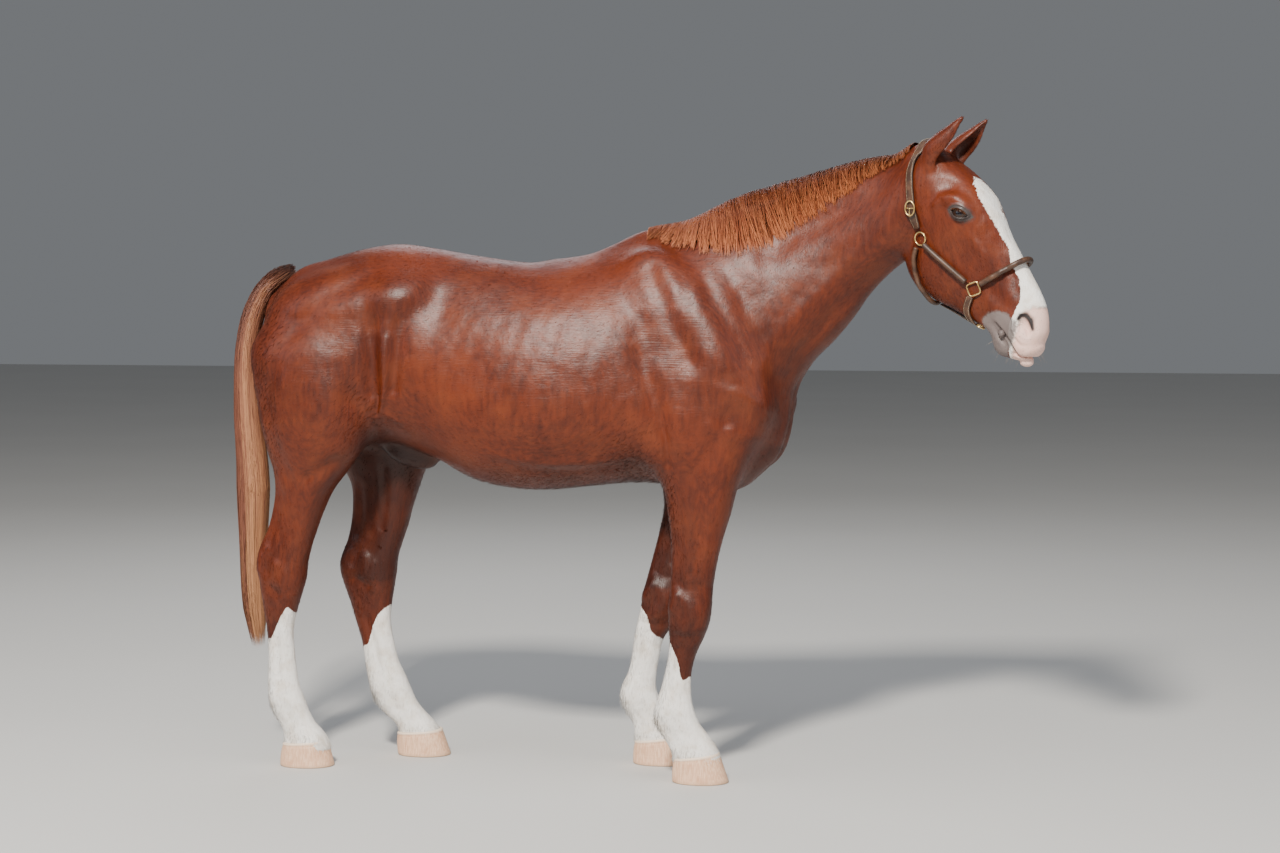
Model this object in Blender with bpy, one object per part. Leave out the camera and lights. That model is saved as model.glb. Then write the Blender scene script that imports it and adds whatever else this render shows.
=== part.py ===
"""A chestnut riding horse standing square in a leather halter, as a life-size model in named solids.

The flesh is one distance field: lofts for trunk, neck, head and legs, ellipsoids for muscles, and soft
lines for grooves and tendons, joined by a smooth minimum. It is meshed whole, thinned, bent at the neck,
and then parted with thin cuts into its named pieces. Mane, tail, hooves, eyes and halter are made against
it. Lengths are in metres."""
import bmesh
from concurrent.futures import ThreadPoolExecutor
import bpy
import numpy as np

# ---------- driving dimensions ----------
SHIFT = np.array([0.034, 0.008, 0.0])      # brings the middle of the outline over the origin
TURN_START, TURN_END = 0.30, 0.86          # where the bend of the neck starts and ends
TURN = np.radians(24.0)                    # how far the head is turned to the right
CUT = 0.0008                               # width of the cuts between pieces of flesh
ROOM = 0.0016                              # room left between the tail and the skin
WELD = 0.0002                              # points closer than this are made one
LEAST_VOLUME = 3e-6                        # smaller scraps of flesh are left out
FLESH_TRIANGLES = 4300                     # how many the flesh is thinned to
EYE_ROOM = 0.0008                          # gap round each eyeball
LID_OPENING = (0.0275, 0.0135,
               0.0120)     # half length, height above and depth below the line of the corners
EAR_TOP, EAR_CUT = 0.165, 0.047            # along the ear: its end, and where it parts from the head
EAR_HOLLOW = 0.72                          # how deeply the ear's front is scooped, as a share of its depth
HAIR_GAP = 0.006                           # from the skin to the mane
MANE_STATIONS, MANE_STEPS = 18, 6          # the mane's sections along the neck, and points down each
STRAP_GAP = 0.0045                         # from the skin to a strap
ROLLED, THROAT_ROLLED = 0.0085, 0.0070     # radius of the rolled straps
FLAT_THICK = 0.005                         # thickness of the flat straps
LEG_CUTS = {"fore": (0.838, 0.432, 0.240), "hind": (0.915, 0.505,
                                                    0.250)}  # top of the leg, knee or hock, fetlock
# the hoof: x of toe and heel on the floor, and (x, z) of the coronet's front and back
HOOF_FLOOR = {("fore", "right"): (0.294, 0.124), ("fore", "left"): (0.133, -0.042),
              ("hind", "right"): (-0.934, -1.102), ("hind", "left"): (-0.627, -0.794)}
CORONETS = {("fore", "right"): ((0.263, 0.090), (0.130, 0.070)),
            ("fore", "left"): ((0.102, 0.088), (-0.036, 0.070)),
            ("hind", "right"): ((-0.955, 0.080), (-1.092, 0.070)),
            ("hind", "left"): ((-0.655, 0.082), (-0.796, 0.070))}
HOOF_HALF_FLOOR, HOOF_HALF_TOP = 0.064, 0.054
# the tail's middle line, and its half depth and half width along it
TAIL_LINE = [(-1.090, 0, 1.520), (-1.135, 0, 1.508), (-1.185, 0, 1.462), (-1.222, 0, 1.390),
             (-1.243, 0, 1.300),
             (-1.247, 0, 1.100), (-1.232, 0, 0.900), (-1.232, 0, 0.700), (-1.233, 0, 0.500),
             (-1.218, 0, 0.335)]
TAIL_STEPS = [0.0, 0.08, 0.17, 0.30, 0.45, 0.60, 0.75, 0.90, 1.0]
TAIL_DEPTH = [0.020, 0.028, 0.034, 0.036, 0.044, 0.052, 0.042, 0.036, 0.020]
TAIL_WIDTH = [0.028, 0.036, 0.044, 0.052, 0.062, 0.064, 0.055, 0.045, 0.022]
# the line inside the neck that the mane is measured from, the mane's thickness, and how far it hangs down
MANE_CORE = [(0.030, 0, 1.50), (0.150, 0, 1.50), (0.270, 0, 1.50), (0.400, 0, 1.53), (0.520, 0, 1.60),
             (0.650, 0, 1.68), (0.780, 0, 1.755), (0.880, 0, 1.790)]
MANE_THICK = ([0, 0.12, 0.35, 0.75, 0.92, 1.0], [0.005, 0.010, 0.018, 0.018, 0.014, 0.008])
MANE_REACH = ([0, 0.12, 0.3, 0.7, 0.9, 1.0], [0.050, 0.110, 0.150, 0.145, 0.120, 0.090])
# the halter's lines on the left half of the head, roughly: they are laid on the skin later
CROWN = [(0.892, 0.087, 1.634), (0.884, 0.088, 1.693), (0.881, 0.086, 1.756), (0.881, 0.078, 1.796),
         (0.882, 0.062, 1.836), (0.892, 0.030, 1.872), (0.898, 0.0, 1.885)]
CHEEK = [(0.920, 0.085, 1.588), (0.982, 0.080, 1.537), (1.045, 0.070, 1.482)]
NOSEBAND = [(1.087, 0.066, 1.477), (1.120, 0.062, 1.495), (1.153, 0.055, 1.514), (1.190, 0.036, 1.537),
            (1.206, 0.0, 1.548)]
CHIN = [(1.052, 0.060, 1.440), (1.036, 0.050, 1.404), (1.040, 0.035, 1.372), (1.048, 0.018, 1.358)]
THROAT = [(0.889, 0.085, 1.580), (0.876, 0.080, 1.540), (0.881, 0.070, 1.489), (0.906, 0.046, 1.446),
          (0.918, 0.0, 1.425)]
UNDER_JAW = [(0.935, 0, 1.420), (0.980, 0, 1.395), (1.028, 0, 1.365)]
CHESTNUT, WHITE, HORN = (0.30, 0.10, 0.045), (0.80, 0.77, 0.72), (0.62, 0.50, 0.38)
LEATHER, BRASS, DARK = (0.10, 0.055, 0.035), (0.80, 0.58, 0.24), (0.02, 0.012, 0.01)

# Flesh has no straight lines: every width of a body part is read from a smooth curve through a few named
# sizes.
# Two forms are joined by a smooth minimum, which leaves a fillet where they meet, as skin does over two
# muscles.

# ---------- smooth curves, soft joins ----------
def unit(v):
    """A direction of length one."""
    v = np.asarray(v, float)
    return v / np.linalg.norm(v)

def level_lengths(v):
    """Each row of an array of vectors, at length one."""
    return v / np.maximum(np.linalg.norm(v, axis=-1, keepdims=True), 1e-12)

def smooth_curve(s, knots, values):
    """Values at s on a cubic through the knots; a knot's slope is the mean of its two sides'."""
    knots, values = np.asarray(knots, float), np.asarray(values, float)
    step, rise = np.diff(knots), np.diff(values) / np.diff(knots)
    slopes = np.empty_like(values)
    slopes[0], slopes[-1] = rise[0], rise[-1]
    slopes[1:-1] = (rise[:-1] * step[1:] + rise[1:] * step[:-1]) / (step[1:] + step[:-1])
    s = np.clip(s, knots[0], knots[-1])
    i = np.clip(np.searchsorted(knots, s) - 1, 0, len(step) - 1)
    t = (s - knots[i]) / step[i]
    t2, t3 = t * t, t * t * t
    return ((2 * t3 - 3 * t2 + 1) * values[i] + (t3 - 2 * t2 + t) * step[i] * slopes[i]
            + (3 * t2 - 2 * t3) * values[i + 1] + (t3 - t2) * step[i] * slopes[i + 1])

def ramp(x, low, high):
    """0 below low, 1 above high, and an S between them."""
    t = np.clip((x - low) / (high - low), 0.0, 1.0)
    return t * t * (3 - 2 * t)

def join(a, b, k):
    """The smaller of two distances, rounded over a width k where they are close."""
    h = np.clip(0.5 + 0.5 * (b - a) / k, 0.0, 1.0)
    return b * (1 - h) + a * h - k * h * (1 - h)

def carve(a, b, k):
    """Distance a with the form b taken out of it, rounded over a width k."""
    return -join(-a, b, k)

# A horse could be sculpted by hand, but a sculpture can't be read or changed. Here it is a distance field:
# each form
# gives roughly how far a point is outside it. A loft is a bar whose section changes along its axis, and it
# carries
# the trunk, neck, head and legs. Ellipsoids add muscles. Ridges and swells lift or sink the surface a
# little, for
# tendons, veins and hollows.

# ---------- loft, ball, ridge, swell ----------
class Loft:
    """A bar along an axis. Its section at s is |u/half|^n + |v/width|^n = 1, midway of (low, high)."""
    def __init__(self, origin, along, across, rows, side=0.0, power=2.0, taper=0.0, cap=(0.03, 0.03),
                 blend=0.03):
        self.o, self.a = np.asarray(origin, float), unit(along)
        self.b = unit(np.asarray(across, float) - self.a * (np.asarray(across, float) @ self.a))
        self.n = np.cross(self.a, self.b)
        self.n = -self.n if self.n[1] < 0 else self.n
        self.rows = np.array(rows, float)
        self.s = self.rows[:, 0]
        self.side, self.power, self.taper, self.cap, self.blend = side, power, taper, cap, blend
        stations = np.concatenate([[self.s[0] - cap[0], self.s[-1] + cap[1]], self.s])
        c = self.section(stations)
        corners = [self.o + stations[:, None] * self.a + u[:,
                                                           None] * self.b
                                                           + (c["side"] + e * c["w"])[:, None] * self.n
                   for u in (c["hi"], c["lo"]) for e in (-1.6, 1.6)]
        self.lo = np.min(corners, axis=(0, 1)) - blend - 0.02
        self.hi = np.max(corners, axis=(0, 1)) + blend + 0.02

    def section(self, s):
        """High and low edge, half width, side offset, power and taper at s."""
        value = lambda v: smooth_curve(s, self.s, v) if np.ndim(v) else np.full(np.shape(s), float(v))
        return dict(hi=value(self.rows[:, 1]), lo=value(self.rows[:, 2]), w=value(self.rows[:, 3]),
                    side=value(self.side), power=value(self.power), taper=value(self.taper))

    def __call__(self, P):
        q = P - self.o
        s, u, v = q @ self.a, q @ self.b, q @ self.n
        c = self.section(s)
        half = (c["hi"] - c["lo"]) / 2
        uu = (u - (c["hi"] + c["lo"]) / 2) / half
        w = c["w"] * (1 + c["taper"] * np.clip(uu, -1.15, 1.15))
        n = c["power"]
        au, av = np.abs(uu) + 1e-9, np.abs((v - c["side"]) / w) + 1e-9
        r = (au**n + av**n) ** (1 / n)
        g = np.sqrt(((au / r) ** (n - 1) / half) ** 2 + ((av / r) ** (n - 1) / w) ** 2)
        cap = np.where(s < self.s[0], self.cap[0], self.cap[1])
        e = np.maximum(np.maximum(self.s[0] - s, s - self.s[-1]), 0) / cap
        rr = np.sqrt(r * r + e * e)
        return (rr - 1) / np.maximum(np.sqrt((g * r / rr) ** 2 + (e / rr / cap) ** 2), 1e-6)

def turned(long, up):
    """The rows of a rotation whose first axis is long and whose third is near up."""
    a = unit(long)
    n = unit(np.cross(up, a))
    return np.array([a, n, np.cross(a, n)])

class Ball:
    """An ellipsoid with the radii (long, side, up)."""
    def __init__(self, centre, radii, long=(1, 0, 0), up=(0, 0, 1), blend=0.03):
        self.c, self.r, self.m, self.blend = np.asarray(centre,
                                                        float), np.asarray(radii, float), turned(long,
                                                                                                 up), blend
        reach = np.sqrt(((self.m.T * self.r) ** 2).sum(1)) + blend + 0.01
        self.lo, self.hi = self.c - reach, self.c + reach

    def __call__(self, P):
        q = (P - self.c) @ self.m.T
        k1, k2 = np.linalg.norm(q / self.r, axis=1), np.linalg.norm(q / self.r**2, axis=1)
        return k1 * (k1 - 1) / np.maximum(k2, 1e-9)

class Ridge:
    """A raised or sunk line: height * exp(-(distance / width)^2) about a broken line."""
    def __init__(self, points, height, width):
        self.p = np.asarray(points, float)
        self.h = np.broadcast_to(np.asarray(height, float), (len(self.p),))
        self.w = np.broadcast_to(np.asarray(width, float), (len(self.p),))
        self.lo, self.hi = self.p.min(0) - 2.6 * self.w.max(), self.p.max(0) + 2.6 * self.w.max()

    def __call__(self, P):
        best, h, w = np.full(len(P), 9.0), np.zeros(len(P)), np.ones(len(P))
        for i in range(len(self.p) - 1):
            step = self.p[i + 1] - self.p[i]
            t = np.clip(((P - self.p[i]) @ step) / (step @ step), 0, 1)
            d = np.linalg.norm(P - self.p[i] - t[:, None] * step, axis=1)
            near = d < best
            best = np.where(near, d, best)
            h = np.where(near, self.h[i] + t * (self.h[i + 1] - self.h[i]), h)
            w = np.where(near, self.w[i] + t * (self.w[i + 1] - self.w[i]), w)
        return h * np.exp(-((best / w) ** 2))

class Swell:
    """A soft bulge or hollow: height * exp(-|q / radii|^2)."""
    def __init__(self, centre, radii, height, long=(1, 0, 0), up=(0, 0, 1)):
        self.c, self.r, self.h, self.m = np.asarray(centre,
                                                    float), np.asarray(radii, float), height, turned(long,
                                                                                                     up)
        reach = 2.4 * np.sqrt(((self.m.T * self.r) ** 2).sum(1))
        self.lo, self.hi = self.c - reach, self.c + reach

    def __call__(self, P):
        q = (P - self.c) @ self.m.T / self.r
        return self.h * np.exp(-(q * q).sum(1))

def side_pair(form, first, *rest, **named):
    """The same form on the right (-y) and on the left (+y)."""
    made = []
    for sign in (-1, 1):
        flip = np.array([1, sign, 1])
        swapped = {k: (np.asarray(v, float) * flip if k in ("long", "up") else v) for k, v in named.items()}
        made.append(form(np.asarray(first, float) * flip, *rest, **swapped))
    return made

def lines(points, height, width):
    """A soft line on the right side and the same one on the left."""
    return side_pair(Ridge, points, height, width)


# Each loft's table reads like a fitter's notes: at this station, how high, how low and how wide. The trunk
# is
# deepest at the girth and shallowest at the flank, and the withers are a narrow ridge over it.

# ---------- trunk, withers, neck ----------
X, Z = (1, 0, 0), (0, 0, 1)
barrel = Loft((0, 0, 0), X, Z, [
    # x, top, bottom, half width
    (-1.13, 1.490, 1.180, 0.110),
    (-1.06, 1.528, 1.060, 0.165),
    (-0.97, 1.553, 1.000, 0.205),
    (-0.86, 1.583, 0.985, 0.235),
    (-0.75, 1.598, 0.985, 0.255),
    (-0.63, 1.584, 0.945, 0.260),
    (-0.50, 1.562, 0.882, 0.272),
    (-0.38, 1.545, 0.857, 0.288),
    (-0.26, 1.537, 0.855, 0.292),
    (-0.14, 1.545, 0.868, 0.282),
    (-0.02, 1.560, 0.879, 0.262),
    ( 0.10, 1.555, 0.876, 0.232),
    ( 0.22, 1.520, 0.870, 0.198),
    ( 0.32, 1.440, 0.900, 0.160),
    ( 0.39, 1.340, 0.960, 0.120)],
    power=[2.1, 2.1, 2.2, 2.2, 2.2, 2.2, 2.3, 2.3, 2.3, 2.3, 2.2, 2.2, 2.2, 2.1, 2.0],
    taper=[0.0, 0.0, 0.0, -0.02, -0.04, -0.08, -0.12, -0.14, -0.15, -0.16, -0.16, -0.15, -0.10, 0.0, 0.0],
    cap=(0.05, 0.06), blend=0.05)
withers = Loft((0, 0, 0), X, Z, [
    (-0.24, 1.530, 1.36, 0.100),
    (-0.15, 1.552, 1.36, 0.110),
    (-0.08, 1.590, 1.35, 0.115),
    ( 0.00, 1.632, 1.34, 0.120),
    ( 0.08, 1.648, 1.33, 0.125),
    ( 0.16, 1.655, 1.32, 0.128),
    ( 0.26, 1.680, 1.34, 0.120),
    ( 0.34, 1.705, 1.40, 0.105)],
    power=2.0, taper=-0.50, cap=(0.06, 0.10), blend=0.08)

NECK_O, NECK_A, NECK_B = (0.34, 0, 1.40), (0.848, 0, 0.53), (-0.53, 0, 0.848)
neck = Loft(NECK_O, NECK_A, NECK_B, [
    (-0.10, 0.280, -0.300, 0.165),
    ( 0.00, 0.293, -0.262, 0.160),
    ( 0.08, 0.293, -0.228, 0.142),
    ( 0.16, 0.283, -0.210, 0.124),
    ( 0.24, 0.266, -0.186, 0.110),
    ( 0.32, 0.243, -0.157, 0.099),
    ( 0.42, 0.212, -0.136, 0.090),
    ( 0.52, 0.178, -0.130, 0.086),
    ( 0.60, 0.141, -0.130, 0.083),
    ( 0.67, 0.098, -0.120, 0.072)],
    power=2.05, taper=[-0.25, -0.30, -0.36, -0.38, -0.36, -0.33, -0.28, -0.22, -0.15, -0.10],
    cap=(0.06, 0.04), blend=0.06)

# The skull is one loft from poll to upper lip and the jaw another under it. The eye sits on the widest
# part,
# a third of the way down.

# ---------- skull and jaw ----------
HEAD_O = np.array([0.93, 0, 1.86])
HEAD_A, HEAD_B = unit((0.43, 0, -0.903)), unit((0.903, 0, 0.43))
skull = Loft(HEAD_O, HEAD_A, HEAD_B, [
    (-0.01, -0.002, -0.130, 0.055),
    ( 0.04, 0.027, -0.170, 0.072),
    ( 0.09, 0.054, -0.180, 0.083),
    ( 0.14, 0.074, -0.165, 0.090),
    ( 0.19, 0.088, -0.145, 0.091),
    ( 0.24, 0.091, -0.130, 0.083),
    ( 0.30, 0.090, -0.115, 0.068),
    ( 0.37, 0.096, -0.100, 0.056),
    ( 0.44, 0.103, -0.085, 0.0495),
    ( 0.50, 0.108, -0.065, 0.048),
    ( 0.55, 0.105, -0.050, 0.050),
    ( 0.59, 0.092, -0.042, 0.050),
    ( 0.62, 0.073, -0.035, 0.045),
    ( 0.637, 0.052, -0.028, 0.036)],
    power=[2.0, 2.2, 2.4, 2.6, 2.7, 2.7, 2.7, 2.7, 2.6, 2.5, 2.3, 2.1, 2.0, 2.0],
    taper=[0, 0, 0.0, 0.0, 0.02, 0.0, -0.06, -0.14, -0.2, -0.2, -0.12, -0.05, 0, 0], cap=(0.038, 0.012),
    blend=0.035)
jaw = Loft(HEAD_O, HEAD_A, HEAD_B, [
    (0.12, -0.03, -0.150, 0.052),
    (0.17, -0.02, -0.195, 0.062),
    (0.22, -0.02, -0.226, 0.068),
    (0.28, -0.02, -0.238, 0.070),
    (0.33, -0.03, -0.228, 0.066),
    (0.38, -0.035, -0.196, 0.058),
    (0.43, -0.04, -0.155, 0.048),
    (0.48, -0.04, -0.118, 0.039),
    (0.53, -0.035, -0.082, 0.033),
    (0.575, -0.030, -0.077, 0.034),
    (0.605, -0.028, -0.069, 0.031),
    (0.625, -0.025, -0.054, 0.024)],
    power=[2.2, 2.4, 2.6, 2.6, 2.6, 2.5, 2.4, 2.3, 2.2, 2.1, 2.0, 2.0],
    taper=[0.1, 0.12, 0.15, 0.16, 0.16, 0.15, 0.15, 0.1, 0.0, 0, 0, 0], cap=(0.06, 0.010), blend=0.02)

# Both legs of a pair have the same bones, but the far fore and far hind stand further under the body, so
# each leg
# has its own table: height, front, back, sideways place, half width, squareness and taper.

# ---------- legs ----------
def leg(rows, mirror, **k):
    """A leg from rows of height, front x, back x, side centre, half width, power and taper."""
    r = np.array(rows, float)
    r = r[np.argsort(r[:, 0])]
    return Loft((0, 0, 0), Z, X, r[:, [0, 1, 2, 4]], side=r[:, 3] * mirror, power=r[:, 5], taper=r[:, 6],
                **k)

fore_near = leg([
    # height, front, back, side, half width, power, taper
    (1.18, 0.395, 0.00, 0.140, 0.080, 2.2, 0.0),
    (1.08, 0.395, 0.03, 0.148, 0.086, 2.2, 0.0),
    (1.00, 0.370, 0.05, 0.148, 0.084, 2.2, 0.0),
    (0.93, 0.343, 0.078, 0.144, 0.079, 2.2, 0.05),
    (0.87, 0.320, 0.100, 0.141, 0.073, 2.2, 0.05),
    (0.80, 0.300, 0.111, 0.139, 0.065, 2.2, 0.05),
    (0.72, 0.275, 0.119, 0.137, 0.057, 2.2, 0.05),
    (0.64, 0.256, 0.120, 0.135, 0.050, 2.2, 0.05),
    (0.57, 0.246, 0.117, 0.134, 0.048, 2.4, 0.05),
    (0.52, 0.242, 0.114, 0.134, 0.051, 2.8, 0.06),
    (0.475, 0.235, 0.113, 0.134, 0.051, 2.8, 0.06),
    (0.43, 0.219, 0.115, 0.133, 0.044, 2.5, 0.04),
    (0.385, 0.198, 0.113, 0.132, 0.035, 2.3, -0.02),
    (0.335, 0.184, 0.104, 0.131, 0.030, 2.3, -0.05),
    (0.28, 0.180, 0.090, 0.131, 0.0295, 2.3, -0.05),
    (0.235, 0.184, 0.075, 0.131, 0.035, 2.3, 0.0),
    (0.20, 0.194, 0.067, 0.131, 0.040, 2.3, 0.0),
    (0.17, 0.208, 0.071, 0.131, 0.039, 2.2, 0.0),
    (0.14, 0.232, 0.088, 0.131, 0.036, 2.2, 0.05),
    (0.11, 0.254, 0.108, 0.131, 0.040, 2.2, 0.1),
    (0.085, 0.266, 0.121, 0.131, 0.048, 2.2, 0.1),
    (0.06, 0.273, 0.124, 0.131, 0.052, 2.2, 0.1)], -1, cap=(0.02, 0.13), blend=0.05)
fore_far = leg([
    (1.18, 0.380, 0.00, 0.140, 0.080, 2.2, 0.0),
    (1.08, 0.372, 0.01, 0.148, 0.086, 2.2, 0.0),
    (1.00, 0.340, 0.015, 0.148, 0.084, 2.2, 0.0),
    (0.93, 0.305, 0.025, 0.142, 0.079, 2.2, 0.05),
    (0.87, 0.275, 0.040, 0.137, 0.073, 2.2, 0.05),
    (0.80, 0.244, 0.050, 0.132, 0.065, 2.2, 0.05),
    (0.72, 0.203, 0.037, 0.127, 0.057, 2.2, 0.05),
    (0.64, 0.163, 0.017, 0.122, 0.050, 2.2, 0.05),
    (0.57, 0.135, -0.001, 0.118, 0.048, 2.4, 0.05),
    (0.52, 0.119, -0.013, 0.116, 0.051, 2.8, 0.06),
    (0.475, 0.104, -0.020, 0.114, 0.051, 2.8, 0.06),
    (0.43, 0.082, -0.031, 0.112, 0.044, 2.5, 0.04),
    (0.385, 0.053, -0.040, 0.110, 0.035, 2.3, -0.02),
    (0.335, 0.041, -0.046, 0.109, 0.030, 2.3, -0.05),
    (0.28, 0.032, -0.058, 0.108, 0.0295, 2.3, -0.05),
    (0.235, 0.030, -0.079, 0.108, 0.035, 2.3, 0.0),
    (0.20, 0.041, -0.083, 0.108, 0.040, 2.3, 0.0),
    (0.17, 0.059, -0.073, 0.109, 0.039, 2.2, 0.0),
    (0.14, 0.082, -0.055, 0.110, 0.036, 2.2, 0.05),
    (0.11, 0.098, -0.041, 0.111, 0.040, 2.2, 0.1),
    (0.085, 0.104, -0.040, 0.112, 0.047, 2.2, 0.1),
    (0.06, 0.108, -0.040, 0.112, 0.051, 2.2, 0.1)], 1, cap=(0.02, 0.13), blend=0.05)
hind_near = leg([
    (1.37, -0.735, -1.120, 0.122, 0.105, 2.0, 0.0),
    (1.30, -0.735, -1.170, 0.136, 0.132, 2.0, 0.0),
    (1.20, -0.755, -1.170, 0.143, 0.140, 2.05, 0.0),
    (1.12, -0.772, -1.155, 0.146, 0.137, 2.1, 0.02),
    (1.04, -0.800, -1.140, 0.147, 0.128, 2.3, 0.08),
    (0.97, -0.838, -1.126, 0.144, 0.112, 2.2, 0.15),
    (0.91, -0.880, -1.110, 0.140, 0.094, 2.2, 0.22),
    (0.85, -0.926, -1.107, 0.137, 0.078, 2.2, 0.28),
    (0.78, -0.960, -1.119, 0.134, 0.064, 2.2, 0.32),
    (0.72, -0.983, -1.139, 0.132, 0.056, 2.2, 0.38),
    (0.67, -1.000, -1.163, 0.130, 0.050, 2.3, 0.40),
    (0.625, -1.012, -1.173, 0.128, 0.050, 2.4, 0.36),
    (0.58, -1.018, -1.168, 0.127, 0.051, 2.5, 0.30),
    (0.53, -1.032, -1.160, 0.126, 0.047, 2.5, 0.22),
    (0.48, -1.047, -1.153, 0.125, 0.040, 2.4, 0.12),
    (0.42, -1.059, -1.144, 0.124, 0.033, 2.3, 0.0),
    (0.35, -1.057, -1.140, 0.124, 0.030, 2.3, -0.05),
    (0.29, -1.050, -1.141, 0.124, 0.030, 2.3, -0.05),
    (0.24, -1.041, -1.142, 0.124, 0.035, 2.3, 0.0),
    (0.20, -1.026, -1.139, 0.124, 0.040, 2.3, 0.0),
    (0.165, -1.012, -1.128, 0.124, 0.038, 2.2, 0.0),
    (0.13, -0.992, -1.108, 0.124, 0.036, 2.2, 0.05),
    (0.10, -0.965, -1.094, 0.124, 0.042, 2.2, 0.1),
    (0.075, -0.950, -1.093, 0.124, 0.049, 2.2, 0.1),
    (0.055, -0.943, -1.096, 0.124, 0.052, 2.2, 0.1)], -1, cap=(0.02, 0.13), blend=0.05)
hind_far = leg([
    (1.37, -0.690, -1.100, 0.122, 0.105, 2.0, 0.0),
    (1.30, -0.660, -1.150, 0.136, 0.132, 2.0, 0.0),
    (1.20, -0.665, -1.140, 0.143, 0.140, 2.05, 0.0),
    (1.12, -0.670, -1.110, 0.146, 0.137, 2.1, 0.02),
    (1.04, -0.675, -1.075, 0.147, 0.128, 2.3, 0.08),
    (0.97, -0.690, -1.035, 0.143, 0.112, 2.2, 0.15),
    (0.91, -0.710, -0.990, 0.138, 0.094, 2.2, 0.22),
    (0.85, -0.731, -0.955, 0.133, 0.078, 2.2, 0.28),
    (0.78, -0.752, -0.948, 0.128, 0.064, 2.2, 0.32),
    (0.72, -0.767, -0.953, 0.124, 0.056, 2.2, 0.38),
    (0.67, -0.784, -0.964, 0.121, 0.050, 2.3, 0.40),
    (0.62, -0.799, -0.982, 0.119, 0.050, 2.4, 0.36),
    (0.575, -0.804, -0.987, 0.117, 0.051, 2.5, 0.30),
    (0.525, -0.811, -0.972, 0.115, 0.047, 2.5, 0.22),
    (0.475, -0.818, -0.953, 0.113, 0.040, 2.4, 0.12),
    (0.42, -0.821, -0.936, 0.111, 0.034, 2.3, 0.0),
    (0.35, -0.810, -0.914, 0.109, 0.031, 2.3, -0.05),
    (0.29, -0.794, -0.905, 0.108, 0.031, 2.3, -0.05),
    (0.24, -0.770, -0.896, 0.107, 0.036, 2.3, 0.0),
    (0.20, -0.753, -0.886, 0.106, 0.041, 2.3, 0.0),
    (0.165, -0.735, -0.872, 0.105, 0.039, 2.2, 0.0),
    (0.13, -0.706, -0.845, 0.104, 0.037, 2.2, 0.05),
    (0.10, -0.676, -0.810, 0.104, 0.042, 2.2, 0.1),
    (0.075, -0.658, -0.795, 0.104, 0.049, 2.2, 0.1),
    (0.055, -0.648, -0.794, 0.104, 0.052, 2.2, 0.1)], 1, cap=(0.02, 0.13), blend=0.05)


# The bars alone look like a toy. Ellipsoids give the shoulder, forearm head, buttock, point of hip, cheek,
# brow,
# nose, lips and chin their own fullness.

# ---------- muscles, lips, chin ----------
EYE, EYE_R = np.array([1.034, 0.0775, 1.676]), 0.0250
EYE_LONG = unit((0.054, 0, -0.018))
EYE_UP = np.array([-EYE_LONG[2], 0, EYE_LONG[0]])
breast = Ball((0.243, 0, 1.075), (0.200, 0.150, 0.215), blend=0.07)
forms = [barrel, withers, neck, breast]
forms += side_pair(Ball, (0.205, 0.140, 1.315), (0.310, 0.080, 0.120), long=(0.62, 0.10, -0.78), blend=0.07)
forms += side_pair(Ball, (0.105, 0.150, 1.110), (0.175, 0.085, 0.150), long=(0.85, 0, -0.5), blend=0.06)
forms += side_pair(Ball, (0.300, 0.122, 1.110), (0.120, 0.085, 0.120), long=(0.4, 0, -0.9), blend=0.06)
forms += [fore_near, fore_far, hind_near, hind_far]
forms += [Ball((-0.720, 0, 0.965), (0.095, 0.048, 0.052), long=(0.93, 0, -0.36), blend=0.03)]
forms += side_pair(Ball, (-0.705, 0.185, 1.437), (0.090, 0.060, 0.050), long=(0.9, -0.25, 0.3), blend=0.06)
forms += side_pair(Ball, (-0.900, 0.130, 1.370), (0.230, 0.110, 0.130), long=(0.95, 0, 0.28), blend=0.05)
forms += [skull, jaw]
forms += side_pair(Ball, (0.905, 0.046, 1.770), (0.060, 0.044, 0.055), long=(0.5, 0.1, 0.5), blend=0.03)
forms += side_pair(Ball, (1.022, 0.078, 1.705), (0.048, 0.024, 0.026), long=(0.8, 0.0, -0.45), blend=0.016)
forms += side_pair(Ball, (1.202, 0.034, 1.352), (0.040, 0.024, 0.034), long=(0.55, 0.0, -0.85), blend=0.014)
forms += [Ball((1.204, 0, 1.300), (0.044, 0.050, 0.034), long=(1, 0, -0.1), blend=0.02)]
forms += [Ball((1.131, 0, 1.303), (0.034, 0.030, 0.026), long=(0.6, 0, -0.8), blend=0.012)]
forms += [Ball((1.178, 0, 1.279), (0.046, 0.026, 0.0135), long=(0.97, 0, -0.20), blend=0.010)]
tongue = Ball((1.203, 0, 1.258), (0.021, 0.017, 0.014), blend=0.004)
forms += [tongue]

# Under a short coat the skin shows the groove of the jugular vein, the edge and spine of the shoulder
# blade, the
# last ribs, the fold of the flank, the parting between the two muscles of the thigh, and tendons behind
# each cannon.
# Veins run over the cheek and along the belly.

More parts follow.
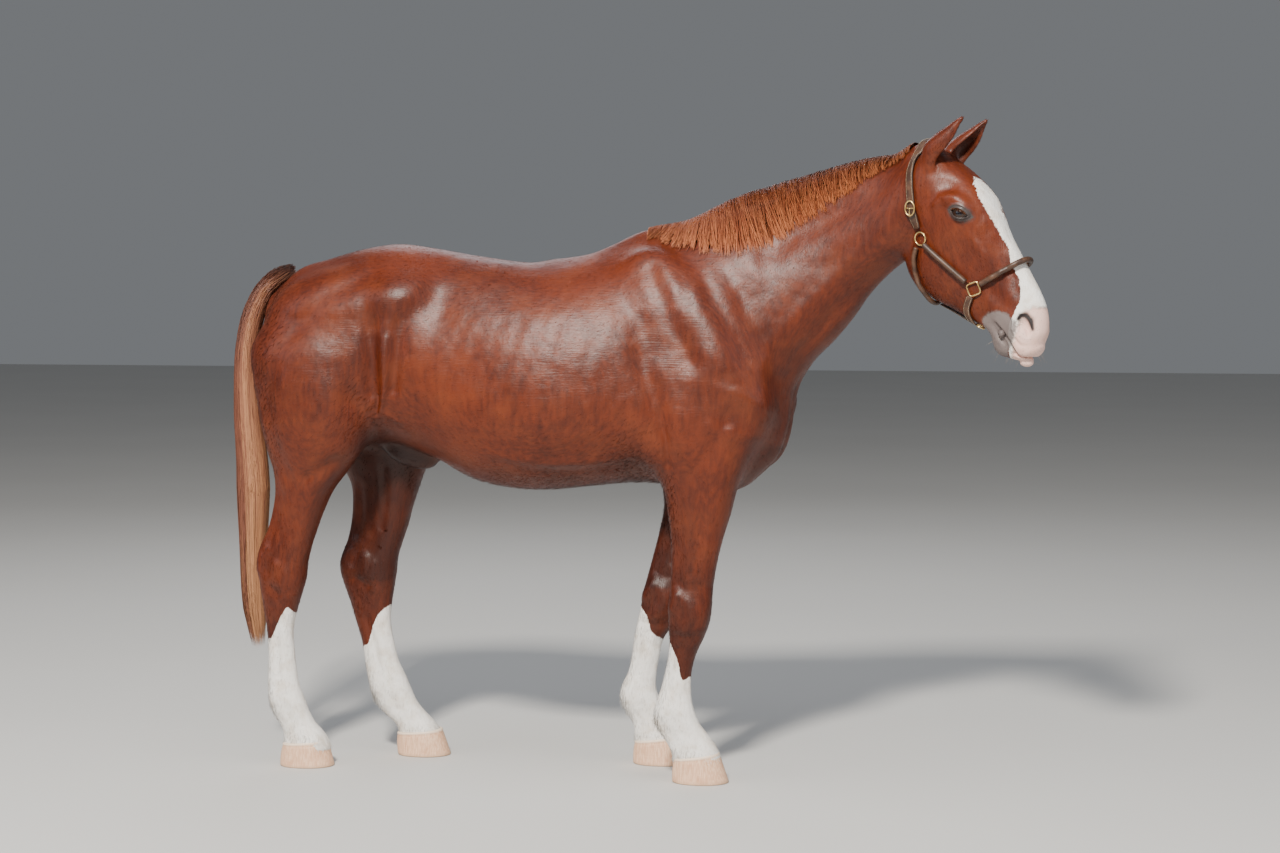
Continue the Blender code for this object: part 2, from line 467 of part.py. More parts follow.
# ---------- relief of neck, trunk and haunch ----------
relief = []
relief += lines([(0.205, 0.130, 1.62), (0.300, 0.150, 1.44), (0.385, 0.165, 1.26), (0.420, 0.165, 1.16)],
                -0.015, 0.030)
relief += lines([(0.150, 0.175, 1.58), (0.215, 0.205, 1.42), (0.285, 0.215, 1.25)], 0.006, 0.022)
relief += lines([(0.065, 0.20, 1.52), (0.13, 0.215, 1.38), (0.20, 0.23, 1.25)], -0.006, 0.028)
relief += lines([(0.800, 0.070, 1.555), (0.700, 0.075, 1.470), (0.600, 0.090, 1.375), (0.520, 0.110, 1.285),
                 (0.465, 0.120, 1.20)], [-0.007, -0.008, -0.009, -0.010, -0.006], 0.017)
relief += lines([(0.790, 0.080, 1.620), (0.690, 0.090, 1.540), (0.580, 0.115, 1.440), (0.480, 0.145, 1.340),
                 (0.400, 0.165, 1.240)], [0.004, 0.006, 0.007, 0.007, 0.004], 0.030)
relief += lines([(0.760, 0.075, 1.745), (0.650, 0.085, 1.690), (0.520, 0.100, 1.630),
                 (0.400, 0.110, 1.575)], [-0.005, -0.007, -0.008, -0.005], 0.040)
relief += [Ridge([(0.495, 0, 1.18), (0.475, 0, 1.08), (0.440, 0, 0.98), (0.370, 0, 0.90)], -0.014, 0.020)]
relief += side_pair(Swell, (0.385, 0.150, 1.115), (0.055, 0.040, 0.050), 0.008)
# behind the shoulder, elbow, girth
relief += lines([(0.045, 0.235, 1.34), (-0.020, 0.255, 1.20), (-0.020, 0.250, 1.06), (0.035, 0.215, 0.955)],
                [-0.004, -0.009, -0.011, -0.008], 0.034)
relief += lines([(0.180, 0.225, 1.235), (0.080, 0.235, 1.150), (0.040, 0.230, 1.050)], 0.006, 0.040)
relief += side_pair(Swell, (0.080, 0.205, 0.985), (0.040, 0.030, 0.045), 0.010)
relief += lines([(0.300, 0.215, 1.080), (0.250, 0.220, 0.990), (0.200, 0.205, 0.920)], -0.006, 0.018)
relief += lines([(0.130, 0.215, 1.030), (0.170, 0.205, 0.950), (0.190, 0.19, 0.880)], -0.004, 0.016)
# ribs and flank
for k in range(9):
    x = -0.075 - 0.058 * k
    relief += lines([(x + 0.03, 0.275, 1.38), (x - 0.010, 0.290, 1.22), (x - 0.045, 0.280, 1.06)],
                    [0.001, 0.0026, 0.0012], 0.018)
relief += side_pair(Swell, (-0.590, 0.250, 1.365), (0.065, 0.060, 0.090), -0.011)
relief += side_pair(Swell, (-0.640, 0.235, 1.205), (0.110, 0.060, 0.120), -0.006)
relief += lines([(-0.765, 0.250, 1.330), (-0.800, 0.235, 1.200), (-0.812, 0.215, 1.080),
                 (-0.800, 0.190, 1.000)], [0.004, 0.014, 0.018, 0.012], 0.017)
relief += lines([(-0.735, 0.250, 1.300), (-0.765, 0.235, 1.180), (-0.780, 0.215, 1.070)],
                [-0.003, -0.008, -0.008], 0.018)
relief += lines([(-0.850, 0.250, 1.240), (-0.858, 0.235, 1.120), (-0.850, 0.215, 1.040)], -0.006, 0.022)
# croup and thigh
relief += lines([(-0.780, 0.220, 1.500), (-0.900, 0.215, 1.440), (-1.010, 0.190, 1.360)], -0.006, 0.030)
relief += lines([(-0.960, 0.225, 1.380), (-1.040, 0.210, 1.280), (-1.085, 0.205, 1.150),
                 (-1.075, 0.190, 1.000), (-1.040, 0.18, 0.90)], [-0.003, -0.008, -0.010, -0.008, -0.004],
                 0.022)
relief += side_pair(Swell, (-0.890, 0.235, 1.130), (0.070, 0.050, 0.110), 0.010)
relief += side_pair(Swell, (-1.130, 0.030, 1.40), (0.060, 0.035, 0.120), -0.030)
relief += [Ridge([(-1.190, 0, 1.30), (-1.180, 0, 1.15), (-1.10, 0, 1.0), (-1.02, 0, 0.95)], -0.045, 0.045)]

# ---------- relief of the legs ----------
def on_leg(loft, z, along, out, sign):
    """A point on a leg's side: along is 0 at the back and 1 at the front; out is +1 outside, -1 inside."""
    c = loft.section(np.array([z]))
    front, back, half, middle = (float(np.ravel(c[k])[0]) for k in ('hi', 'lo', 'w', 'side'))
    u = 2 * along - 1
    return (back + along * (front - back), middle + sign * out * half * np.sqrt(max(0, 1 - abs(u) ** 2.3)),
            z)

def leg_line(loft, sign, rows, height, width, sides=(1, -1)):
    return [Ridge([on_leg(loft, z, t, out, sign) for z, t in rows], height, width) for out in sides]
for loft, sign in ((fore_near, -1), (fore_far, 1)):
    relief += leg_line(loft, sign, [(0.90, 0.55), (0.76, 0.58), (0.63, 0.52)], -0.004, 0.014)
    relief += leg_line(loft, sign, [(0.82, 0.22), (0.70, 0.25), (0.60, 0.22)], -0.003, 0.012)
    relief += leg_line(loft, sign, [(0.545, 0.45), (0.50, 0.62), (0.46, 0.50)], 0.0035, 0.016)
    relief += leg_line(loft, sign, [(0.56, 0.20), (0.52, 0.12)], 0.006, 0.015)
    relief += leg_line(loft, sign, [(0.41, 0.42), (0.34, 0.42), (0.27, 0.42)], [-0.003, -0.0045, -0.003],
                       0.009)
    relief += leg_line(loft, sign, [(0.39, 0.66), (0.34, 0.68), (0.27, 0.66)], 0.0018, 0.010)
    relief += leg_line(loft, sign, [(0.225, 0.30), (0.205, 0.25)], 0.004, 0.014)
    relief += leg_line(loft, sign, [(0.185, 0.55), (0.150, 0.50)], -0.003, 0.012)
for loft, sign in ((hind_near, -1), (hind_far, 1)):
    relief += leg_line(loft, sign, [(0.84, 0.20), (0.76, 0.19), (0.69, 0.20)], [-0.004, -0.010, -0.008],
                       0.015)
    relief += leg_line(loft, sign, [(0.90, 0.60), (0.80, 0.62), (0.72, 0.62)], -0.003, 0.016)
    relief += leg_line(loft, sign, [(0.62, 0.50), (0.57, 0.52)], 0.005, 0.018)
    relief += leg_line(loft, sign, [(0.645, 0.30), (0.600, 0.27)], -0.004, 0.012)
    relief += leg_line(loft, sign, [(0.43, 0.40), (0.36, 0.42), (0.28, 0.42)], [-0.003, -0.0045, -0.003],
                       0.009)
    relief += leg_line(loft, sign, [(0.42, 0.68), (0.36, 0.68), (0.28, 0.66)], 0.0018, 0.010)
    relief += leg_line(loft, sign, [(0.225, 0.30), (0.205, 0.25)], 0.004, 0.014)
    relief += leg_line(loft, sign, [(0.18, 0.55), (0.145, 0.50)], -0.003, 0.012)

# ---------- relief of the head ----------
relief += lines([(1.058, 0.085, 1.612), (1.085, 0.078, 1.570), (1.112, 0.070, 1.535)],
                [0.003, 0.006, 0.002], 0.012)
relief += lines([(0.960, 0.092, 1.700), (0.990, 0.100, 1.712)], 0.005, 0.013)
relief += side_pair(Swell, (0.998, 0.082, 1.752), (0.024, 0.03, 0.022), -0.010)
relief += side_pair(Swell, (0.930, 0.075, 1.560), (0.060, 0.03, 0.075), 0.004)
relief += lines([(0.905, 0.080, 1.680), (0.872, 0.080, 1.620), (0.860, 0.075, 1.560), (0.880, 0.07, 1.490)],
                [-0.003, -0.006, -0.007, -0.004], 0.014)
relief += lines([(1.130, 0.045, 1.600), (1.165, 0.042, 1.520), (1.190, 0.040, 1.450)],
                [-0.002, -0.004, -0.003], 0.012)
relief += lines([(1.080, 0.070, 1.500), (1.120, 0.055, 1.450), (1.160, 0.050, 1.410)],
                [-0.003, -0.004, -0.002], 0.020)
relief += lines([(1.095, 0.085, 1.675), (1.080, 0.09, 1.650)], -0.002, 0.010)
relief += lines([(0.960, 0.094, 1.705), (0.975, 0.100, 1.725), (1.000, 0.098, 1.728),
                 (1.030, 0.100, 1.722)], [0.003, 0.006, 0.005, 0.002], 0.010)
nostrils = side_pair(Ball, (1.219, 0.056, 1.360), (0.0320, 0.0190, 0.0175), long=(0.30, -0.20, -0.91),
                     blend=0.006)
alar_folds = side_pair(Ball, (1.211, 0.040, 1.338), (0.0240, 0.0115, 0.0125), long=(0.42, 0.10, -0.90),
                       blend=0.006)
relief += lines([(1.186, 0.052, 1.352), (1.188, 0.053, 1.374), (1.200, 0.052, 1.395), (1.222, 0.048, 1.402),
                 (1.243, 0.044, 1.390)], [0.003, 0.004, 0.004, 0.004, 0.002], 0.0065)
relief += lines([(1.186, 0.052, 1.352), (1.193, 0.055, 1.332), (1.206, 0.055, 1.316)],
                [0.003, 0.003, 0.001], 0.0065)
relief += lines([(1.252, 0.042, 1.372), (1.257, 0.042, 1.345), (1.245, 0.046, 1.322)],
                [0.001, 0.003, 0.001], 0.0065)
relief += lines([(1.182, 0.050, 1.345), (1.190, 0.052, 1.325), (1.208, 0.050, 1.306),
                 (1.230, 0.046, 1.306)], [-0.001, -0.003, -0.003, -0.001], 0.0045)
MOUTH = np.array([(1.118, 0.046, 1.363), (1.138, 0.047, 1.340), (1.157, 0.046, 1.316),
                  (1.172, 0.041, 1.296), (1.184, 0.036, 1.278)])
relief += lines(MOUTH, [-0.003, -0.008, -0.009, -0.009, -0.009], 0.0034)
relief += lines([(1.180, 0.042, 1.284), (1.200, 0.026, 1.276), (1.226, 0.0, 1.272)], -0.009, 0.0036)
relief += lines([(1.126, 0.046, 1.374), (1.150, 0.049, 1.338), (1.172, 0.046, 1.306)],
                [0.002, 0.004, 0.002], 0.009)
relief += lines([(1.112, 0.040, 1.350), (1.132, 0.041, 1.318), (1.156, 0.036, 1.290)],
                [0.002, 0.004, 0.002], 0.008)

# An ear is a leaf rolled into a cone, open forwards. The cone is solid here; its hollow is pressed in
# afterwards, on
# the finished mesh, so that its rim stays clean.

# ---------- ears ----------
def ear(sign):
    """The solid cone of the ear on one side; both turn inwards, towards what the horse looks at."""
    root = np.array([0.926, sign * 0.060, 1.822])
    tip = root + [0.119, sign * 0.018, 0.139]
    return Loft(root, tip - root, np.array([0.68, sign * -0.50, -0.66]), [
        (-0.040, 0.022, -0.026, 0.028), (0.000, 0.030, -0.034, 0.036), (0.035, 0.027, -0.044, 0.0375),
        (0.075, 0.030, -0.036, 0.0335), (0.110, 0.026, -0.023, 0.0240), (0.140, 0.015, -0.013, 0.0135),
        (0.160, 0.008, -0.005, 0.0065)], power=2.0, cap=(0.03, 0.006), blend=0.018)

ears = [ear(-1), ear(1)]
lids = side_pair(Ball, EYE, (EYE_R + 0.0032,) * 3, blend=0.010)
forms += ears + lids

# ---------- the field of the whole body ----------
def near(P, form, pad=0.0):
    """The numbers of the points that lie in a form's box."""
    return np.flatnonzero(np.all((P > form.lo - pad) & (P < form.hi + pad), axis=1))

def field(P):
    """Rough distance outside the skin: forms joined, relief added, nostrils carved, folds put in."""
    P = np.asarray(P, float)
    d = np.full(len(P), 1.0)
    for form in forms:
        i = near(P, form, 0.04)
        d[i] = join(d[i], form(P[i]), form.blend)
    for line in relief:
        i = near(P, line)
        d[i] -= line(P[i])
    for hollow, fold in zip(nostrils, alar_folds):
        i = near(P, hollow, 0.02)
        d[i] = join(carve(d[i], hollow(P[i]), hollow.blend), fold(P[i]), fold.blend)
    return d

def spread(work, P):
    """The same work on slices of the points, on four threads."""
    if len(P) < 4000:
        return work(P)
    with ThreadPoolExecutor(4) as pool:
        return np.concatenate(list(pool.map(work, np.array_split(P, max(4, len(P) // 60000)))))


# A surface net puts one point in each grid cell that the skin passes through, at the mean of its crossings,
# and a
# quad across each crossed edge. It gives even quads and no slivers, where marching cubes gives many. Only
# cells near
# the skin are worked out: a coarse grid is tried first, and its far blocks are left out.

# ---------- surface net ----------
def graded(*spans):
    """Grid lines whose spacing changes: (start, end, step) one after another."""
    parts = [np.linspace(a, b, max(1, round((b - a) / step)), endpoint=False) for a, b, step in spans]
    return np.concatenate(parts + [[spans[-1][1]]])

def near_field(axes, block=6):
    """The field on the whole grid, worked out only where the block's middle is near the skin."""
    shape = tuple(len(a) for a in axes)
    F = np.ones(shape)
    cuts = [np.arange(0, n, block) for n in shape]
    ends = [np.minimum(c + block, n) for c, n in zip(cuts, shape)]
    low = np.stack(np.meshgrid(*[a[c] for a, c in zip(axes, cuts)], indexing="ij"), -1).reshape(-1, 3)
    high = np.stack(np.meshgrid(*[a[e - 1] for a, e in zip(axes, ends)], indexing="ij"), -1).reshape(-1, 3)
    which = np.stack(np.meshgrid(*[np.arange(len(c)) for c in cuts], indexing="ij"), -1).reshape(-1, 3)
    middle, radius = (low + high) / 2, np.linalg.norm(high - low, axis=1) / 2
    value = spread(field, middle)
    F_block = np.where(value < 0, -1.0, 1.0)
    close = np.abs(value) < 1.6 * radius + 0.055
    steps = np.stack(np.meshgrid(*[np.arange(block)] * 3, indexing="ij"), -1).reshape(-1, 3)
    for chosen, values in ((~close, F_block), (close, None)):
        cell = (which[chosen] * block)[:, None] + steps[None]
        ok = np.all(cell < shape, axis=-1)
        at = cell[ok]
        if values is not None:
            F[tuple(at.T)] = np.repeat(values[chosen], ok.sum(1))
        else:
            F[tuple(at.T)] = spread(field, np.stack([axes[d][at[:, d]] for d in range(3)], 1))
    return F

def surface_net(F, axes, level):
    """Points and quads of the net where the field passes a level."""
    F = F - level
    inside = F < 0
    cells = tuple(n - 1 for n in F.shape)
    count, total = np.zeros(cells, np.int8), np.zeros(cells + (3,))
    corner = lambda A, o: A[o[0]:o[0] + cells[0], o[1]:o[1] + cells[1], o[2]:o[2] + cells[2]]
    for axis in range(3):
        others = [x for x in range(3) if x != axis]
        for a in (0, 1):
            for b in (0, 1):
                p = [0, 0, 0]
                p[others[0]], p[others[1]] = a, b
                q = list(p)
                q[axis] = 1
                at = np.nonzero(corner(inside, p) != corner(inside, q))
                t = corner(F, p)[at] / (corner(F, p)[at] - corner(F, q)[at])
                for d in range(3):
                    c = axes[d][at[d] + p[d]]
                    total[at + (np.full(len(t), d),)] += c + (t * (axes[d][at[d] + q[d]] - c) if d == axis
                                                              else 0)
                count[at] += 1
    active = count > 0
    index = np.full(cells, -1)
    index[active] = np.arange(active.sum())
    quads = []
    for axis in range(3):
        others = [x for x in range(3) if x != axis]
        span = [slice(1, -1)] * 3
        first, second = list(span), list(span)
        first[axis], second[axis] = slice(0, -1), slice(1, None)
        a, b = inside[tuple(first)], inside[tuple(second)]
        at = [v + (d in others) for d, v in enumerate(np.nonzero(a != b))]
        def cell(i, j):
            c = list(at)
            c[others[0]], c[others[1]] = at[others[0]] - 1 + i, at[others[1]] - 1 + j
            return index[tuple(c)]
        q = np.stack([cell(0, 0), cell(1, 0), cell(1, 1), cell(0, 1)], 1)
        forward = a[np.nonzero(a != b)] != (axis == 1)
        quads.append(np.where(forward[:, None], q, q[:, ::-1]))
    return total[active] / count[active][:, None], np.concatenate(quads)

# The net is then worked like clay: long edges are split where a smaller size is wanted, points are evened
# out along
# the surface, and each is moved along its normal until the field there has the level asked for.

# ---------- split, even out, settle ----------
def to_triangles(V, Q):
    """Each quad cut along its shorter diagonal."""
    short = (np.linalg.norm(V[Q[:, 0]] - V[Q[:, 2]], axis=1) < np.linalg.norm(V[Q[:, 1]] - V[Q[:, 3]],
                                                                              axis=1))[:, None]
    return np.concatenate([np.where(short, Q[:, [0, 1, 2]], Q[:, [0, 1, 3]]),
                           np.where(short, Q[:, [0, 2, 3]], Q[:, [1, 2, 3]])])

def edges_of(T):
    """The mesh's edges, and the three edge numbers of each triangle."""
    E = np.sort(np.concatenate([T[:, [0, 1]], T[:, [1, 2]], T[:, [2, 0]]]), axis=1)
    key = E[:, 0].astype(np.int64) * (T.max() + 1) + E[:, 1]
    _, first, back = np.unique(key, return_index=True, return_inverse=True)
    return E[first], back.reshape(3, -1).T

def split_long(V, T, size):
    """Splits each edge over 1.35 times the size wanted there: a triangle with n cut sides becomes n + 1."""
    E, te = edges_of(T)
    middle = (V[E[:, 0]] + V[E[:, 1]]) / 2
    long = np.linalg.norm(V[E[:, 0]] - V[E[:, 1]], axis=1) > 1.35 * size(middle)
    new = np.full(len(E), -1)
    new[long] = len(V) + np.arange(long.sum())
    V = np.concatenate([V, middle[long]])
    m = new[te]
    cuts = (m >= 0).sum(1)
    out = [T[cuts == 0]]
    for k in (1, 2, 3):
        rows = np.flatnonzero(cuts == k)
        start = {1: np.argmax(m[rows] >= 0, axis=1), 2: (np.argmin(m[rows] >= 0, axis=1) + 1) % 3,
                 3: np.zeros(len(rows), int)}[k]
        pick = lambda A, j: A[rows, (start + j) % 3]
        a, b, c = (pick(T, j) for j in range(3))
        ab, bc, ca = (pick(m, j) for j in range(3))
        if k == 1:
            out += [np.stack([a, ab, c], 1), np.stack([ab, b, c], 1)]
        elif k == 2:
            near_c = (np.linalg.norm(V[ab] - V[c], axis=1) < np.linalg.norm(V[a] - V[bc], axis=1))[:, None]
            out += [np.stack([ab, b, bc], 1), np.where(near_c, np.stack([a, ab, c], 1),
                                                       np.stack([a, ab, bc], 1)),
                    np.where(near_c, np.stack([ab, bc, c], 1), np.stack([a, bc, c], 1))]
        else:
            out += [np.stack(x, 1) for x in ((a, ab, ca), (ab, b, bc), (ca, bc, c), (ab, bc, ca))]
    return V, np.concatenate(out), bool(long.any())

def vertex_normals(V, T):
    """The mean of the faces' normals at each point, weighted by their area."""
    face = np.cross(V[T[:, 1]] - V[T[:, 0]], V[T[:, 2]] - V[T[:, 0]])
    total = np.stack([sum(np.bincount(T[:, k], face[:, d], len(V)) for k in range(3)) for d in range(3)], 1)
    return level_lengths(total)

def neighbour_mean(V, E):
    """The mean of each point's neighbours."""
    total = np.stack([np.bincount(E[:, 0], V[E[:, 1], d],
                                  len(V)) + np.bincount(E[:, 1], V[E[:, 0], d], len(V)) for d in range(3)],
                                  1)
    return total / np.maximum(np.bincount(E.ravel(), minlength=len(V)), 1)[:, None]

def relax(V, T, rounds=2):
    """Moves each point half way to its neighbours' mean, along the surface only."""
    E, _ = edges_of(T)
    for _ in range(rounds):
        move, n = neighbour_mean(V, E) - V, vertex_normals(V, T)
        V = V + 0.5 * (move - (move * n).sum(1, keepdims=True) * n)
    return V

def press(V, T, level, rounds=2, reach=0.004, h=0.0008):
    """Moves each point along its normal by (field - level) / slope, at most reach a round."""
    for _ in range(rounds):
        n = vertex_normals(V, T)
        f = spread(field, V)
        rise = (spread(field, V + h * n) - f) / h
        V = V - np.clip((f - level) / np.maximum(rise, 0.35), -reach, reach)[:, None] * n
    return V

def soften(V, T, weight, rounds=4):
    """Smooths without shrinking: a step towards the neighbours and a slightly larger step back."""
    E, _ = edges_of(T)
    for step in (0.55, -0.57) * rounds:
        V = V + step * weight[:, None] * (neighbour_mean(V, E) - V)
    return V


# ---------- the flesh's net ----------
BODY_AXES = (graded((-1.30, 0.78, 0.022), (0.78, 0.92, 0.010), (0.92, 1.09, 0.0055), (1.09, 1.32, 0.010)),
             graded((-0.36, -0.116, 0.020), (-0.116, -0.028, 0.0055), (-0.028, 0.028, 0.0093),
                    (0.028, 0.116, 0.0055), (0.116, 0.36, 0.020)),
             graded((0.03, 1.22, 0.020), (1.22, 1.64, 0.011), (1.64, 1.715, 0.0065), (1.715, 1.80, 0.010),
                    (1.80, 1.965, 0.0055)))

def facet_size(P):
    """How long a triangle's side may be before thinning: least on the ears, then head, then legs."""
    size = np.where(P[:, 2] < 0.85, 0.020, 0.030)
    size = np.where(P[:, 0] > 0.83, 0.014, size)
    return np.where((P[:, 0] > 0.93) & (P[:, 2] > 1.81), 0.007, size)

def sculpt():
    """The skin as points and triangles, finer where facets may be small."""
    V, Q = surface_net(near_field(BODY_AXES), BODY_AXES, 0.0)
    T = to_triangles(V, Q)
    V = press(relax(V, T), T, 0.0)
    V, T, _ = split_long(V, T, facet_size)
    V = press(relax(V, T), T, 0.0)
    return soften(V, T, np.where(V[:, 0] > 0.93, 0.8, 0.25), 4), T

# ---------- the turn of the neck and head ----------
def place(P):
    """Turns everything ahead of the shoulders to the right along an arc, then shifts the whole horse."""
    P = np.asarray(P, float)
    x, y, z = P[..., 0], P[..., 1], P[..., 2]
    radius = (TURN_END - TURN_START) / TURN
    phi = np.clip((x - TURN_START) / radius, 0, TURN)
    ahead = np.maximum(x - TURN_END, 0)
    turned_x = np.where(x > TURN_START, TURN_START + radius * np.sin(phi), x) + ahead * np.cos(TURN)
    turned_y = -radius * (1 - np.cos(phi)) - ahead * np.sin(TURN)
    return np.stack([turned_x + y * np.sin(phi), turned_y + y * np.cos(phi), z], -1) + SHIFT

# ---------- objects ----------
for old in list(bpy.data.objects):
    bpy.data.objects.remove(old, do_unlink=True)

def finish_of(name, colour, roughness, metallic):
    """A plain material."""
    made = bpy.data.materials.new(name)
    made.use_nodes = True
    shader = made.node_tree.nodes["Principled BSDF"]
    shader.inputs["Base Color"].default_value = (*colour, 1)
    shader.inputs["Roughness"].default_value = roughness
    shader.inputs["Metallic"].default_value = metallic
    return made

def solid(name, V, F, colour=CHESTNUT, roughness=0.5, metallic=0.0):
    """A smooth-shaded object from points and faces, turned the right way out."""
    mesh = bpy.data.meshes.new(name)
    mesh.from_pydata([tuple(map(float, v)) for v in V], [], [tuple(map(int, f)) for f in F])
    body = bmesh.new()
    body.from_mesh(mesh)
    bmesh.ops.recalc_face_normals(body, faces=body.faces)
    for face in body.faces:
        face.smooth = True
    body.to_mesh(mesh)
    body.free()
    made = bpy.data.objects.new(name, mesh)
    bpy.context.scene.collection.objects.link(made)
    mesh.materials.append(finish_of(name, colour, roughness, metallic))
    return made

def drop(obj):
    """Removes an object."""
    bpy.data.objects.remove(obj, do_unlink=True)

def settled(obj):
    """The object with its modifiers worked into its mesh."""
    graph = bpy.context.evaluated_depsgraph_get()
    mesh = bpy.data.meshes.new_from_object(obj.evaluated_get(graph))
    obj.modifiers.clear()
    old_mesh = obj.data
    obj.data = mesh
    bpy.data.meshes.remove(old_mesh)
    return obj

def subtract(obj, tool):
    """Cuts the tool out of the object, and drops the tool."""
    cut = obj.modifiers.new("cut", "BOOLEAN")
    cut.operation, cut.solver, cut.object = "DIFFERENCE", "EXACT", tool
    settled(obj)
    drop(tool)

def mend(obj):
    """Closes up edges that thinning left with more than two faces, by shrinking them to a point."""
    body = bmesh.new()
    body.from_mesh(obj.data)
    for _ in range(6):
        bad = [e for e in body.edges if len(e.link_faces) != 2]
        if not bad:
            break
        bmesh.ops.collapse(body, edges=bad)
        seen, double = {}, set()
        for face in body.faces:
            corners = frozenset(v.index for v in face.verts)
            if corners in seen:
                double |= {face, seen[corners]}
            seen[corners] = face
        bmesh.ops.delete(body, geom=list(double), context="FACES")
        body.verts.index_update()
    body.to_mesh(obj.data)
    body.free()

def volume_of(V, F):
    """The volume inside a closed mesh, as a sum of tetrahedra from the origin."""
    return abs(sum(np.dot(V[f[0]], np.cross(V[f[i]], V[f[i + 1]])) / 6 for f in F
                   for i in range(1, len(f) - 1)))

def loose_parts(obj):
    """The separate closed bodies of a mesh, as (points, faces), largest first."""
    body = bmesh.new()
    body.from_mesh(obj.data)
    bmesh.ops.remove_doubles(body, verts=body.verts, dist=WELD)
    bmesh.ops.dissolve_degenerate(body, edges=body.edges, dist=WELD)
    bmesh.ops.triangulate(body, faces=body.faces)
    body.verts.ensure_lookup_table()
    seen, parts = set(), []
    for start in body.verts:
        if start.index in seen:
            continue
        waiting, found = [start], []
        seen.add(start.index)
        while waiting:
            v = waiting.pop()
            found.append(v)
            for e in v.link_edges:
                w = e.other_vert(v)
                if w.index not in seen:
                    seen.add(w.index)
                    waiting.append(w)
        number = {v.index: i for i, v in enumerate(found)}
        faces = {f.index: f for v in found for f in v.link_faces}
        if len(faces) > 3:
            V = np.array([v.co[:] for v in found])
            parts.append((V, [[number[v.index] for v in f.verts] for f in faces.values()]))
    body.free()
    return sorted(parts, key=lambda part: -volume_of(*part))

def ring_solid(rings, closed=False):
    """Points and faces of a body through rings of points, capped at both ends unless it closes on itself."""
    n, last = len(rings[0]), len(rings) - (not closed)
    V = np.concatenate([np.asarray(r, float) for r in rings])
    F = []
    for i in range(last):
        a, b = i * n, ((i + 1) % len(rings)) * n
        F += [(a + j, a + (j + 1) % n, b + (j + 1) % n, b + j) for j in range(n)]
    if not closed:
        F += [tuple(range(n)), tuple(range((len(rings) - 1) * n, len(rings) * n))]
    return V, F

def ball(centre, radius, segments, rings):
    """Points and faces of a sphere."""
    th = np.linspace(0, np.pi, rings + 1)[1:-1]
    a = np.linspace(0, 2 * np.pi, segments, endpoint=False)
    shells = [np.stack([np.sin(t) * np.cos(a), np.sin(t) * np.sin(a), np.cos(t) + 0 * a], 1) for t in th]
    V, F = ring_solid(shells)
    top, bottom = len(V), len(V) + 1
    V = np.concatenate([V, [(0, 0, 1), (0, 0, -1)]])
    low = (rings - 2) * segments
    F = F[:-2] + [(top, (j + 1) % segments, j) for j in range(segments)]
    F += [(bottom, low + j, low + (j + 1) % segments) for j in range(segments)]
    return centre + radius * V, F

# ---------- lines on the skin ----------
def slope(P, h=0.0008):
    """The field's gradient by central differences."""
    return np.stack([(field(P + h * e) - field(P - h * e)) / (2 * h) for e in np.eye(3)], 1)

def on_skin(P, level, rounds=6, reach=0.02):
    """Points moved along the slope until the field has that level."""
    P = np.asarray(P, float)
    for _ in range(rounds):
        g = slope(P)
        step = ((field(P) - level) / np.maximum((g * g).sum(1), 0.05))[:, None] * g
        far = np.maximum(np.linalg.norm(step, axis=1, keepdims=True), 1e-9)
        P = P - step * np.minimum(1, reach / far)
    return P

def along(points, count):
    """Points spaced evenly on a smooth line through the given ones."""
    p = np.asarray(points, float)
    t = np.concatenate([[0], np.cumsum(np.linalg.norm(np.diff(p, axis=0), axis=1))])
    u = np.linspace(0, t[-1], count)
    return np.stack([smooth_curve(u, t, p[:, d]) for d in range(3)], 1)

def laid(points, level, count):
    """A line through the points, laid on the skin at a height above it and evenly spaced."""
    rough = on_skin(along(points, 3 * count), level)
    return on_skin(along(rough[::3], count), level)

def on_line(c):
    """The sideways and outward directions along a line on the skin."""
    way = level_lengths(np.gradient(c, axis=0))
    side = level_lengths(np.cross(way, level_lengths(slope(c, 0.003))))
    return side, np.cross(side, way)

def rod(points, radius, count, sides=6):
    """The rings of a rolled strap lying on the skin."""
    c = laid(points, radius + STRAP_GAP, count)
    side, out = on_line(c)
    a = np.linspace(0, 2 * np.pi, sides, endpoint=False)[:, None]
    return [c[i] + radius * (np.cos(a) * out[i] + np.sin(a) * side[i]) for i in range(count)]

def strap(points, width, count):
    """The rings of a flat strap lying on the skin."""
    c = laid(points, STRAP_GAP + FLAT_THICK / 2, count)
    side, out = on_line(c)
    outline = np.array([(1, -1), (1, 0), (1, 1), (-1, 1), (-1, 0), (-1, -1)]) / 2
    return [c[i] + outline[:, :1] * FLAT_THICK * out[i] + outline[:, 1:] * width * side[i]
            for i in range(count)]

def wire_ring(centre, gap, radius, wire, stretch=(1.0, 1.0), turn=0.0, corners=2.0, towards=(0, 0, 1)):
    """The rings of a metal ring lying on the skin; corners above 2 make it square."""
    around, sides = 12, 5
    c = on_skin([centre], gap + wire)[0]
    n = level_lengths(slope(c[None], 0.003))[0]
    u = unit(np.asarray(towards, float) - n * (np.asarray(towards, float) @ n))
    v = np.cross(n, u)
    b = np.linspace(0, 2 * np.pi, sides, endpoint=False)[:, None]
    rings = []
    for a in np.linspace(0, 2 * np.pi, around, endpoint=False):
        r = radius / (abs(np.cos(a)) ** corners + abs(np.sin(a)) ** corners) ** (1 / corners)
        d = np.cos(a + turn) * u * stretch[0] + np.sin(a + turn) * v * stretch[1]
        rings.append(c + r * d + wire * (np.cos(b) * unit(d) + np.sin(b) * n))
    return rings

# ---------- flesh: whole, with its eye sockets ----------
V, T = sculpt()
flesh = solid("flesh", place(V), T)
thinner = flesh.modifiers.new("thinner", "DECIMATE")
thinner.ratio = FLESH_TRIANGLES / len(T)
settled(flesh)
mend(flesh)

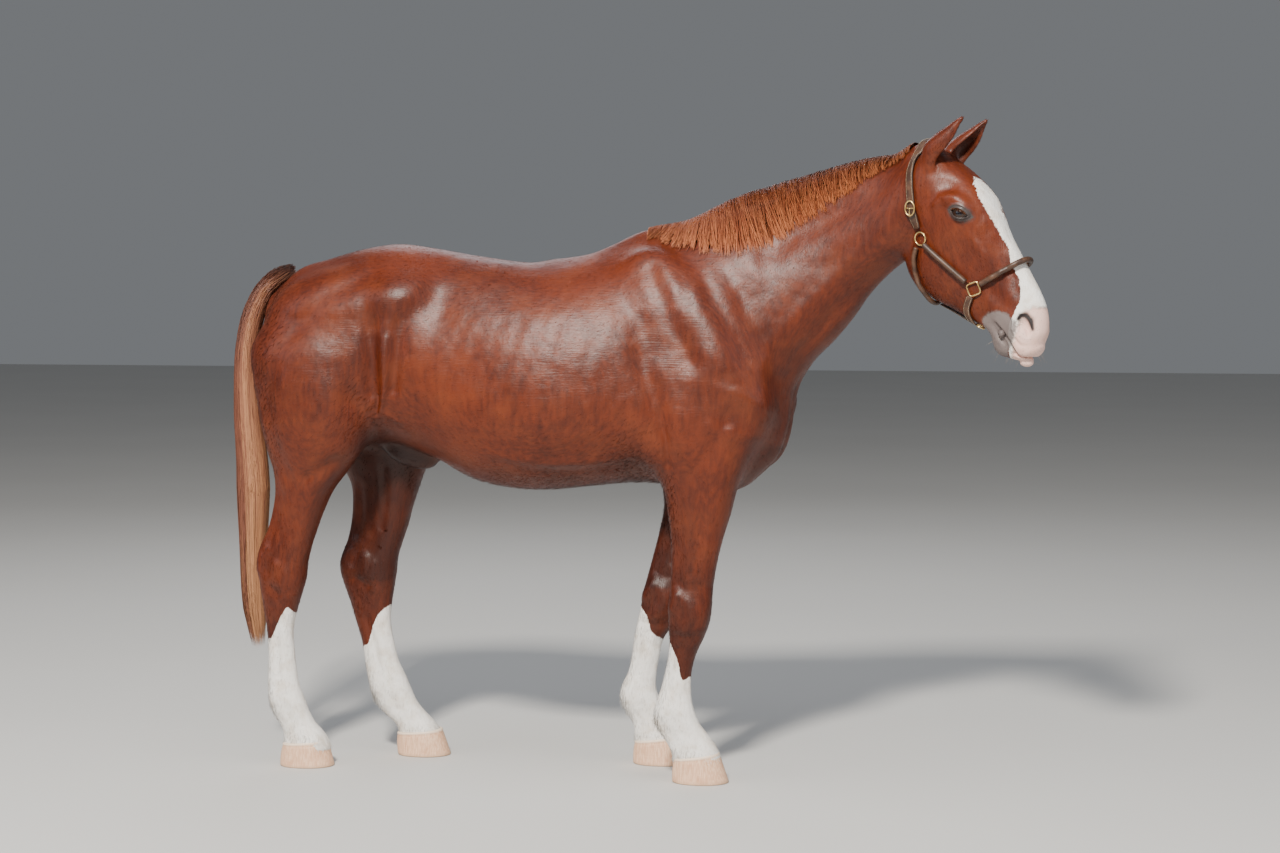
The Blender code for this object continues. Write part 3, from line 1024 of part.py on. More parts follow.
def lid_prism(sign):
    """The opening between the lids, as a prism from inside the eyeball out past the lids."""
    half, roof, floor = LID_OPENING
    inner, outer = 0.010, 0.050
    a = np.linspace(0, 2 * np.pi, 13)[:-1]
    u, v = half * np.cos(a), np.where(np.sin(a) > 0, roof, floor) * np.sin(a)
    outline = EYE * [1, 0, 1] + u[:, None] * EYE_LONG + v[:, None] * EYE_UP
    return ring_solid([place(outline + [0, sign * (EYE[1] + y), 0]) for y in (inner, outer)])

for sign in (-1, 1):
    subtract(flesh, solid("tool", *lid_prism(sign)))
    subtract(flesh, solid("tool", *ball(place(EYE * [1, sign, 1]), EYE_R + EYE_ROOM, 16, 10)))

# ---------- flesh: parted by thin cuts ----------
def slab(centre, normal, half_long, half_side):
    """A thin box across the straight horse: normal across the cut, its side along y."""
    n, side = unit(normal), np.array([0.0, 1.0, 0.0])
    side = unit(side - n * (side @ n))
    centre, e = np.asarray(centre, float), 0.001
    n, side = (unit(place(centre + e * v) - place(centre - e * v)) for v in (n, side))
    side = unit(side - n * (side @ n))
    long = np.cross(n, side)
    corners = [place(centre) + a * n * CUT / 2 + b * side * half_side + c * long * half_long
               for a in (-1, 1) for b, c in ((-1, -1), (1, -1), (1, 1), (-1, 1))]
    return ring_solid([corners[:4], corners[4:]])

def leg_centre(loft, z):
    """The middle of a leg at a height, and half its depth there."""
    c = loft.section(np.array([z]))
    return np.array([(c["hi"] + c["lo"])[0] / 2, c["side"][0], z]), (c["hi"] - c["lo"])[0] / 2

LEGS = [("fore", "right", fore_near), ("fore", "left", fore_far), ("hind", "right", hind_near),
        ("hind", "left", hind_far)]
slabs = [slab((0.355, 0, 1.430), (0.854, 0, 0.520), 0.400, 0.300),
         slab((0.840, 0, 1.690), (0.948, 0, -0.320), 0.250, 0.170)]
slabs += [slab(cone.o + cone.a * EAR_CUT, cone.a, 0.060, 0.056) for cone in ears]
slabs.append(slab((0.175, 0, LEG_CUTS["fore"][0]), (0, 0, 1), 0.200, 0.300))
for kind, side, loft in LEGS:
    for z in LEG_CUTS[kind][(kind == "fore"):]:
        centre, half = leg_centre(loft, z)
        slabs.append(slab(centre, (0, 0, 1), half + 0.035, 0.105))
    (front_x, front_z), (back_x, back_z) = CORONETS[kind, side]
    centre = np.array([(front_x + back_x) / 2, leg_centre(loft, 0.08)[0][1], (front_z + back_z) / 2])
    slabs.append(slab(centre, (back_z - front_z, 0, front_x - back_x), 0.110, 0.085))
V, F = [], []
for corners, faces in slabs:
    F += [tuple(i + len(V) for i in f) for f in faces]
    V += list(corners)
subtract(flesh, solid("cutter", V, F))
parts = loose_parts(flesh)
drop(flesh)

def name_of(V):
    """The name of a piece of flesh from where it lies, or None for what hooves and ears replace."""
    x, y, z = (V.min(0) + V.max(0)) / 2 - SHIFT
    if V[:, 0].max() - V[:, 0].min() > 1.2:
        return "trunk"
    if z > 1.2 and x < 0.75:
        return "neck"
    if z > 1.3:
        return "head" if z < 1.82 else None
    kind, side = "fore" if x > -0.3 else "hind", "right" if y < 0 else "left"
    if z > LEG_CUTS[kind][1]:
        return {"fore": "forearm_", "hind": "gaskin_"}[kind] + side
    if z > LEG_CUTS[kind][2]:
        return "cannon_" + kind + "_" + side
    return "pastern_" + kind + "_" + side if z > 0.105 else None

for V, F in parts:
    name = name_of(V)
    if name and volume_of(V, F) > LEAST_VOLUME:
        solid(name, V, F, WHITE if name.startswith(("cannon", "pastern")) else CHESTNUT)

# ---------- eyes, ears, hooves ----------
def scooped_ear(cone):
    """The ear above its cut: the cone's rings, each with its front pressed in."""
    turn = np.linspace(-np.pi, np.pi, 15)[:-1]
    start = EAR_CUT + CUT
    rings = []
    for t in (0.0, 0.12, 0.3, 0.5, 0.7, 0.88, 1.0):
        s = start + t * (EAR_TOP - start)
        c = cone.section(np.array([s]))
        half, middle, w = (c["hi"] - c["lo"])[0] / 2, (c["hi"] + c["lo"])[0] / 2, c["w"][0]
        hollow = 1 - EAR_HOLLOW * np.sin(np.pi * min(1, t * 1.05)) ** 0.6 * np.exp(-(turn / 0.62) ** 2)
        u, v = middle + half * np.cos(turn) * hollow, w * np.sin(turn) * hollow
        rings.append(cone.o + cone.a * s + u[:, None] * cone.b + v[:, None] * cone.n)
    return rings

def hoof(kind, side, loft):
    """Three rings from the floor to the coronet."""
    (front_x, front_z), (back_x, back_z) = CORONETS[kind, side]
    toe, heel = HOOF_FLOOR[kind, side]
    y = leg_centre(loft, 0.08)[0][1]
    a = np.linspace(0, 2 * np.pi, 16, endpoint=False)
    ca, sa = np.cos(a), np.sin(a)
    rings = []
    for t in np.linspace(0, 1, 3):
        front, back = toe + (front_x - toe) * t, heel + (back_x - heel) * t
        middle, half = (front + back) / 2, HOOF_HALF_FLOOR + (HOOF_HALF_TOP - HOOF_HALF_FLOOR) * t
        x = middle + np.where(ca > 0, (front - middle) * ca,
                              (middle - back) * np.sign(ca) * np.abs(ca) ** 0.8)
        z = t * (back_z + (front_z - back_z) * (x - back_x) / (front_x - back_x) - CUT * 0.8)
        rings.append(np.stack([x, y + half * np.sign(sa) * np.abs(sa) ** 0.92, z], 1))
    return rings

for side, sign, cone in (("right", -1, ears[0]), ("left", 1, ears[1])):
    solid("eye_" + side, *ball(place(EYE * [1, sign, 1]), EYE_R, 14, 8), DARK, 0.1)
    V, F = ring_solid(scooped_ear(cone))
    solid("ear_" + side, place(V), F)
for kind, side, loft in LEGS:
    V, F = ring_solid(hoof(kind, side, loft))
    solid("hoof_" + kind + "_" + side, V + SHIFT, F, HORN, 0.4)

# ---------- tail ----------
spine = along(TAIL_LINE, 16)
way = level_lengths(np.gradient(spine, axis=0))
s = np.linspace(0, 1, len(spine))
deep, wide = smooth_curve(s, TAIL_STEPS, TAIL_DEPTH), smooth_curve(s, TAIL_STEPS, TAIL_WIDTH)
a = np.linspace(0, 2 * np.pi, 12, endpoint=False)[:, None]
rings = [c + deep[i] * np.cos(a) * np.array([-way[i][2], 0, way[i][0]]) + wide[i] * np.sin(a)
         * np.array([0, 1, 0])
         for i, c in enumerate(spine)]
V, F = ring_solid(rings)
tail = solid("tail", V + SHIFT, F)
for name in ("trunk", "gaskin_right", "gaskin_left"):
    mesh = bpy.data.objects[name].data
    swollen = [v.co + ROOM * v.normal for v in mesh.vertices]
    subtract(tail, solid("tool", swollen, [tuple(p.vertices) for p in mesh.polygons]))
V, F = loose_parts(tail)[0]
drop(tail)
solid("tail", V, F, (0.45, 0.24, 0.12), 0.6)

# ---------- mane: over the crest and down the right side of the neck ----------
def mane_section(k, core, up, level):
    """Points down the neck's right side at a height over the skin, found by rays from the core."""
    u = np.array([k / (MANE_STATIONS - 1)])
    a = np.radians(np.linspace(-12, 75, 30))[:, None]
    rays = np.cos(a) * up - np.sin(a) * np.array([0, 1, 0])
    low, high = np.full(len(a), 0.02), np.full(len(a), 0.40)
    for _ in range(22):
        middle = (low + high) / 2
        out = field(core + middle[:, None] * rays) > level
        low, high = np.where(out, low, middle), np.where(out, middle, high)
    p = core + low[:, None] * rays
    arc = np.concatenate([[0], np.cumsum(np.linalg.norm(np.diff(p, axis=0), axis=1))])
    at = np.linspace(0.0, smooth_curve(u, *MANE_REACH)[0], MANE_STEPS)
    return np.stack([np.interp(at, arc, p[:, d]) for d in range(3)], 1)

rings = []
for k, core in enumerate(along(MANE_CORE, MANE_STATIONS)):
    lean = -0.53 * np.clip((core[0] - 0.10) / 0.35, 0, 1)
    up = np.array([lean, 0, np.sqrt(1 - lean**2)])
    thick = smooth_curve(np.array([k / (MANE_STATIONS - 1)]), *MANE_THICK)[0]
    inner, outer = mane_section(k, core, up, HAIR_GAP), mane_section(k, core, up, HAIR_GAP + thick)
    outer[[0, -1]] = inner[[0, -1]] + 0.45 * (outer[[0, -1]] - inner[[0, -1]])
    rings.append(np.concatenate([outer, inner[::-1]]))
V, F = ring_solid(rings)
solid("mane", place(V), F, (0.34, 0.12, 0.05), 0.6)

# ---------- halter ----------
def leather(name, rings):
    """A strap through its rings."""
    V, F = ring_solid(rings)
    solid(name, place(V), F, LEATHER, 0.45)

def metal(name, rings):
    """A ring of wire."""
    V, F = ring_solid(rings, closed=True)
    solid(name, place(V), F, BRASS, 0.25, 1.0)

def flipped(points, sign):
    """The points on the left side, or their mirror images on the right."""
    return [(x, sign * y, z) for x, y, z in points]

def both_sides(points):
    """A line from the right side over the middle to the left side."""
    return flipped(points, -1) + points[::-1][1:]

leather("halter_crown", strap(both_sides(CROWN), 0.025, 19))
leather("halter_noseband", rod(both_sides(NOSEBAND), ROLLED, 15))
leather("halter_throat", rod(both_sides(THROAT), THROAT_ROLLED, 17))
leather("halter_under_jaw", strap(UNDER_JAW, 0.020, 6))
for side, sign in (("right", -1), ("left", 1)):
    leather("halter_cheek_" + side, rod(flipped(CHEEK, sign), ROLLED, 7))
    leather("halter_chin_" + side, strap(flipped(CHIN, sign), 0.021, 7))
    metal("ring_" + side, wire_ring((0.902, sign * 0.09, 1.604), STRAP_GAP, 0.0185, 0.0026))
    metal("square_" + side, wire_ring((1.066, sign * 0.07, 1.463), STRAP_GAP, 0.0175, 0.0026, turn=0.35,
                                      corners=5.0))
metal("buckle", wire_ring((0.884, -0.09, 1.693), STRAP_GAP + 0.007, 0.0170, 0.0026, (1.22, 0.86)))
metal("chin_ring", wire_ring((1.050, 0.0, 1.345), STRAP_GAP, 0.0130, 0.0024, towards=(1, 0, 0)))
print(len(bpy.data.objects), "pieces,", sum(len(p.vertices) - 2 for o in bpy.data.objects
                                            for p in o.data.polygons), "triangles")
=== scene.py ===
# %% [markdown]
# # A chestnut horse in a leather halter
# This lesson dresses a packed life-size horse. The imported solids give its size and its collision; what is
# made here is what the eye sees: one skin over all the flesh, a short coat, a mane and a tail in locks,
# eyes with lids, hooves with rings of growth, and a halter of stitched leather and brass. Lengths are in
# metres and Z is up.

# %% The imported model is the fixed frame
from concurrent.futures import ThreadPoolExecutor
import bpy
import numpy as np
from mathutils import Euler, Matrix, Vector


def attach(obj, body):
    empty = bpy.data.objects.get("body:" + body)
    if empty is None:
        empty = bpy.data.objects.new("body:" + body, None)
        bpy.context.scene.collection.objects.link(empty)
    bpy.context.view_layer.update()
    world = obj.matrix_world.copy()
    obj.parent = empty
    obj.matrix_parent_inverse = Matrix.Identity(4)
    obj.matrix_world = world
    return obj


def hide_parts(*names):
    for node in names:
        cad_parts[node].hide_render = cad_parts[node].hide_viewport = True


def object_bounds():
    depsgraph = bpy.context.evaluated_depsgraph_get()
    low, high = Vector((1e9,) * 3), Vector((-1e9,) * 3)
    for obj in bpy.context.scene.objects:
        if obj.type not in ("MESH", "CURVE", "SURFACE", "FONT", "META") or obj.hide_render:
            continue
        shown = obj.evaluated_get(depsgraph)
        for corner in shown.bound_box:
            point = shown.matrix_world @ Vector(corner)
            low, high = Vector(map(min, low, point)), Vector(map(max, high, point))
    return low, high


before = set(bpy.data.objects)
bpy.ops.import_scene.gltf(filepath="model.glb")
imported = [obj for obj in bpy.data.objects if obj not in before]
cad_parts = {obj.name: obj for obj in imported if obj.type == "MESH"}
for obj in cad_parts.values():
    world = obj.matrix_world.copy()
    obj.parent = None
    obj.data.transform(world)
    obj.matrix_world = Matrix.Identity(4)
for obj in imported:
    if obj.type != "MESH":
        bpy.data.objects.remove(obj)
cad_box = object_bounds()
print("packed model", len(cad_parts), "nodes, box",
    [round(v, 3) for corner in cad_box for v in corner])

# %% [markdown]
# ## The camera
# It stands nearly square to the horse's right side at eye height, and looks slightly down. A horse is 2.5 m
# long, so a longish lens from 7 m keeps the head and the haunches in proportion.

# %% Camera
SHIFT = np.array([0.034, 0.008, 0.0])      # brings the middle of the outline over the origin
LOOK_YAW, LOOK_DOWN = np.radians(11.0), np.radians(3.70525)
REACH, EYE_LEVEL, LENS = 7.0, 1.5, 65.36
camera = bpy.data.objects.new("camera", bpy.data.cameras.new("camera"))
bpy.context.scene.collection.objects.link(camera)
camera.location = Vector((REACH * np.sin(LOOK_YAW), -REACH * np.cos(LOOK_YAW), EYE_LEVEL)) + Vector(SHIFT)
camera.rotation_euler = Euler((np.pi / 2 - LOOK_DOWN, 0.0, LOOK_YAW))
camera.data.lens, camera.data.sensor_width = LENS, 36.0
bpy.context.scene.camera = camera

# %% [markdown]
# ## Curves and soft joints
# Flesh has no straight lines: every width of a body part is read from a smooth curve through a few named
# sizes. Two forms are joined by a smooth minimum, which leaves a fillet where they meet, as skin does over
# two muscles.

# %% Smooth curves, soft joins
def unit(v):
    """A direction of length one."""
    v = np.asarray(v, float)
    return v / np.linalg.norm(v)

def level_lengths(v):
    """Each row of an array of vectors, at length one."""
    return v / np.maximum(np.linalg.norm(v, axis=-1, keepdims=True), 1e-12)

def smooth_curve(s, knots, values):
    """Values at s on a cubic through the knots; a knot's slope is the mean of its two sides'."""
    knots, values = np.asarray(knots, float), np.asarray(values, float)
    step, rise = np.diff(knots), np.diff(values) / np.diff(knots)
    slopes = np.empty_like(values)
    slopes[0], slopes[-1] = rise[0], rise[-1]
    slopes[1:-1] = (rise[:-1] * step[1:] + rise[1:] * step[:-1]) / (step[1:] + step[:-1])
    s = np.clip(s, knots[0], knots[-1])
    i = np.clip(np.searchsorted(knots, s) - 1, 0, len(step) - 1)
    t = (s - knots[i]) / step[i]
    t2, t3 = t * t, t * t * t
    return ((2 * t3 - 3 * t2 + 1) * values[i] + (t3 - 2 * t2 + t) * step[i] * slopes[i]
        + (3 * t2 - 2 * t3) * values[i + 1] + (t3 - t2) * step[i] * slopes[i + 1])

def ramp(x, low, high):
    """0 below low, 1 above high, and an S between them."""
    t = np.clip((x - low) / (high - low), 0.0, 1.0)
    return t * t * (3 - 2 * t)

def join(a, b, k):
    """The smaller of two distances, rounded over a width k where they are close."""
    h = np.clip(0.5 + 0.5 * (b - a) / k, 0.0, 1.0)
    return b * (1 - h) + a * h - k * h * (1 - h)

def carve(a, b, k):
    """Distance a with the form b taken out of it, rounded over a width k."""
    return -join(-a, b, k)

# %% [markdown]
# ## Forms
# A horse could be sculpted by hand, but a sculpture can't be read or changed. Here it is a distance field:
# each form gives roughly how far a point is outside it. A loft is a bar whose section changes along its
# axis, and it carries the trunk, neck, head and legs. Ellipsoids add muscles. Ridges and swells lift or
# sink the surface a little, for tendons, veins and hollows.

# %% Loft, Ball, Ridge, Swell
class Loft:
    """A bar along an axis. Its section at s is |u/half|^n + |v/width|^n = 1, midway of (low, high)."""
    def __init__(self, origin, along, across, rows, side=0.0, power=2.0, taper=0.0, cap=(0.03, 0.03),
            blend=0.03):
        self.o, self.a = np.asarray(origin, float), unit(along)
        self.b = unit(np.asarray(across, float) - self.a * (np.asarray(across, float) @ self.a))
        self.n = np.cross(self.a, self.b)
        self.n = -self.n if self.n[1] < 0 else self.n
        self.rows = np.array(rows, float)
        self.s = self.rows[:, 0]
        self.side, self.power, self.taper, self.cap, self.blend = side, power, taper, cap, blend
        stations = np.concatenate([[self.s[0] - cap[0], self.s[-1] + cap[1]], self.s])
        c = self.section(stations)
        corners = [self.o + stations[:, None] * self.a + u[:, None] * self.b
            + (c["side"] + e * c["w"])[:, None] * self.n for u in (c["hi"], c["lo"]) for e in (-1.6, 1.6)]
        self.lo = np.min(corners, axis=(0, 1)) - blend - 0.02
        self.hi = np.max(corners, axis=(0, 1)) + blend + 0.02

    def section(self, s):
        """High and low edge, half width, side offset, power and taper at s."""
        value = lambda v: smooth_curve(s, self.s, v) if np.ndim(v) else np.full(np.shape(s), float(v))
        return dict(hi=value(self.rows[:, 1]), lo=value(self.rows[:, 2]), w=value(self.rows[:, 3]),
            side=value(self.side), power=value(self.power), taper=value(self.taper))

    def __call__(self, P):
        q = P - self.o
        s, u, v = q @ self.a, q @ self.b, q @ self.n
        c = self.section(s)
        half = (c["hi"] - c["lo"]) / 2
        uu = (u - (c["hi"] + c["lo"]) / 2) / half
        w = c["w"] * (1 + c["taper"] * np.clip(uu, -1.15, 1.15))
        n = c["power"]
        au, av = np.abs(uu) + 1e-9, np.abs((v - c["side"]) / w) + 1e-9
        r = (au**n + av**n) ** (1 / n)
        g = np.sqrt(((au / r) ** (n - 1) / half) ** 2 + ((av / r) ** (n - 1) / w) ** 2)
        cap = np.where(s < self.s[0], self.cap[0], self.cap[1])
        e = np.maximum(np.maximum(self.s[0] - s, s - self.s[-1]), 0) / cap
        rr = np.sqrt(r * r + e * e)
        return (rr - 1) / np.maximum(np.sqrt((g * r / rr) ** 2 + (e / rr / cap) ** 2), 1e-6)

def turned(long, up):
    """The rows of a rotation whose first axis is long and whose third is near up."""
    a = unit(long)
    n = unit(np.cross(up, a))
    return np.array([a, n, np.cross(a, n)])

class Ball:
    """An ellipsoid with the radii (long, side, up)."""
    def __init__(self, centre, radii, long=(1, 0, 0), up=(0, 0, 1), blend=0.03):
        self.c, self.r, self.m, self.blend = np.asarray(centre, float), np.asarray(radii,
            float), turned(long, up), blend
        reach = np.sqrt(((self.m.T * self.r) ** 2).sum(1)) + blend + 0.01
        self.lo, self.hi = self.c - reach, self.c + reach

    def __call__(self, P):
        q = (P - self.c) @ self.m.T
        k1, k2 = np.linalg.norm(q / self.r, axis=1), np.linalg.norm(q / self.r**2, axis=1)
        return k1 * (k1 - 1) / np.maximum(k2, 1e-9)

class Ridge:
    """A raised or sunk line: height * exp(-(distance / width)^2) about a broken line. Distance sideways
    counts flat times, so that a line drawn on the horse's side takes hold wherever the skin lies."""
    def __init__(self, points, height, width, flat=1.0):
        points = np.asarray(points, float)
        self.scale = np.array([1.0, flat, 1.0])
        self.p = points * self.scale
        self.h = np.broadcast_to(np.asarray(height, float), (len(self.p),))
        self.w = np.broadcast_to(np.asarray(width, float), (len(self.p),))
        reach = 2.6 * self.w.max() / self.scale
        self.lo, self.hi = points.min(0) - reach, points.max(0) + reach

    def __call__(self, P):
        P = P * self.scale
        best, h, w = np.full(len(P), 9.0), np.zeros(len(P)), np.ones(len(P))
        for i in range(len(self.p) - 1):
            step = self.p[i + 1] - self.p[i]
            t = np.clip(((P - self.p[i]) @ step) / (step @ step), 0, 1)
            d = np.linalg.norm(P - self.p[i] - t[:, None] * step, axis=1)
            near = d < best
            best = np.where(near, d, best)
            h = np.where(near, self.h[i] + t * (self.h[i + 1] - self.h[i]), h)
            w = np.where(near, self.w[i] + t * (self.w[i + 1] - self.w[i]), w)
        return h * np.exp(-((best / w) ** 2))

class Swell:
    """A soft bulge or hollow: height * exp(-|q / radii|^2)."""
    def __init__(self, centre, radii, height, long=(1, 0, 0), up=(0, 0, 1)):
        self.c, self.r, self.h, self.m = np.asarray(centre, float), np.asarray(radii,
            float), height, turned(long, up)
        reach = 2.4 * np.sqrt(((self.m.T * self.r) ** 2).sum(1))
        self.lo, self.hi = self.c - reach, self.c + reach

    def __call__(self, P):
        q = (P - self.c) @ self.m.T / self.r
        return self.h * np.exp(-(q * q).sum(1))

def side_pair(form, first, *rest, **named):
    """The same form on the right (-y) and on the left (+y)."""
    made = []
    for sign in (-1, 1):
        flip = np.array([1, sign, 1])
        swapped = {k: (np.asarray(v, float) * flip if k in ("long", "up") else v) for k, v in named.items()}
        made.append(form(np.asarray(first, float) * flip, *rest, **swapped))
    return made

SIDE_FLAT = 0.25        # how much a line drawn on the side counts distance sideways

# %% [markdown]
# ## The body's sizes
# Each loft's table reads like a fitter's notes: at this station, how high, how low and how wide. The trunk
# is deepest at the girth and shallowest at the flank, and the withers are a narrow ridge over it.

# %% Trunk, withers, neck
X, Z = (1, 0, 0), (0, 0, 1)
barrel = Loft((0, 0, 0), X, Z, [
    # x, top, bottom, half width
    (-1.13, 1.490, 1.180, 0.110),
    (-1.06, 1.528, 1.060, 0.165),
    (-0.97, 1.553, 1.000, 0.205),
    (-0.86, 1.583, 0.985, 0.235),
    (-0.75, 1.598, 0.985, 0.255),
    (-0.63, 1.584, 0.945, 0.260),
    (-0.50, 1.562, 0.882, 0.272),
    (-0.38, 1.545, 0.857, 0.288),
    (-0.26, 1.537, 0.855, 0.292),
    (-0.14, 1.545, 0.868, 0.282),
    (-0.02, 1.560, 0.879, 0.262),
    ( 0.10, 1.555, 0.876, 0.232),
    ( 0.22, 1.520, 0.870, 0.198),
    ( 0.32, 1.440, 0.900, 0.160),
    ( 0.39, 1.340, 0.960, 0.120)],
    power=[2.1, 2.1, 2.2, 2.2, 2.2, 2.2, 2.3, 2.3, 2.3, 2.3, 2.2, 2.2, 2.2, 2.1, 2.0],
    taper=[0.0, 0.0, 0.0, -0.02, -0.04, -0.08, -0.12, -0.14, -0.15, -0.16, -0.16, -0.15, -0.1, 0.0, 0.0],
    cap=(0.05, 0.06), blend=0.05)
withers = Loft((0, 0, 0), X, Z, [
    (-0.24, 1.530, 1.36, 0.100),
    (-0.15, 1.552, 1.36, 0.110),
    (-0.08, 1.590, 1.35, 0.115),
    ( 0.00, 1.632, 1.34, 0.120),
    ( 0.08, 1.648, 1.33, 0.125),
    ( 0.16, 1.655, 1.32, 0.128),
    ( 0.26, 1.680, 1.34, 0.120),
    ( 0.34, 1.705, 1.40, 0.105)],
    power=2.0, taper=-0.5, cap=(0.06, 0.1), blend=0.08)

NECK_O, NECK_A, NECK_B = (0.34, 0, 1.4), (0.848, 0, 0.53), (-0.53, 0, 0.848)
neck = Loft(NECK_O, NECK_A, NECK_B, [
    (-0.10, 0.280, -0.300, 0.165),
    ( 0.00, 0.293, -0.262, 0.160),
    ( 0.08, 0.293, -0.228, 0.142),
    ( 0.16, 0.283, -0.210, 0.124),
    ( 0.24, 0.266, -0.186, 0.110),
    ( 0.32, 0.243, -0.157, 0.099),
    ( 0.42, 0.212, -0.136, 0.090),
    ( 0.52, 0.178, -0.130, 0.086),
    ( 0.60, 0.141, -0.130, 0.083),
    ( 0.67, 0.098, -0.120, 0.072)],
    power=2.05, taper=[-0.25, -0.3, -0.36, -0.38, -0.36, -0.33, -0.28, -0.22, -0.15, -0.1],
    cap=(0.06, 0.04), blend=0.06)

# %% [markdown]
# ## The head's sizes
# The skull is one loft from poll to upper lip and the jaw another under it. The eye sits on the widest
# part, a third of the way down.

# %% Skull and jaw
HEAD_O = np.array([0.93, 0, 1.86])
HEAD_A, HEAD_B = unit((0.43, 0, -0.903)), unit((0.903, 0, 0.43))
skull = Loft(HEAD_O, HEAD_A, HEAD_B, [
    (-0.01, -0.002, -0.130, 0.055),
    ( 0.04, 0.027, -0.170, 0.072),
    ( 0.09, 0.054, -0.180, 0.083),
    ( 0.14, 0.074, -0.165, 0.090),
    ( 0.19, 0.088, -0.145, 0.091),
    ( 0.24, 0.091, -0.130, 0.083),
    ( 0.30, 0.090, -0.115, 0.068),
    ( 0.37, 0.096, -0.100, 0.056),
    ( 0.44, 0.103, -0.085, 0.0495),
    ( 0.50, 0.108, -0.065, 0.048),
    ( 0.55, 0.105, -0.050, 0.050),
    ( 0.59, 0.092, -0.042, 0.050),
    ( 0.62, 0.073, -0.035, 0.045),
    ( 0.637, 0.052, -0.028, 0.036)],
    power=[2.0, 2.2, 2.4, 2.6, 2.7, 2.7, 2.7, 2.7, 2.6, 2.5, 2.3, 2.1, 2.0, 2.0],
    taper=[0, 0, 0.0, 0.0, 0.02, 0.0, -0.06, -0.14, -0.2, -0.2, -0.12, -0.05, 0, 0],
    cap=(0.038, 0.012), blend=0.035)
jaw = Loft(HEAD_O, HEAD_A, HEAD_B, [
    (0.12, -0.03, -0.150, 0.052),
    (0.17, -0.02, -0.195, 0.062),
    (0.22, -0.02, -0.226, 0.068),
    (0.28, -0.02, -0.238, 0.070),
    (0.33, -0.03, -0.228, 0.066),
    (0.38, -0.035, -0.196, 0.058),
    (0.43, -0.04, -0.155, 0.048),
    (0.48, -0.04, -0.118, 0.039),
    (0.53, -0.035, -0.082, 0.033),
    (0.575, -0.030, -0.077, 0.034),
    (0.605, -0.028, -0.069, 0.031),
    (0.625, -0.025, -0.054, 0.024)],
    power=[2.2, 2.4, 2.6, 2.6, 2.6, 2.5, 2.4, 2.3, 2.2, 2.1, 2.0, 2.0],
    taper=[0.1, 0.12, 0.15, 0.16, 0.16, 0.15, 0.15, 0.1, 0.0, 0, 0, 0], cap=(0.06, 0.01), blend=0.02)

# %% [markdown]
# ## The legs' sizes
# Both legs of a pair have the same bones, but the far fore and far hind stand further under the body, so
# each leg has its own table: height, front, back, sideways place, half width, squareness and taper.

# %% Legs
def leg(rows, mirror, **k):
    """A leg from rows of height, front x, back x, side centre, half width, power and taper."""
    r = np.array(rows, float)
    r = r[np.argsort(r[:, 0])]
    return Loft((0, 0, 0), Z, X, r[:, [0, 1, 2, 4]], side=r[:, 3] * mirror, power=r[:, 5], taper=r[:, 6],
        **k)

fore_near = leg([
    # height, front, back, side, half width, power, taper
    (1.18, 0.395, 0.00, 0.140, 0.080, 2.2, 0.0),
    (1.08, 0.395, 0.03, 0.148, 0.086, 2.2, 0.0),
    (1.00, 0.370, 0.05, 0.148, 0.084, 2.2, 0.0),
    (0.93, 0.343, 0.078, 0.144, 0.079, 2.2, 0.05),
    (0.87, 0.320, 0.100, 0.141, 0.073, 2.2, 0.05),
    (0.80, 0.300, 0.111, 0.139, 0.065, 2.2, 0.05),
    (0.72, 0.275, 0.119, 0.137, 0.057, 2.2, 0.05),
    (0.64, 0.256, 0.120, 0.135, 0.050, 2.2, 0.05),
    (0.57, 0.246, 0.117, 0.134, 0.048, 2.4, 0.05),
    (0.52, 0.242, 0.114, 0.134, 0.051, 2.8, 0.06),
    (0.475, 0.235, 0.113, 0.134, 0.051, 2.8, 0.06),
    (0.43, 0.219, 0.115, 0.133, 0.044, 2.5, 0.04),
    (0.385, 0.198, 0.113, 0.132, 0.035, 2.3, -0.02),
    (0.335, 0.184, 0.104, 0.131, 0.030, 2.3, -0.05),
    (0.28, 0.180, 0.090, 0.131, 0.0295, 2.3, -0.05),
    (0.235, 0.184, 0.075, 0.131, 0.035, 2.3, 0.0),
    (0.20, 0.194, 0.067, 0.131, 0.040, 2.3, 0.0),
    (0.17, 0.208, 0.071, 0.131, 0.039, 2.2, 0.0),
    (0.14, 0.232, 0.088, 0.131, 0.036, 2.2, 0.05),
    (0.11, 0.254, 0.108, 0.131, 0.040, 2.2, 0.1),
    (0.085, 0.266, 0.121, 0.131, 0.048, 2.2, 0.1),
    (0.06, 0.273, 0.124, 0.131, 0.052, 2.2, 0.1)], -1, cap=(0.02, 0.13), blend=0.05)
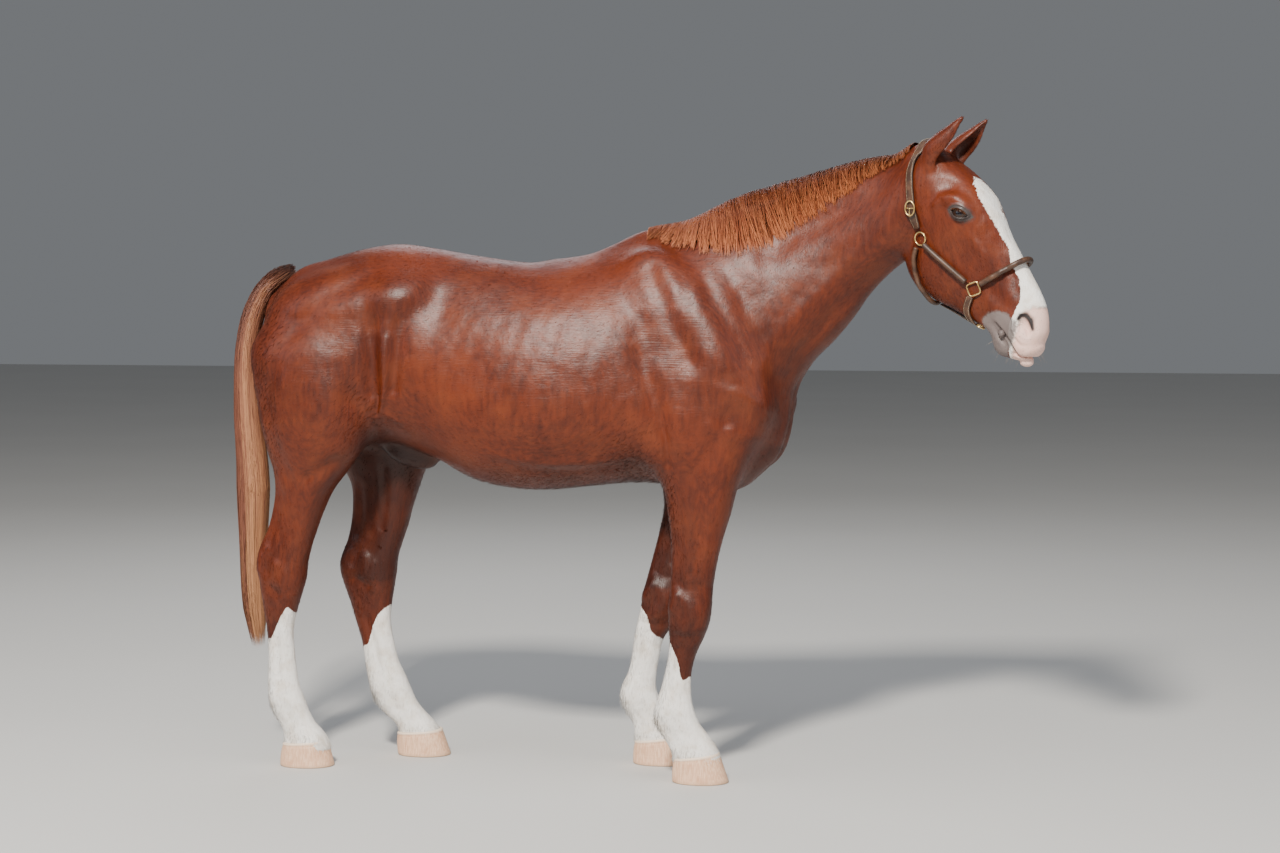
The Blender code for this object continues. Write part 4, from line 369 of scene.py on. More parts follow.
fore_far = leg([
    (1.18, 0.380, 0.00, 0.140, 0.080, 2.2, 0.0),
    (1.08, 0.372, 0.01, 0.148, 0.086, 2.2, 0.0),
    (1.00, 0.340, 0.015, 0.148, 0.084, 2.2, 0.0),
    (0.93, 0.305, 0.025, 0.142, 0.079, 2.2, 0.05),
    (0.87, 0.275, 0.040, 0.137, 0.073, 2.2, 0.05),
    (0.80, 0.244, 0.050, 0.132, 0.065, 2.2, 0.05),
    (0.72, 0.203, 0.037, 0.127, 0.057, 2.2, 0.05),
    (0.64, 0.163, 0.017, 0.122, 0.050, 2.2, 0.05),
    (0.57, 0.135, -0.001, 0.118, 0.048, 2.4, 0.05),
    (0.52, 0.119, -0.013, 0.116, 0.051, 2.8, 0.06),
    (0.475, 0.104, -0.020, 0.114, 0.051, 2.8, 0.06),
    (0.43, 0.082, -0.031, 0.112, 0.044, 2.5, 0.04),
    (0.385, 0.053, -0.040, 0.110, 0.035, 2.3, -0.02),
    (0.335, 0.041, -0.046, 0.109, 0.030, 2.3, -0.05),
    (0.28, 0.032, -0.058, 0.108, 0.0295, 2.3, -0.05),
    (0.235, 0.030, -0.079, 0.108, 0.035, 2.3, 0.0),
    (0.20, 0.041, -0.083, 0.108, 0.040, 2.3, 0.0),
    (0.17, 0.059, -0.073, 0.109, 0.039, 2.2, 0.0),
    (0.14, 0.082, -0.055, 0.110, 0.036, 2.2, 0.05),
    (0.11, 0.098, -0.041, 0.111, 0.040, 2.2, 0.1),
    (0.085, 0.104, -0.040, 0.112, 0.047, 2.2, 0.1),
    (0.06, 0.108, -0.040, 0.112, 0.051, 2.2, 0.1)], 1, cap=(0.02, 0.13), blend=0.05)
hind_near = leg([
    (1.37, -0.735, -1.120, 0.122, 0.105, 2.0, 0.0),
    (1.30, -0.735, -1.170, 0.136, 0.132, 2.0, 0.0),
    (1.20, -0.755, -1.170, 0.143, 0.140, 2.05, 0.0),
    (1.12, -0.772, -1.155, 0.146, 0.137, 2.1, 0.02),
    (1.04, -0.800, -1.140, 0.147, 0.128, 2.3, 0.08),
    (0.97, -0.838, -1.126, 0.144, 0.112, 2.2, 0.15),
    (0.91, -0.880, -1.110, 0.140, 0.094, 2.2, 0.22),
    (0.85, -0.926, -1.107, 0.137, 0.078, 2.2, 0.28),
    (0.78, -0.960, -1.119, 0.134, 0.064, 2.2, 0.32),
    (0.72, -0.983, -1.139, 0.132, 0.056, 2.2, 0.38),
    (0.67, -1.000, -1.163, 0.130, 0.050, 2.3, 0.40),
    (0.625, -1.012, -1.173, 0.128, 0.050, 2.4, 0.36),
    (0.58, -1.018, -1.168, 0.127, 0.051, 2.5, 0.30),
    (0.53, -1.032, -1.160, 0.126, 0.047, 2.5, 0.22),
    (0.48, -1.047, -1.153, 0.125, 0.040, 2.4, 0.12),
    (0.42, -1.059, -1.144, 0.124, 0.033, 2.3, 0.0),
    (0.35, -1.057, -1.140, 0.124, 0.030, 2.3, -0.05),
    (0.29, -1.050, -1.141, 0.124, 0.030, 2.3, -0.05),
    (0.24, -1.041, -1.142, 0.124, 0.035, 2.3, 0.0),
    (0.20, -1.026, -1.139, 0.124, 0.040, 2.3, 0.0),
    (0.165, -1.012, -1.128, 0.124, 0.038, 2.2, 0.0),
    (0.13, -0.992, -1.108, 0.124, 0.036, 2.2, 0.05),
    (0.10, -0.965, -1.094, 0.124, 0.042, 2.2, 0.1),
    (0.075, -0.950, -1.093, 0.124, 0.049, 2.2, 0.1),
    (0.055, -0.943, -1.096, 0.124, 0.052, 2.2, 0.1)], -1, cap=(0.02, 0.13), blend=0.05)
hind_far = leg([
    (1.37, -0.690, -1.100, 0.122, 0.105, 2.0, 0.0),
    (1.30, -0.660, -1.150, 0.136, 0.132, 2.0, 0.0),
    (1.20, -0.665, -1.140, 0.143, 0.140, 2.05, 0.0),
    (1.12, -0.670, -1.110, 0.146, 0.137, 2.1, 0.02),
    (1.04, -0.675, -1.075, 0.147, 0.128, 2.3, 0.08),
    (0.97, -0.690, -1.035, 0.143, 0.112, 2.2, 0.15),
    (0.91, -0.710, -0.990, 0.138, 0.094, 2.2, 0.22),
    (0.85, -0.731, -0.955, 0.133, 0.078, 2.2, 0.28),
    (0.78, -0.752, -0.948, 0.128, 0.064, 2.2, 0.32),
    (0.72, -0.767, -0.953, 0.124, 0.056, 2.2, 0.38),
    (0.67, -0.784, -0.964, 0.121, 0.050, 2.3, 0.40),
    (0.62, -0.799, -0.982, 0.119, 0.050, 2.4, 0.36),
    (0.575, -0.804, -0.987, 0.117, 0.051, 2.5, 0.30),
    (0.525, -0.811, -0.972, 0.115, 0.047, 2.5, 0.22),
    (0.475, -0.818, -0.953, 0.113, 0.040, 2.4, 0.12),
    (0.42, -0.821, -0.936, 0.111, 0.034, 2.3, 0.0),
    (0.35, -0.810, -0.914, 0.109, 0.031, 2.3, -0.05),
    (0.29, -0.794, -0.905, 0.108, 0.031, 2.3, -0.05),
    (0.24, -0.770, -0.896, 0.107, 0.036, 2.3, 0.0),
    (0.20, -0.753, -0.886, 0.106, 0.041, 2.3, 0.0),
    (0.165, -0.735, -0.872, 0.105, 0.039, 2.2, 0.0),
    (0.13, -0.706, -0.845, 0.104, 0.037, 2.2, 0.05),
    (0.10, -0.676, -0.810, 0.104, 0.042, 2.2, 0.1),
    (0.075, -0.658, -0.795, 0.104, 0.049, 2.2, 0.1),
    (0.055, -0.648, -0.794, 0.104, 0.052, 2.2, 0.1)], 1, cap=(0.02, 0.13), blend=0.05)

# %% [markdown]
# ## Muscles
# The bars alone look like a toy. Ellipsoids give the shoulder, forearm head, buttock, point of hip, cheek,
# brow, nose, lips and chin their own fullness.

# %% Muscles, lips, chin
EYE, EYE_R = np.array([1.034, 0.0775, 1.676]), 0.025
EYE_LONG = unit((0.054, 0, -0.018))
EYE_UP = np.array([-EYE_LONG[2], 0, EYE_LONG[0]])
breast = Ball((0.243, 0, 1.075), (0.2, 0.15, 0.215), blend=0.07)
forms = [barrel, withers, neck, breast]
# over the shoulder blade, the upper arm down to the elbow, the point of the shoulder
forms += side_pair(Ball, (0.205, 0.14, 1.315), (0.31, 0.08, 0.12), long=(0.62, 0.1, -0.78), blend=0.07)
forms += side_pair(Ball, (0.105, 0.15, 1.11), (0.175, 0.085, 0.15), long=(0.85, 0, -0.5), blend=0.06)
forms += side_pair(Ball, (0.3, 0.122, 1.11), (0.12, 0.085, 0.12), long=(0.4, 0, -0.9), blend=0.06)
forms += [fore_near, fore_far, hind_near, hind_far]
# sheath, point of the hip, rump
forms += [Ball((-0.72, 0, 0.965), (0.095, 0.048, 0.052), long=(0.93, 0, -0.36), blend=0.03)]
forms += side_pair(Ball, (-0.705, 0.185, 1.437), (0.09, 0.06, 0.05), long=(0.9, -0.25, 0.3), blend=0.06)
forms += side_pair(Ball, (-0.9, 0.13, 1.37), (0.23, 0.11, 0.13), long=(0.95, 0, 0.28), blend=0.05)
forms += [skull, jaw]
# temple under the ear, brow, side of the nose
forms += side_pair(Ball, (0.905, 0.046, 1.77), (0.06, 0.044, 0.055), long=(0.5, 0.1, 0.5), blend=0.03)
forms += side_pair(Ball, (1.022, 0.078, 1.705), (0.048, 0.024, 0.026), long=(0.8, 0.0, -0.45), blend=0.016)
forms += side_pair(Ball, (1.202, 0.034, 1.352), (0.04, 0.024, 0.034), long=(0.55, 0.0, -0.85), blend=0.014)
# upper lip, chin, lower lip, and the tip of the tongue between the lips
forms += [Ball((1.204, 0, 1.3), (0.044, 0.05, 0.034), long=(1, 0, -0.1), blend=0.02)]
forms += [Ball((1.131, 0, 1.303), (0.034, 0.03, 0.026), long=(0.6, 0, -0.8), blend=0.012)]
forms += [Ball((1.178, 0, 1.279), (0.046, 0.026, 0.0135), long=(0.97, 0, -0.2), blend=0.01)]
forms += [Ball((1.203, 0, 1.258), (0.021, 0.017, 0.014), blend=0.004)]
print(len(forms), "forms make the flesh")

# %% [markdown]
# ## Relief
# Under a short coat the skin shows the groove of the jugular vein, the edge and spine of the shoulder
# blade, the last ribs, the fold of the flank, the parting between the two muscles of the thigh, and tendons
# behind each cannon. Veins run over the cheek and along the belly.

# %% Relief of neck, trunk and haunch
relief = []

def trace(points, height, width):
    """Adds a soft line on the right side and the same one on the left."""
    relief.extend(side_pair(Ridge, points, height, width, flat=SIDE_FLAT))

def swell(centre, radii, height, **way):
    """Adds a bulge, or a hollow if its height is negative, on both sides."""
    relief.extend(side_pair(Swell, centre, radii, height, **way))

# neck and shoulder
trace([(0.181, 0.13, 1.541), (0.25, 0.19, 1.43), (0.324, 0.206, 1.315), (0.394, 0.203, 1.185)],
    [-0.004, -0.008, -0.01, -0.005], 0.03)
trace([(0.199, 0.098, 1.576), (0.273, 0.149, 1.459), (0.34, 0.168, 1.343), (0.407, 0.161, 1.198)],
    0.004, 0.032)
trace([(0.126, 0.1, 1.583), (0.15, 0.16, 1.52), (0.175, 0.185, 1.47)], -0.003, 0.024)
swell((0.23, 0.19, 1.3), (0.07, 0.1, 0.11), 0.005, long=(0.5, 0, -0.85))
swell((0.175, 0.2, 1.43), (0.028, 0.1, 0.026), -0.005)
trace([(0.065, 0.2, 1.52), (0.13, 0.215, 1.38), (0.2, 0.23, 1.25)], -0.006, 0.028)
trace([(0.8, 0.07, 1.555), (0.7, 0.075, 1.47), (0.6, 0.09, 1.375), (0.52, 0.11, 1.285), (0.465, 0.12, 1.2)],
    [-0.007, -0.008, -0.009, -0.01, -0.006], 0.017)
trace([(0.79, 0.08, 1.62), (0.69, 0.09, 1.54), (0.58, 0.115, 1.44), (0.48, 0.145, 1.34),
    (0.4, 0.165, 1.24)], [0.004, 0.006, 0.007, 0.007, 0.004], 0.03)
trace([(0.76, 0.075, 1.745), (0.65, 0.085, 1.69), (0.52, 0.1, 1.63), (0.4, 0.11, 1.575)],
    [-0.005, -0.007, -0.008, -0.005], 0.04)
relief += [Ridge([(0.495, 0, 1.18), (0.475, 0, 1.08), (0.44, 0, 0.98), (0.37, 0, 0.9)], -0.014, 0.02)]
swell((0.385, 0.15, 1.115), (0.055, 0.04, 0.05), 0.008)
# behind the shoulder, elbow, girth
trace([(0.035, 0.235, 1.36), (0.052, 0.242, 1.242), (0.088, 0.253, 1.15), (0.108, 0.251, 1.06)],
    [-0.004, -0.01, -0.012, -0.008], 0.032)
trace([(0.108, 0.251, 1.097), (0.12, 0.241, 1.024), (0.126, 0.225, 0.95)], [-0.004, -0.011, -0.01], 0.011)
trace([(0.25, 0.225, 1.26), (0.2, 0.235, 1.17), (0.16, 0.23, 1.07)], 0.005, 0.045)
swell((0.33, 0.232, 1.099), (0.045, 0.1, 0.034), -0.007, long=(0.9, 0, 0.3))
trace([(0.27, 0.235, 1.175), (0.347, 0.229, 1.157), (0.425, 0.17, 1.125)], 0.004, 0.018)
trace([(0.25, 0.225, 1.06), (0.33, 0.215, 1.04), (0.4, 0.15, 1.03)], 0.004, 0.018)
swell((0.08, 0.205, 0.985), (0.04, 0.03, 0.045), 0.01)
trace([(0.3, 0.215, 1.08), (0.25, 0.22, 0.99), (0.2, 0.205, 0.92)], -0.006, 0.018)
trace([(0.13, 0.215, 1.03), (0.17, 0.205, 0.95), (0.19, 0.19, 0.88)], -0.004, 0.016)
# ribs and flank
for k in range(9):
    x = -0.075 - 0.058 * k
    trace([(x + 0.03, 0.275, 1.38), (x - 0.01, 0.29, 1.22), (x - 0.045, 0.28, 1.06)],
        [0.0008, 0.0024, 0.0016], 0.021)
swell((-0.56, 0.23, 1.4), (0.06, 0.1, 0.08), -0.01)
swell((-0.55, 0.126, 1.533), (0.07, 0.08, 0.04), -0.006)
swell((-0.64, 0.228, 1.435), (0.05, 0.1, 0.06), 0.004)
trace([(-0.64, 0.213, 1.455), (-0.69, 0.249, 1.405), (-0.721, 0.251, 1.34), (-0.724, 0.253, 1.257),
    (-0.724, 0.244, 1.177), (-0.735, 0.231, 1.137)], [0.001, 0.004, 0.007, 0.011, 0.012, 0.01],
    [0.026, 0.024, 0.02, 0.016, 0.013, 0.01])
trace([(-0.776, 0.242, 1.43), (-0.768, 0.251, 1.34), (-0.763, 0.249, 1.251), (-0.766, 0.228, 1.155)],
    [-0.006, -0.014, -0.018, -0.014], 0.026)
trace([(-0.672, 0.246, 1.37), (-0.682, 0.254, 1.258), (-0.698, 0.246, 1.165)],
    [-0.005, -0.01, -0.012], 0.02)
trace([(-0.729, 0.235, 1.15), (-0.738, 0.228, 1.12), (-0.75, 0.21, 1.096)], [0.004, 0.009, 0.006], 0.008)
trace([(-0.752, 0.225, 1.14), (-0.76, 0.205, 1.105)], -0.007, 0.008)
trace([(-0.768, 0.186, 1.075), (-0.735, 0.195, 1.085), (-0.69, 0.2, 1.066)], 0.004, 0.01)
# croup and thigh
trace([(-0.78, 0.22, 1.5), (-0.9, 0.215, 1.44), (-1.01, 0.19, 1.36)], -0.006, 0.03)
trace([(-0.96, 0.225, 1.38), (-1.04, 0.21, 1.28), (-1.085, 0.205, 1.15), (-1.075, 0.19, 1.0),
    (-1.04, 0.18, 0.9)], [-0.003, -0.009, -0.012, -0.01, -0.005], 0.022)
swell((-0.89, 0.245, 1.13), (0.075, 0.1, 0.115), 0.007)
swell((-0.822, 0.25, 1.126), (0.026, 0.1, 0.046), -0.009, long=(0.95, 0, 0.25))
swell((-0.853, 0.208, 0.975), (0.034, 0.1, 0.036), 0.007)
trace([(-0.982, 0.228, 0.894), (-0.932, 0.235, 0.919), (-0.885, 0.225, 0.95)], -0.01, 0.016)
swell((-1.13, 0.03, 1.4), (0.06, 0.035, 0.12), -0.03)
relief += [Ridge([(-1.19, 0, 1.3), (-1.18, 0, 1.15), (-1.1, 0, 1.0), (-1.02, 0, 0.95)], -0.045, 0.045)]
trace([(0.03, 0.2, 0.975), (-0.082, 0.215, 0.955), (-0.198, 0.225, 0.948), (-0.314, 0.24, 0.96),
    (-0.435, 0.24, 0.985)], [0.003, 0.006, 0.006, 0.005, 0.002], 0.011)
trace([(0.01, 0.2, 0.95), (-0.1, 0.215, 0.928), (-0.22, 0.225, 0.922), (-0.34, 0.235, 0.935)],
    [-0.002, -0.005, -0.005, -0.002], 0.012)
trace([(0.01, 0.262, 1.15), (-0.05, 0.268, 1.08), (-0.16, 0.272, 1.02), (-0.3, 0.262, 0.985)],
    [0.001, 0.0025, 0.0025, 0.001], 0.006)
for k in range(5):
    trace([(0.1 - 0.017 * k, 0.245, 1.05 - 0.006 * k), (0.104 - 0.016 * k, 0.235, 0.99),
        (0.098 - 0.015 * k, 0.215, 0.935)], [-0.002, -0.0045, -0.002], 0.006)
for k in range(4):
    trace([(-0.835 + 0.01 * k, 0.205, 0.985 - 0.028 * k), (-0.875 + 0.01 * k, 0.2, 0.962 - 0.026 * k),
        (-0.915 + 0.012 * k, 0.19, 0.956 - 0.026 * k)], [-0.001, -0.002, -0.001], 0.007)

# %% Relief of the legs
def on_leg(loft, z, along, out, sign):
    """A point on a leg's side: along is 0 at the back and 1 at the front; out is +1 outside, -1 inside."""
    c = loft.section(np.array([z]))
    front, back, half, middle = (float(np.ravel(c[k])[0]) for k in ("hi", "lo", "w", "side"))
    u = 2 * along - 1
    return (back + along * (front - back), middle + sign * out * half * np.sqrt(max(0, 1 - abs(u) ** 2.3)),
        z)

TENDON_GAIN, LEG_FLAT = 1.7, 0.5

def leg_line(loft, sign, rows, height, width):
    """A line down both sides of a leg, its height times TENDON_GAIN, since tendons stand out."""
    points = [[on_leg(loft, z, t, out, sign) for z, t in rows] for out in (1, -1)]
    return [Ridge(side, TENDON_GAIN * np.asarray(height), width, flat=LEG_FLAT) for side in points]

FORE, HIND = ((fore_near, -1), (fore_far, 1)), ((hind_near, -1), (hind_far, 1))
# each row: points as (height, place from the leg's back 0 to its front 1), then how high and how wide
FORE_TENDONS = [
    ([(0.9, 0.55), (0.76, 0.58), (0.63, 0.52)], -0.004, 0.014),
    ([(0.82, 0.22), (0.7, 0.25), (0.6, 0.22)], -0.003, 0.012),
    ([(0.545, 0.45), (0.5, 0.62), (0.46, 0.5)], 0.004, 0.016),
    ([(0.44, 0.2), (0.435, 0.55), (0.44, 0.85)], -0.0025, 0.012),
    ([(0.59, 0.3), (0.585, 0.6), (0.59, 0.85)], -0.002, 0.014),
    ([(0.56, 0.2), (0.52, 0.12)], 0.006, 0.015),
    ([(0.41, 0.42), (0.34, 0.42), (0.27, 0.42)], [-0.004, -0.0065, -0.004], 0.009),
    ([(0.39, 0.66), (0.34, 0.68), (0.27, 0.66)], 0.0018, 0.01),
    ([(0.225, 0.3), (0.205, 0.25)], 0.004, 0.014),
    ([(0.185, 0.55), (0.15, 0.5)], -0.003, 0.012)]
HIND_TENDONS = [
    ([(0.84, 0.2), (0.76, 0.19), (0.69, 0.2)], [-0.004, -0.01, -0.008], 0.015),
    ([(0.9, 0.6), (0.8, 0.62), (0.72, 0.62)], -0.004, 0.015),
    ([(0.88, 0.4), (0.79, 0.42), (0.7, 0.45)], -0.003, 0.013),
    ([(0.6, 0.72), (0.56, 0.66), (0.52, 0.68)], 0.003, 0.013),
    ([(0.555, 0.3), (0.53, 0.5), (0.535, 0.72)], -0.0025, 0.01),
    ([(0.62, 0.5), (0.57, 0.52)], 0.005, 0.018),
    ([(0.645, 0.3), (0.6, 0.27)], -0.004, 0.012),
    ([(0.43, 0.4), (0.36, 0.42), (0.28, 0.42)], [-0.004, -0.0065, -0.004], 0.009),
    ([(0.42, 0.68), (0.36, 0.68), (0.28, 0.66)], 0.0018, 0.01),
    ([(0.225, 0.3), (0.205, 0.25)], 0.004, 0.014),
    ([(0.18, 0.55), (0.145, 0.5)], -0.003, 0.012)]
FORE_VEINS = [
    ([(0.98, 0.8), (0.9, 0.84), (0.8, 0.8), (0.68, 0.74), (0.6, 0.7)],
     [0.001, 0.002, 0.002, 0.002, 0.001], 0.006),
    ([(0.155, 0.3), (0.125, 0.28)], -0.003, 0.01)]
HIND_VEINS = [
    ([(0.66, 0.72), (0.6, 0.66), (0.54, 0.64)], [0.001, 0.0025, 0.001], 0.008),
    ([(0.645, 0.1), (0.6, 0.05)], 0.003, 0.012)]
for legs, table in ((FORE, FORE_TENDONS), (HIND, HIND_TENDONS), (FORE, FORE_VEINS), (HIND, HIND_VEINS)):
    for loft, sign in legs:
        for rows, height, width in table:
            relief += leg_line(loft, sign, rows, height, width)

# %% Relief of the head
trace([(1.058, 0.085, 1.612), (1.085, 0.078, 1.57), (1.112, 0.07, 1.535)], [0.003, 0.006, 0.002], 0.012)
trace([(0.96, 0.092, 1.7), (0.99, 0.1, 1.712)], 0.005, 0.013)
swell((0.998, 0.082, 1.752), (0.024, 0.03, 0.022), -0.01)
swell((0.93, 0.075, 1.56), (0.06, 0.03, 0.075), 0.004)
trace([(0.905, 0.08, 1.68), (0.872, 0.08, 1.62), (0.86, 0.075, 1.56), (0.88, 0.07, 1.49)],
    [-0.003, -0.006, -0.007, -0.004], 0.014)
trace([(1.13, 0.045, 1.6), (1.165, 0.042, 1.52), (1.19, 0.04, 1.45)], [-0.002, -0.004, -0.003], 0.012)
trace([(1.08, 0.07, 1.5), (1.12, 0.055, 1.45), (1.16, 0.05, 1.41)], [-0.003, -0.004, -0.002], 0.02)
trace([(1.095, 0.085, 1.675), (1.08, 0.09, 1.65)], -0.002, 0.01)
trace([(1.02, 0.098, 1.628), (1.0, 0.098, 1.59), (1.012, 0.095, 1.55), (1.04, 0.086, 1.51)],
    [0.001, 0.0022, 0.0022, 0.001], 0.005)
trace([(1.075, 0.083, 1.6), (1.1, 0.075, 1.56), (1.112, 0.068, 1.515), (1.14, 0.055, 1.47)],
    [0.001, 0.002, 0.002, 0.001], 0.0045)
trace([(1.112, 0.068, 1.515), (1.15, 0.052, 1.51), (1.176, 0.044, 1.48)], [0.001, 0.0018, 0.001], 0.0045)
trace([(0.96, 0.094, 1.705), (0.975, 0.1, 1.725), (1.0, 0.098, 1.728), (1.03, 0.1, 1.722)],
    [0.003, 0.006, 0.005, 0.002], 0.01)
nostrils = side_pair(Ball, (1.219, 0.056, 1.36), (0.032, 0.019, 0.0175), long=(0.3, -0.2, -0.91),
    blend=0.006)
alar_folds = side_pair(Ball, (1.211, 0.04, 1.338), (0.024, 0.0115, 0.0125), long=(0.42, 0.1, -0.9),
    blend=0.006)
trace([(1.186, 0.052, 1.352), (1.188, 0.053, 1.374), (1.2, 0.052, 1.395), (1.222, 0.048, 1.402),
    (1.243, 0.044, 1.39)], [0.003, 0.004, 0.004, 0.004, 0.002], 0.0065)
trace([(1.186, 0.052, 1.352), (1.193, 0.055, 1.332), (1.206, 0.055, 1.316)], [0.003, 0.003, 0.001], 0.0065)
trace([(1.252, 0.042, 1.372), (1.257, 0.042, 1.345), (1.245, 0.046, 1.322)], [0.001, 0.003, 0.001], 0.0065)
trace([(1.182, 0.05, 1.345), (1.19, 0.052, 1.325), (1.208, 0.05, 1.306), (1.23, 0.046, 1.306)],
    [-0.001, -0.003, -0.003, -0.001], 0.0045)
MOUTH = np.array([(1.126, 0.046, 1.368), (1.146, 0.047, 1.345), (1.165, 0.046, 1.321),
    (1.179, 0.041, 1.301), (1.19, 0.036, 1.283)])
trace(MOUTH, [-0.003, -0.007, -0.008, -0.008, -0.008], 0.0042)
trace([(1.18, 0.042, 1.284), (1.2, 0.026, 1.276), (1.226, 0.0, 1.272)], -0.009, 0.0036)
trace([(1.126, 0.046, 1.374), (1.15, 0.049, 1.338), (1.172, 0.046, 1.306)], [0.002, 0.004, 0.002], 0.009)
trace([(1.112, 0.04, 1.35), (1.132, 0.041, 1.318), (1.156, 0.036, 1.29)], [0.002, 0.004, 0.002], 0.008)
print(len(relief), "lines and swells of relief")

# %% [markdown]
# ## The ear's cone
# An ear is a leaf rolled into a cone, open forwards. The cone is solid here; its hollow is pressed in
# afterwards, on the finished mesh, so that its rim stays clean.

# %% Ears
def ear(sign):
    """The solid cone of the ear on one side; both turn inwards, towards what the horse looks at."""
    root = np.array([0.926, sign * 0.06, 1.822])
    tip = root + [0.119, sign * 0.018, 0.139]
    return Loft(root, tip - root, np.array([0.68, sign * -0.5, -0.66]), [
        (-0.040, 0.022, -0.026, 0.028), (0.000, 0.030, -0.034, 0.036), (0.035, 0.027, -0.044, 0.0375),
        (0.075, 0.030, -0.036, 0.0335), (0.110, 0.026, -0.023, 0.0240), (0.140, 0.015, -0.013, 0.0135),
        (0.160, 0.008, -0.005, 0.0065)], power=2.0, cap=(0.03, 0.006), blend=0.018)

ears = [ear(-1), ear(1)]
lids = side_pair(Ball, EYE, (EYE_R + 0.0032,) * 3, blend=0.01)
forms += ears + lids

# %% The field of the whole body
def near(P, form, pad=0.0):
    """The numbers of the points that lie in a form's box."""
    return np.flatnonzero(np.all((P > form.lo - pad) & (P < form.hi + pad), axis=1))

def field(P):
    """Rough distance outside the skin: forms joined, relief added, nostrils carved, folds put in."""
    P = np.asarray(P, float)
    d = np.full(len(P), 1.0)
    for form in forms:
        i = near(P, form, 0.04)
        d[i] = join(d[i], form(P[i]), form.blend)
    for line in relief:
        i = near(P, line)
        d[i] -= line(P[i])
    for hollow, fold in zip(nostrils, alar_folds):
        i = near(P, hollow, 0.02)
        d[i] = join(carve(d[i], hollow(P[i]), hollow.blend), fold(P[i]), fold.blend)
    return d

def spread(work, P):
    """The same work on slices of the points, on four threads."""
    if len(P) < 4000:
        return work(P)
    with ThreadPoolExecutor(4) as pool:
        return np.concatenate(list(pool.map(work, np.array_split(P, max(4, len(P) // 60000)))))

# %% [markdown]
# ## From field to mesh
# A surface net puts one point in each grid cell that the skin passes through, at the mean of its crossings,
# and a quad across each crossed edge. It gives even quads and no slivers, where marching cubes gives many.
# Only cells near the skin are worked out: a coarse grid is tried first, and its far blocks are left out.

# %% Surface net
def graded(*spans):
    """Grid lines whose spacing changes: (start, end, step) one after another."""
    parts = [np.linspace(a, b, max(1, round((b - a) / step)), endpoint=False) for a, b, step in spans]
    return np.concatenate(parts + [[spans[-1][1]]])

def lattice(lines):
    """Every crossing of the grid lines, one to a row."""
    return np.stack(np.meshgrid(*lines, indexing="ij"), -1).reshape(-1, 3)

def near_field(axes, block=6):
    """The field on the whole grid, worked out only where the block's middle is near the skin."""
    shape = tuple(len(a) for a in axes)
    F = np.ones(shape)
    cuts = [np.arange(0, n, block) for n in shape]
    ends = [np.minimum(c + block, n) for c, n in zip(cuts, shape)]
    low = lattice([a[c] for a, c in zip(axes, cuts)])
    high = lattice([a[e - 1] for a, e in zip(axes, ends)])
    which = lattice([np.arange(len(c)) for c in cuts])
    middle, radius = (low + high) / 2, np.linalg.norm(high - low, axis=1) / 2
    value = spread(field, middle)
    F_block = np.where(value < 0, -1.0, 1.0)
    close = np.abs(value) < 1.6 * radius + 0.055
    steps = lattice([np.arange(block)] * 3)
    for chosen, values in ((~close, F_block), (close, None)):
        cell = (which[chosen] * block)[:, None] + steps[None]
        ok = np.all(cell < shape, axis=-1)
        at = cell[ok]
        if values is not None:
            F[tuple(at.T)] = np.repeat(values[chosen], ok.sum(1))
        else:
            F[tuple(at.T)] = spread(field, np.stack([axes[d][at[:, d]] for d in range(3)], 1))
    return F

def surface_net(F, axes, level):
    """Points and quads of the net where the field passes a level."""
    F = F - level
    inside = F < 0
    cells = tuple(n - 1 for n in F.shape)
    count, total = np.zeros(cells, np.int8), np.zeros(cells + (3,))
    corner = lambda A, o: A[o[0]:o[0] + cells[0], o[1]:o[1] + cells[1], o[2]:o[2] + cells[2]]
    for axis in range(3):
        others = [x for x in range(3) if x != axis]
        for a in (0, 1):
            for b in (0, 1):
                p = [0, 0, 0]
                p[others[0]], p[others[1]] = a, b
                q = list(p)
                q[axis] = 1
                at = np.nonzero(corner(inside, p) != corner(inside, q))
                t = corner(F, p)[at] / (corner(F, p)[at] - corner(F, q)[at])
                for d in range(3):
                    c = axes[d][at[d] + p[d]]
                    part = t * (axes[d][at[d] + q[d]] - c) if d == axis else 0
                    total[at + (np.full(len(t), d),)] += c + part
                count[at] += 1
    active = count > 0
    index = np.full(cells, -1)
    index[active] = np.arange(active.sum())
    quads = []
    for axis in range(3):
        others = [x for x in range(3) if x != axis]
        span = [slice(1, -1)] * 3
        first, second = list(span), list(span)
        first[axis], second[axis] = slice(0, -1), slice(1, None)
        a, b = inside[tuple(first)], inside[tuple(second)]
        at = [v + (d in others) for d, v in enumerate(np.nonzero(a != b))]
        def cell(i, j):
            c = list(at)
            c[others[0]], c[others[1]] = at[others[0]] - 1 + i, at[others[1]] - 1 + j
            return index[tuple(c)]
        q = np.stack([cell(0, 0), cell(1, 0), cell(1, 1), cell(0, 1)], 1)
        forward = a[np.nonzero(a != b)] != (axis == 1)
        quads.append(np.where(forward[:, None], q, q[:, ::-1]))
    return total[active] / count[active][:, None], np.concatenate(quads)

# %% [markdown]
# ## Finer where it matters
# The net is then worked like clay: long edges are split where a smaller size is wanted, points are evened
# out along the surface, and each is moved along its normal until the field there has the level asked for.

# %% Split, even out, settle
def to_triangles(V, Q):
    """Each quad cut along its shorter diagonal."""
    first = np.linalg.norm(V[Q[:, 0]] - V[Q[:, 2]], axis=1)
    short = (first < np.linalg.norm(V[Q[:, 1]] - V[Q[:, 3]], axis=1))[:, None]
    return np.concatenate([np.where(short, Q[:, [0, 1, 2]], Q[:, [0, 1, 3]]),
        np.where(short, Q[:, [0, 2, 3]], Q[:, [1, 2, 3]])])

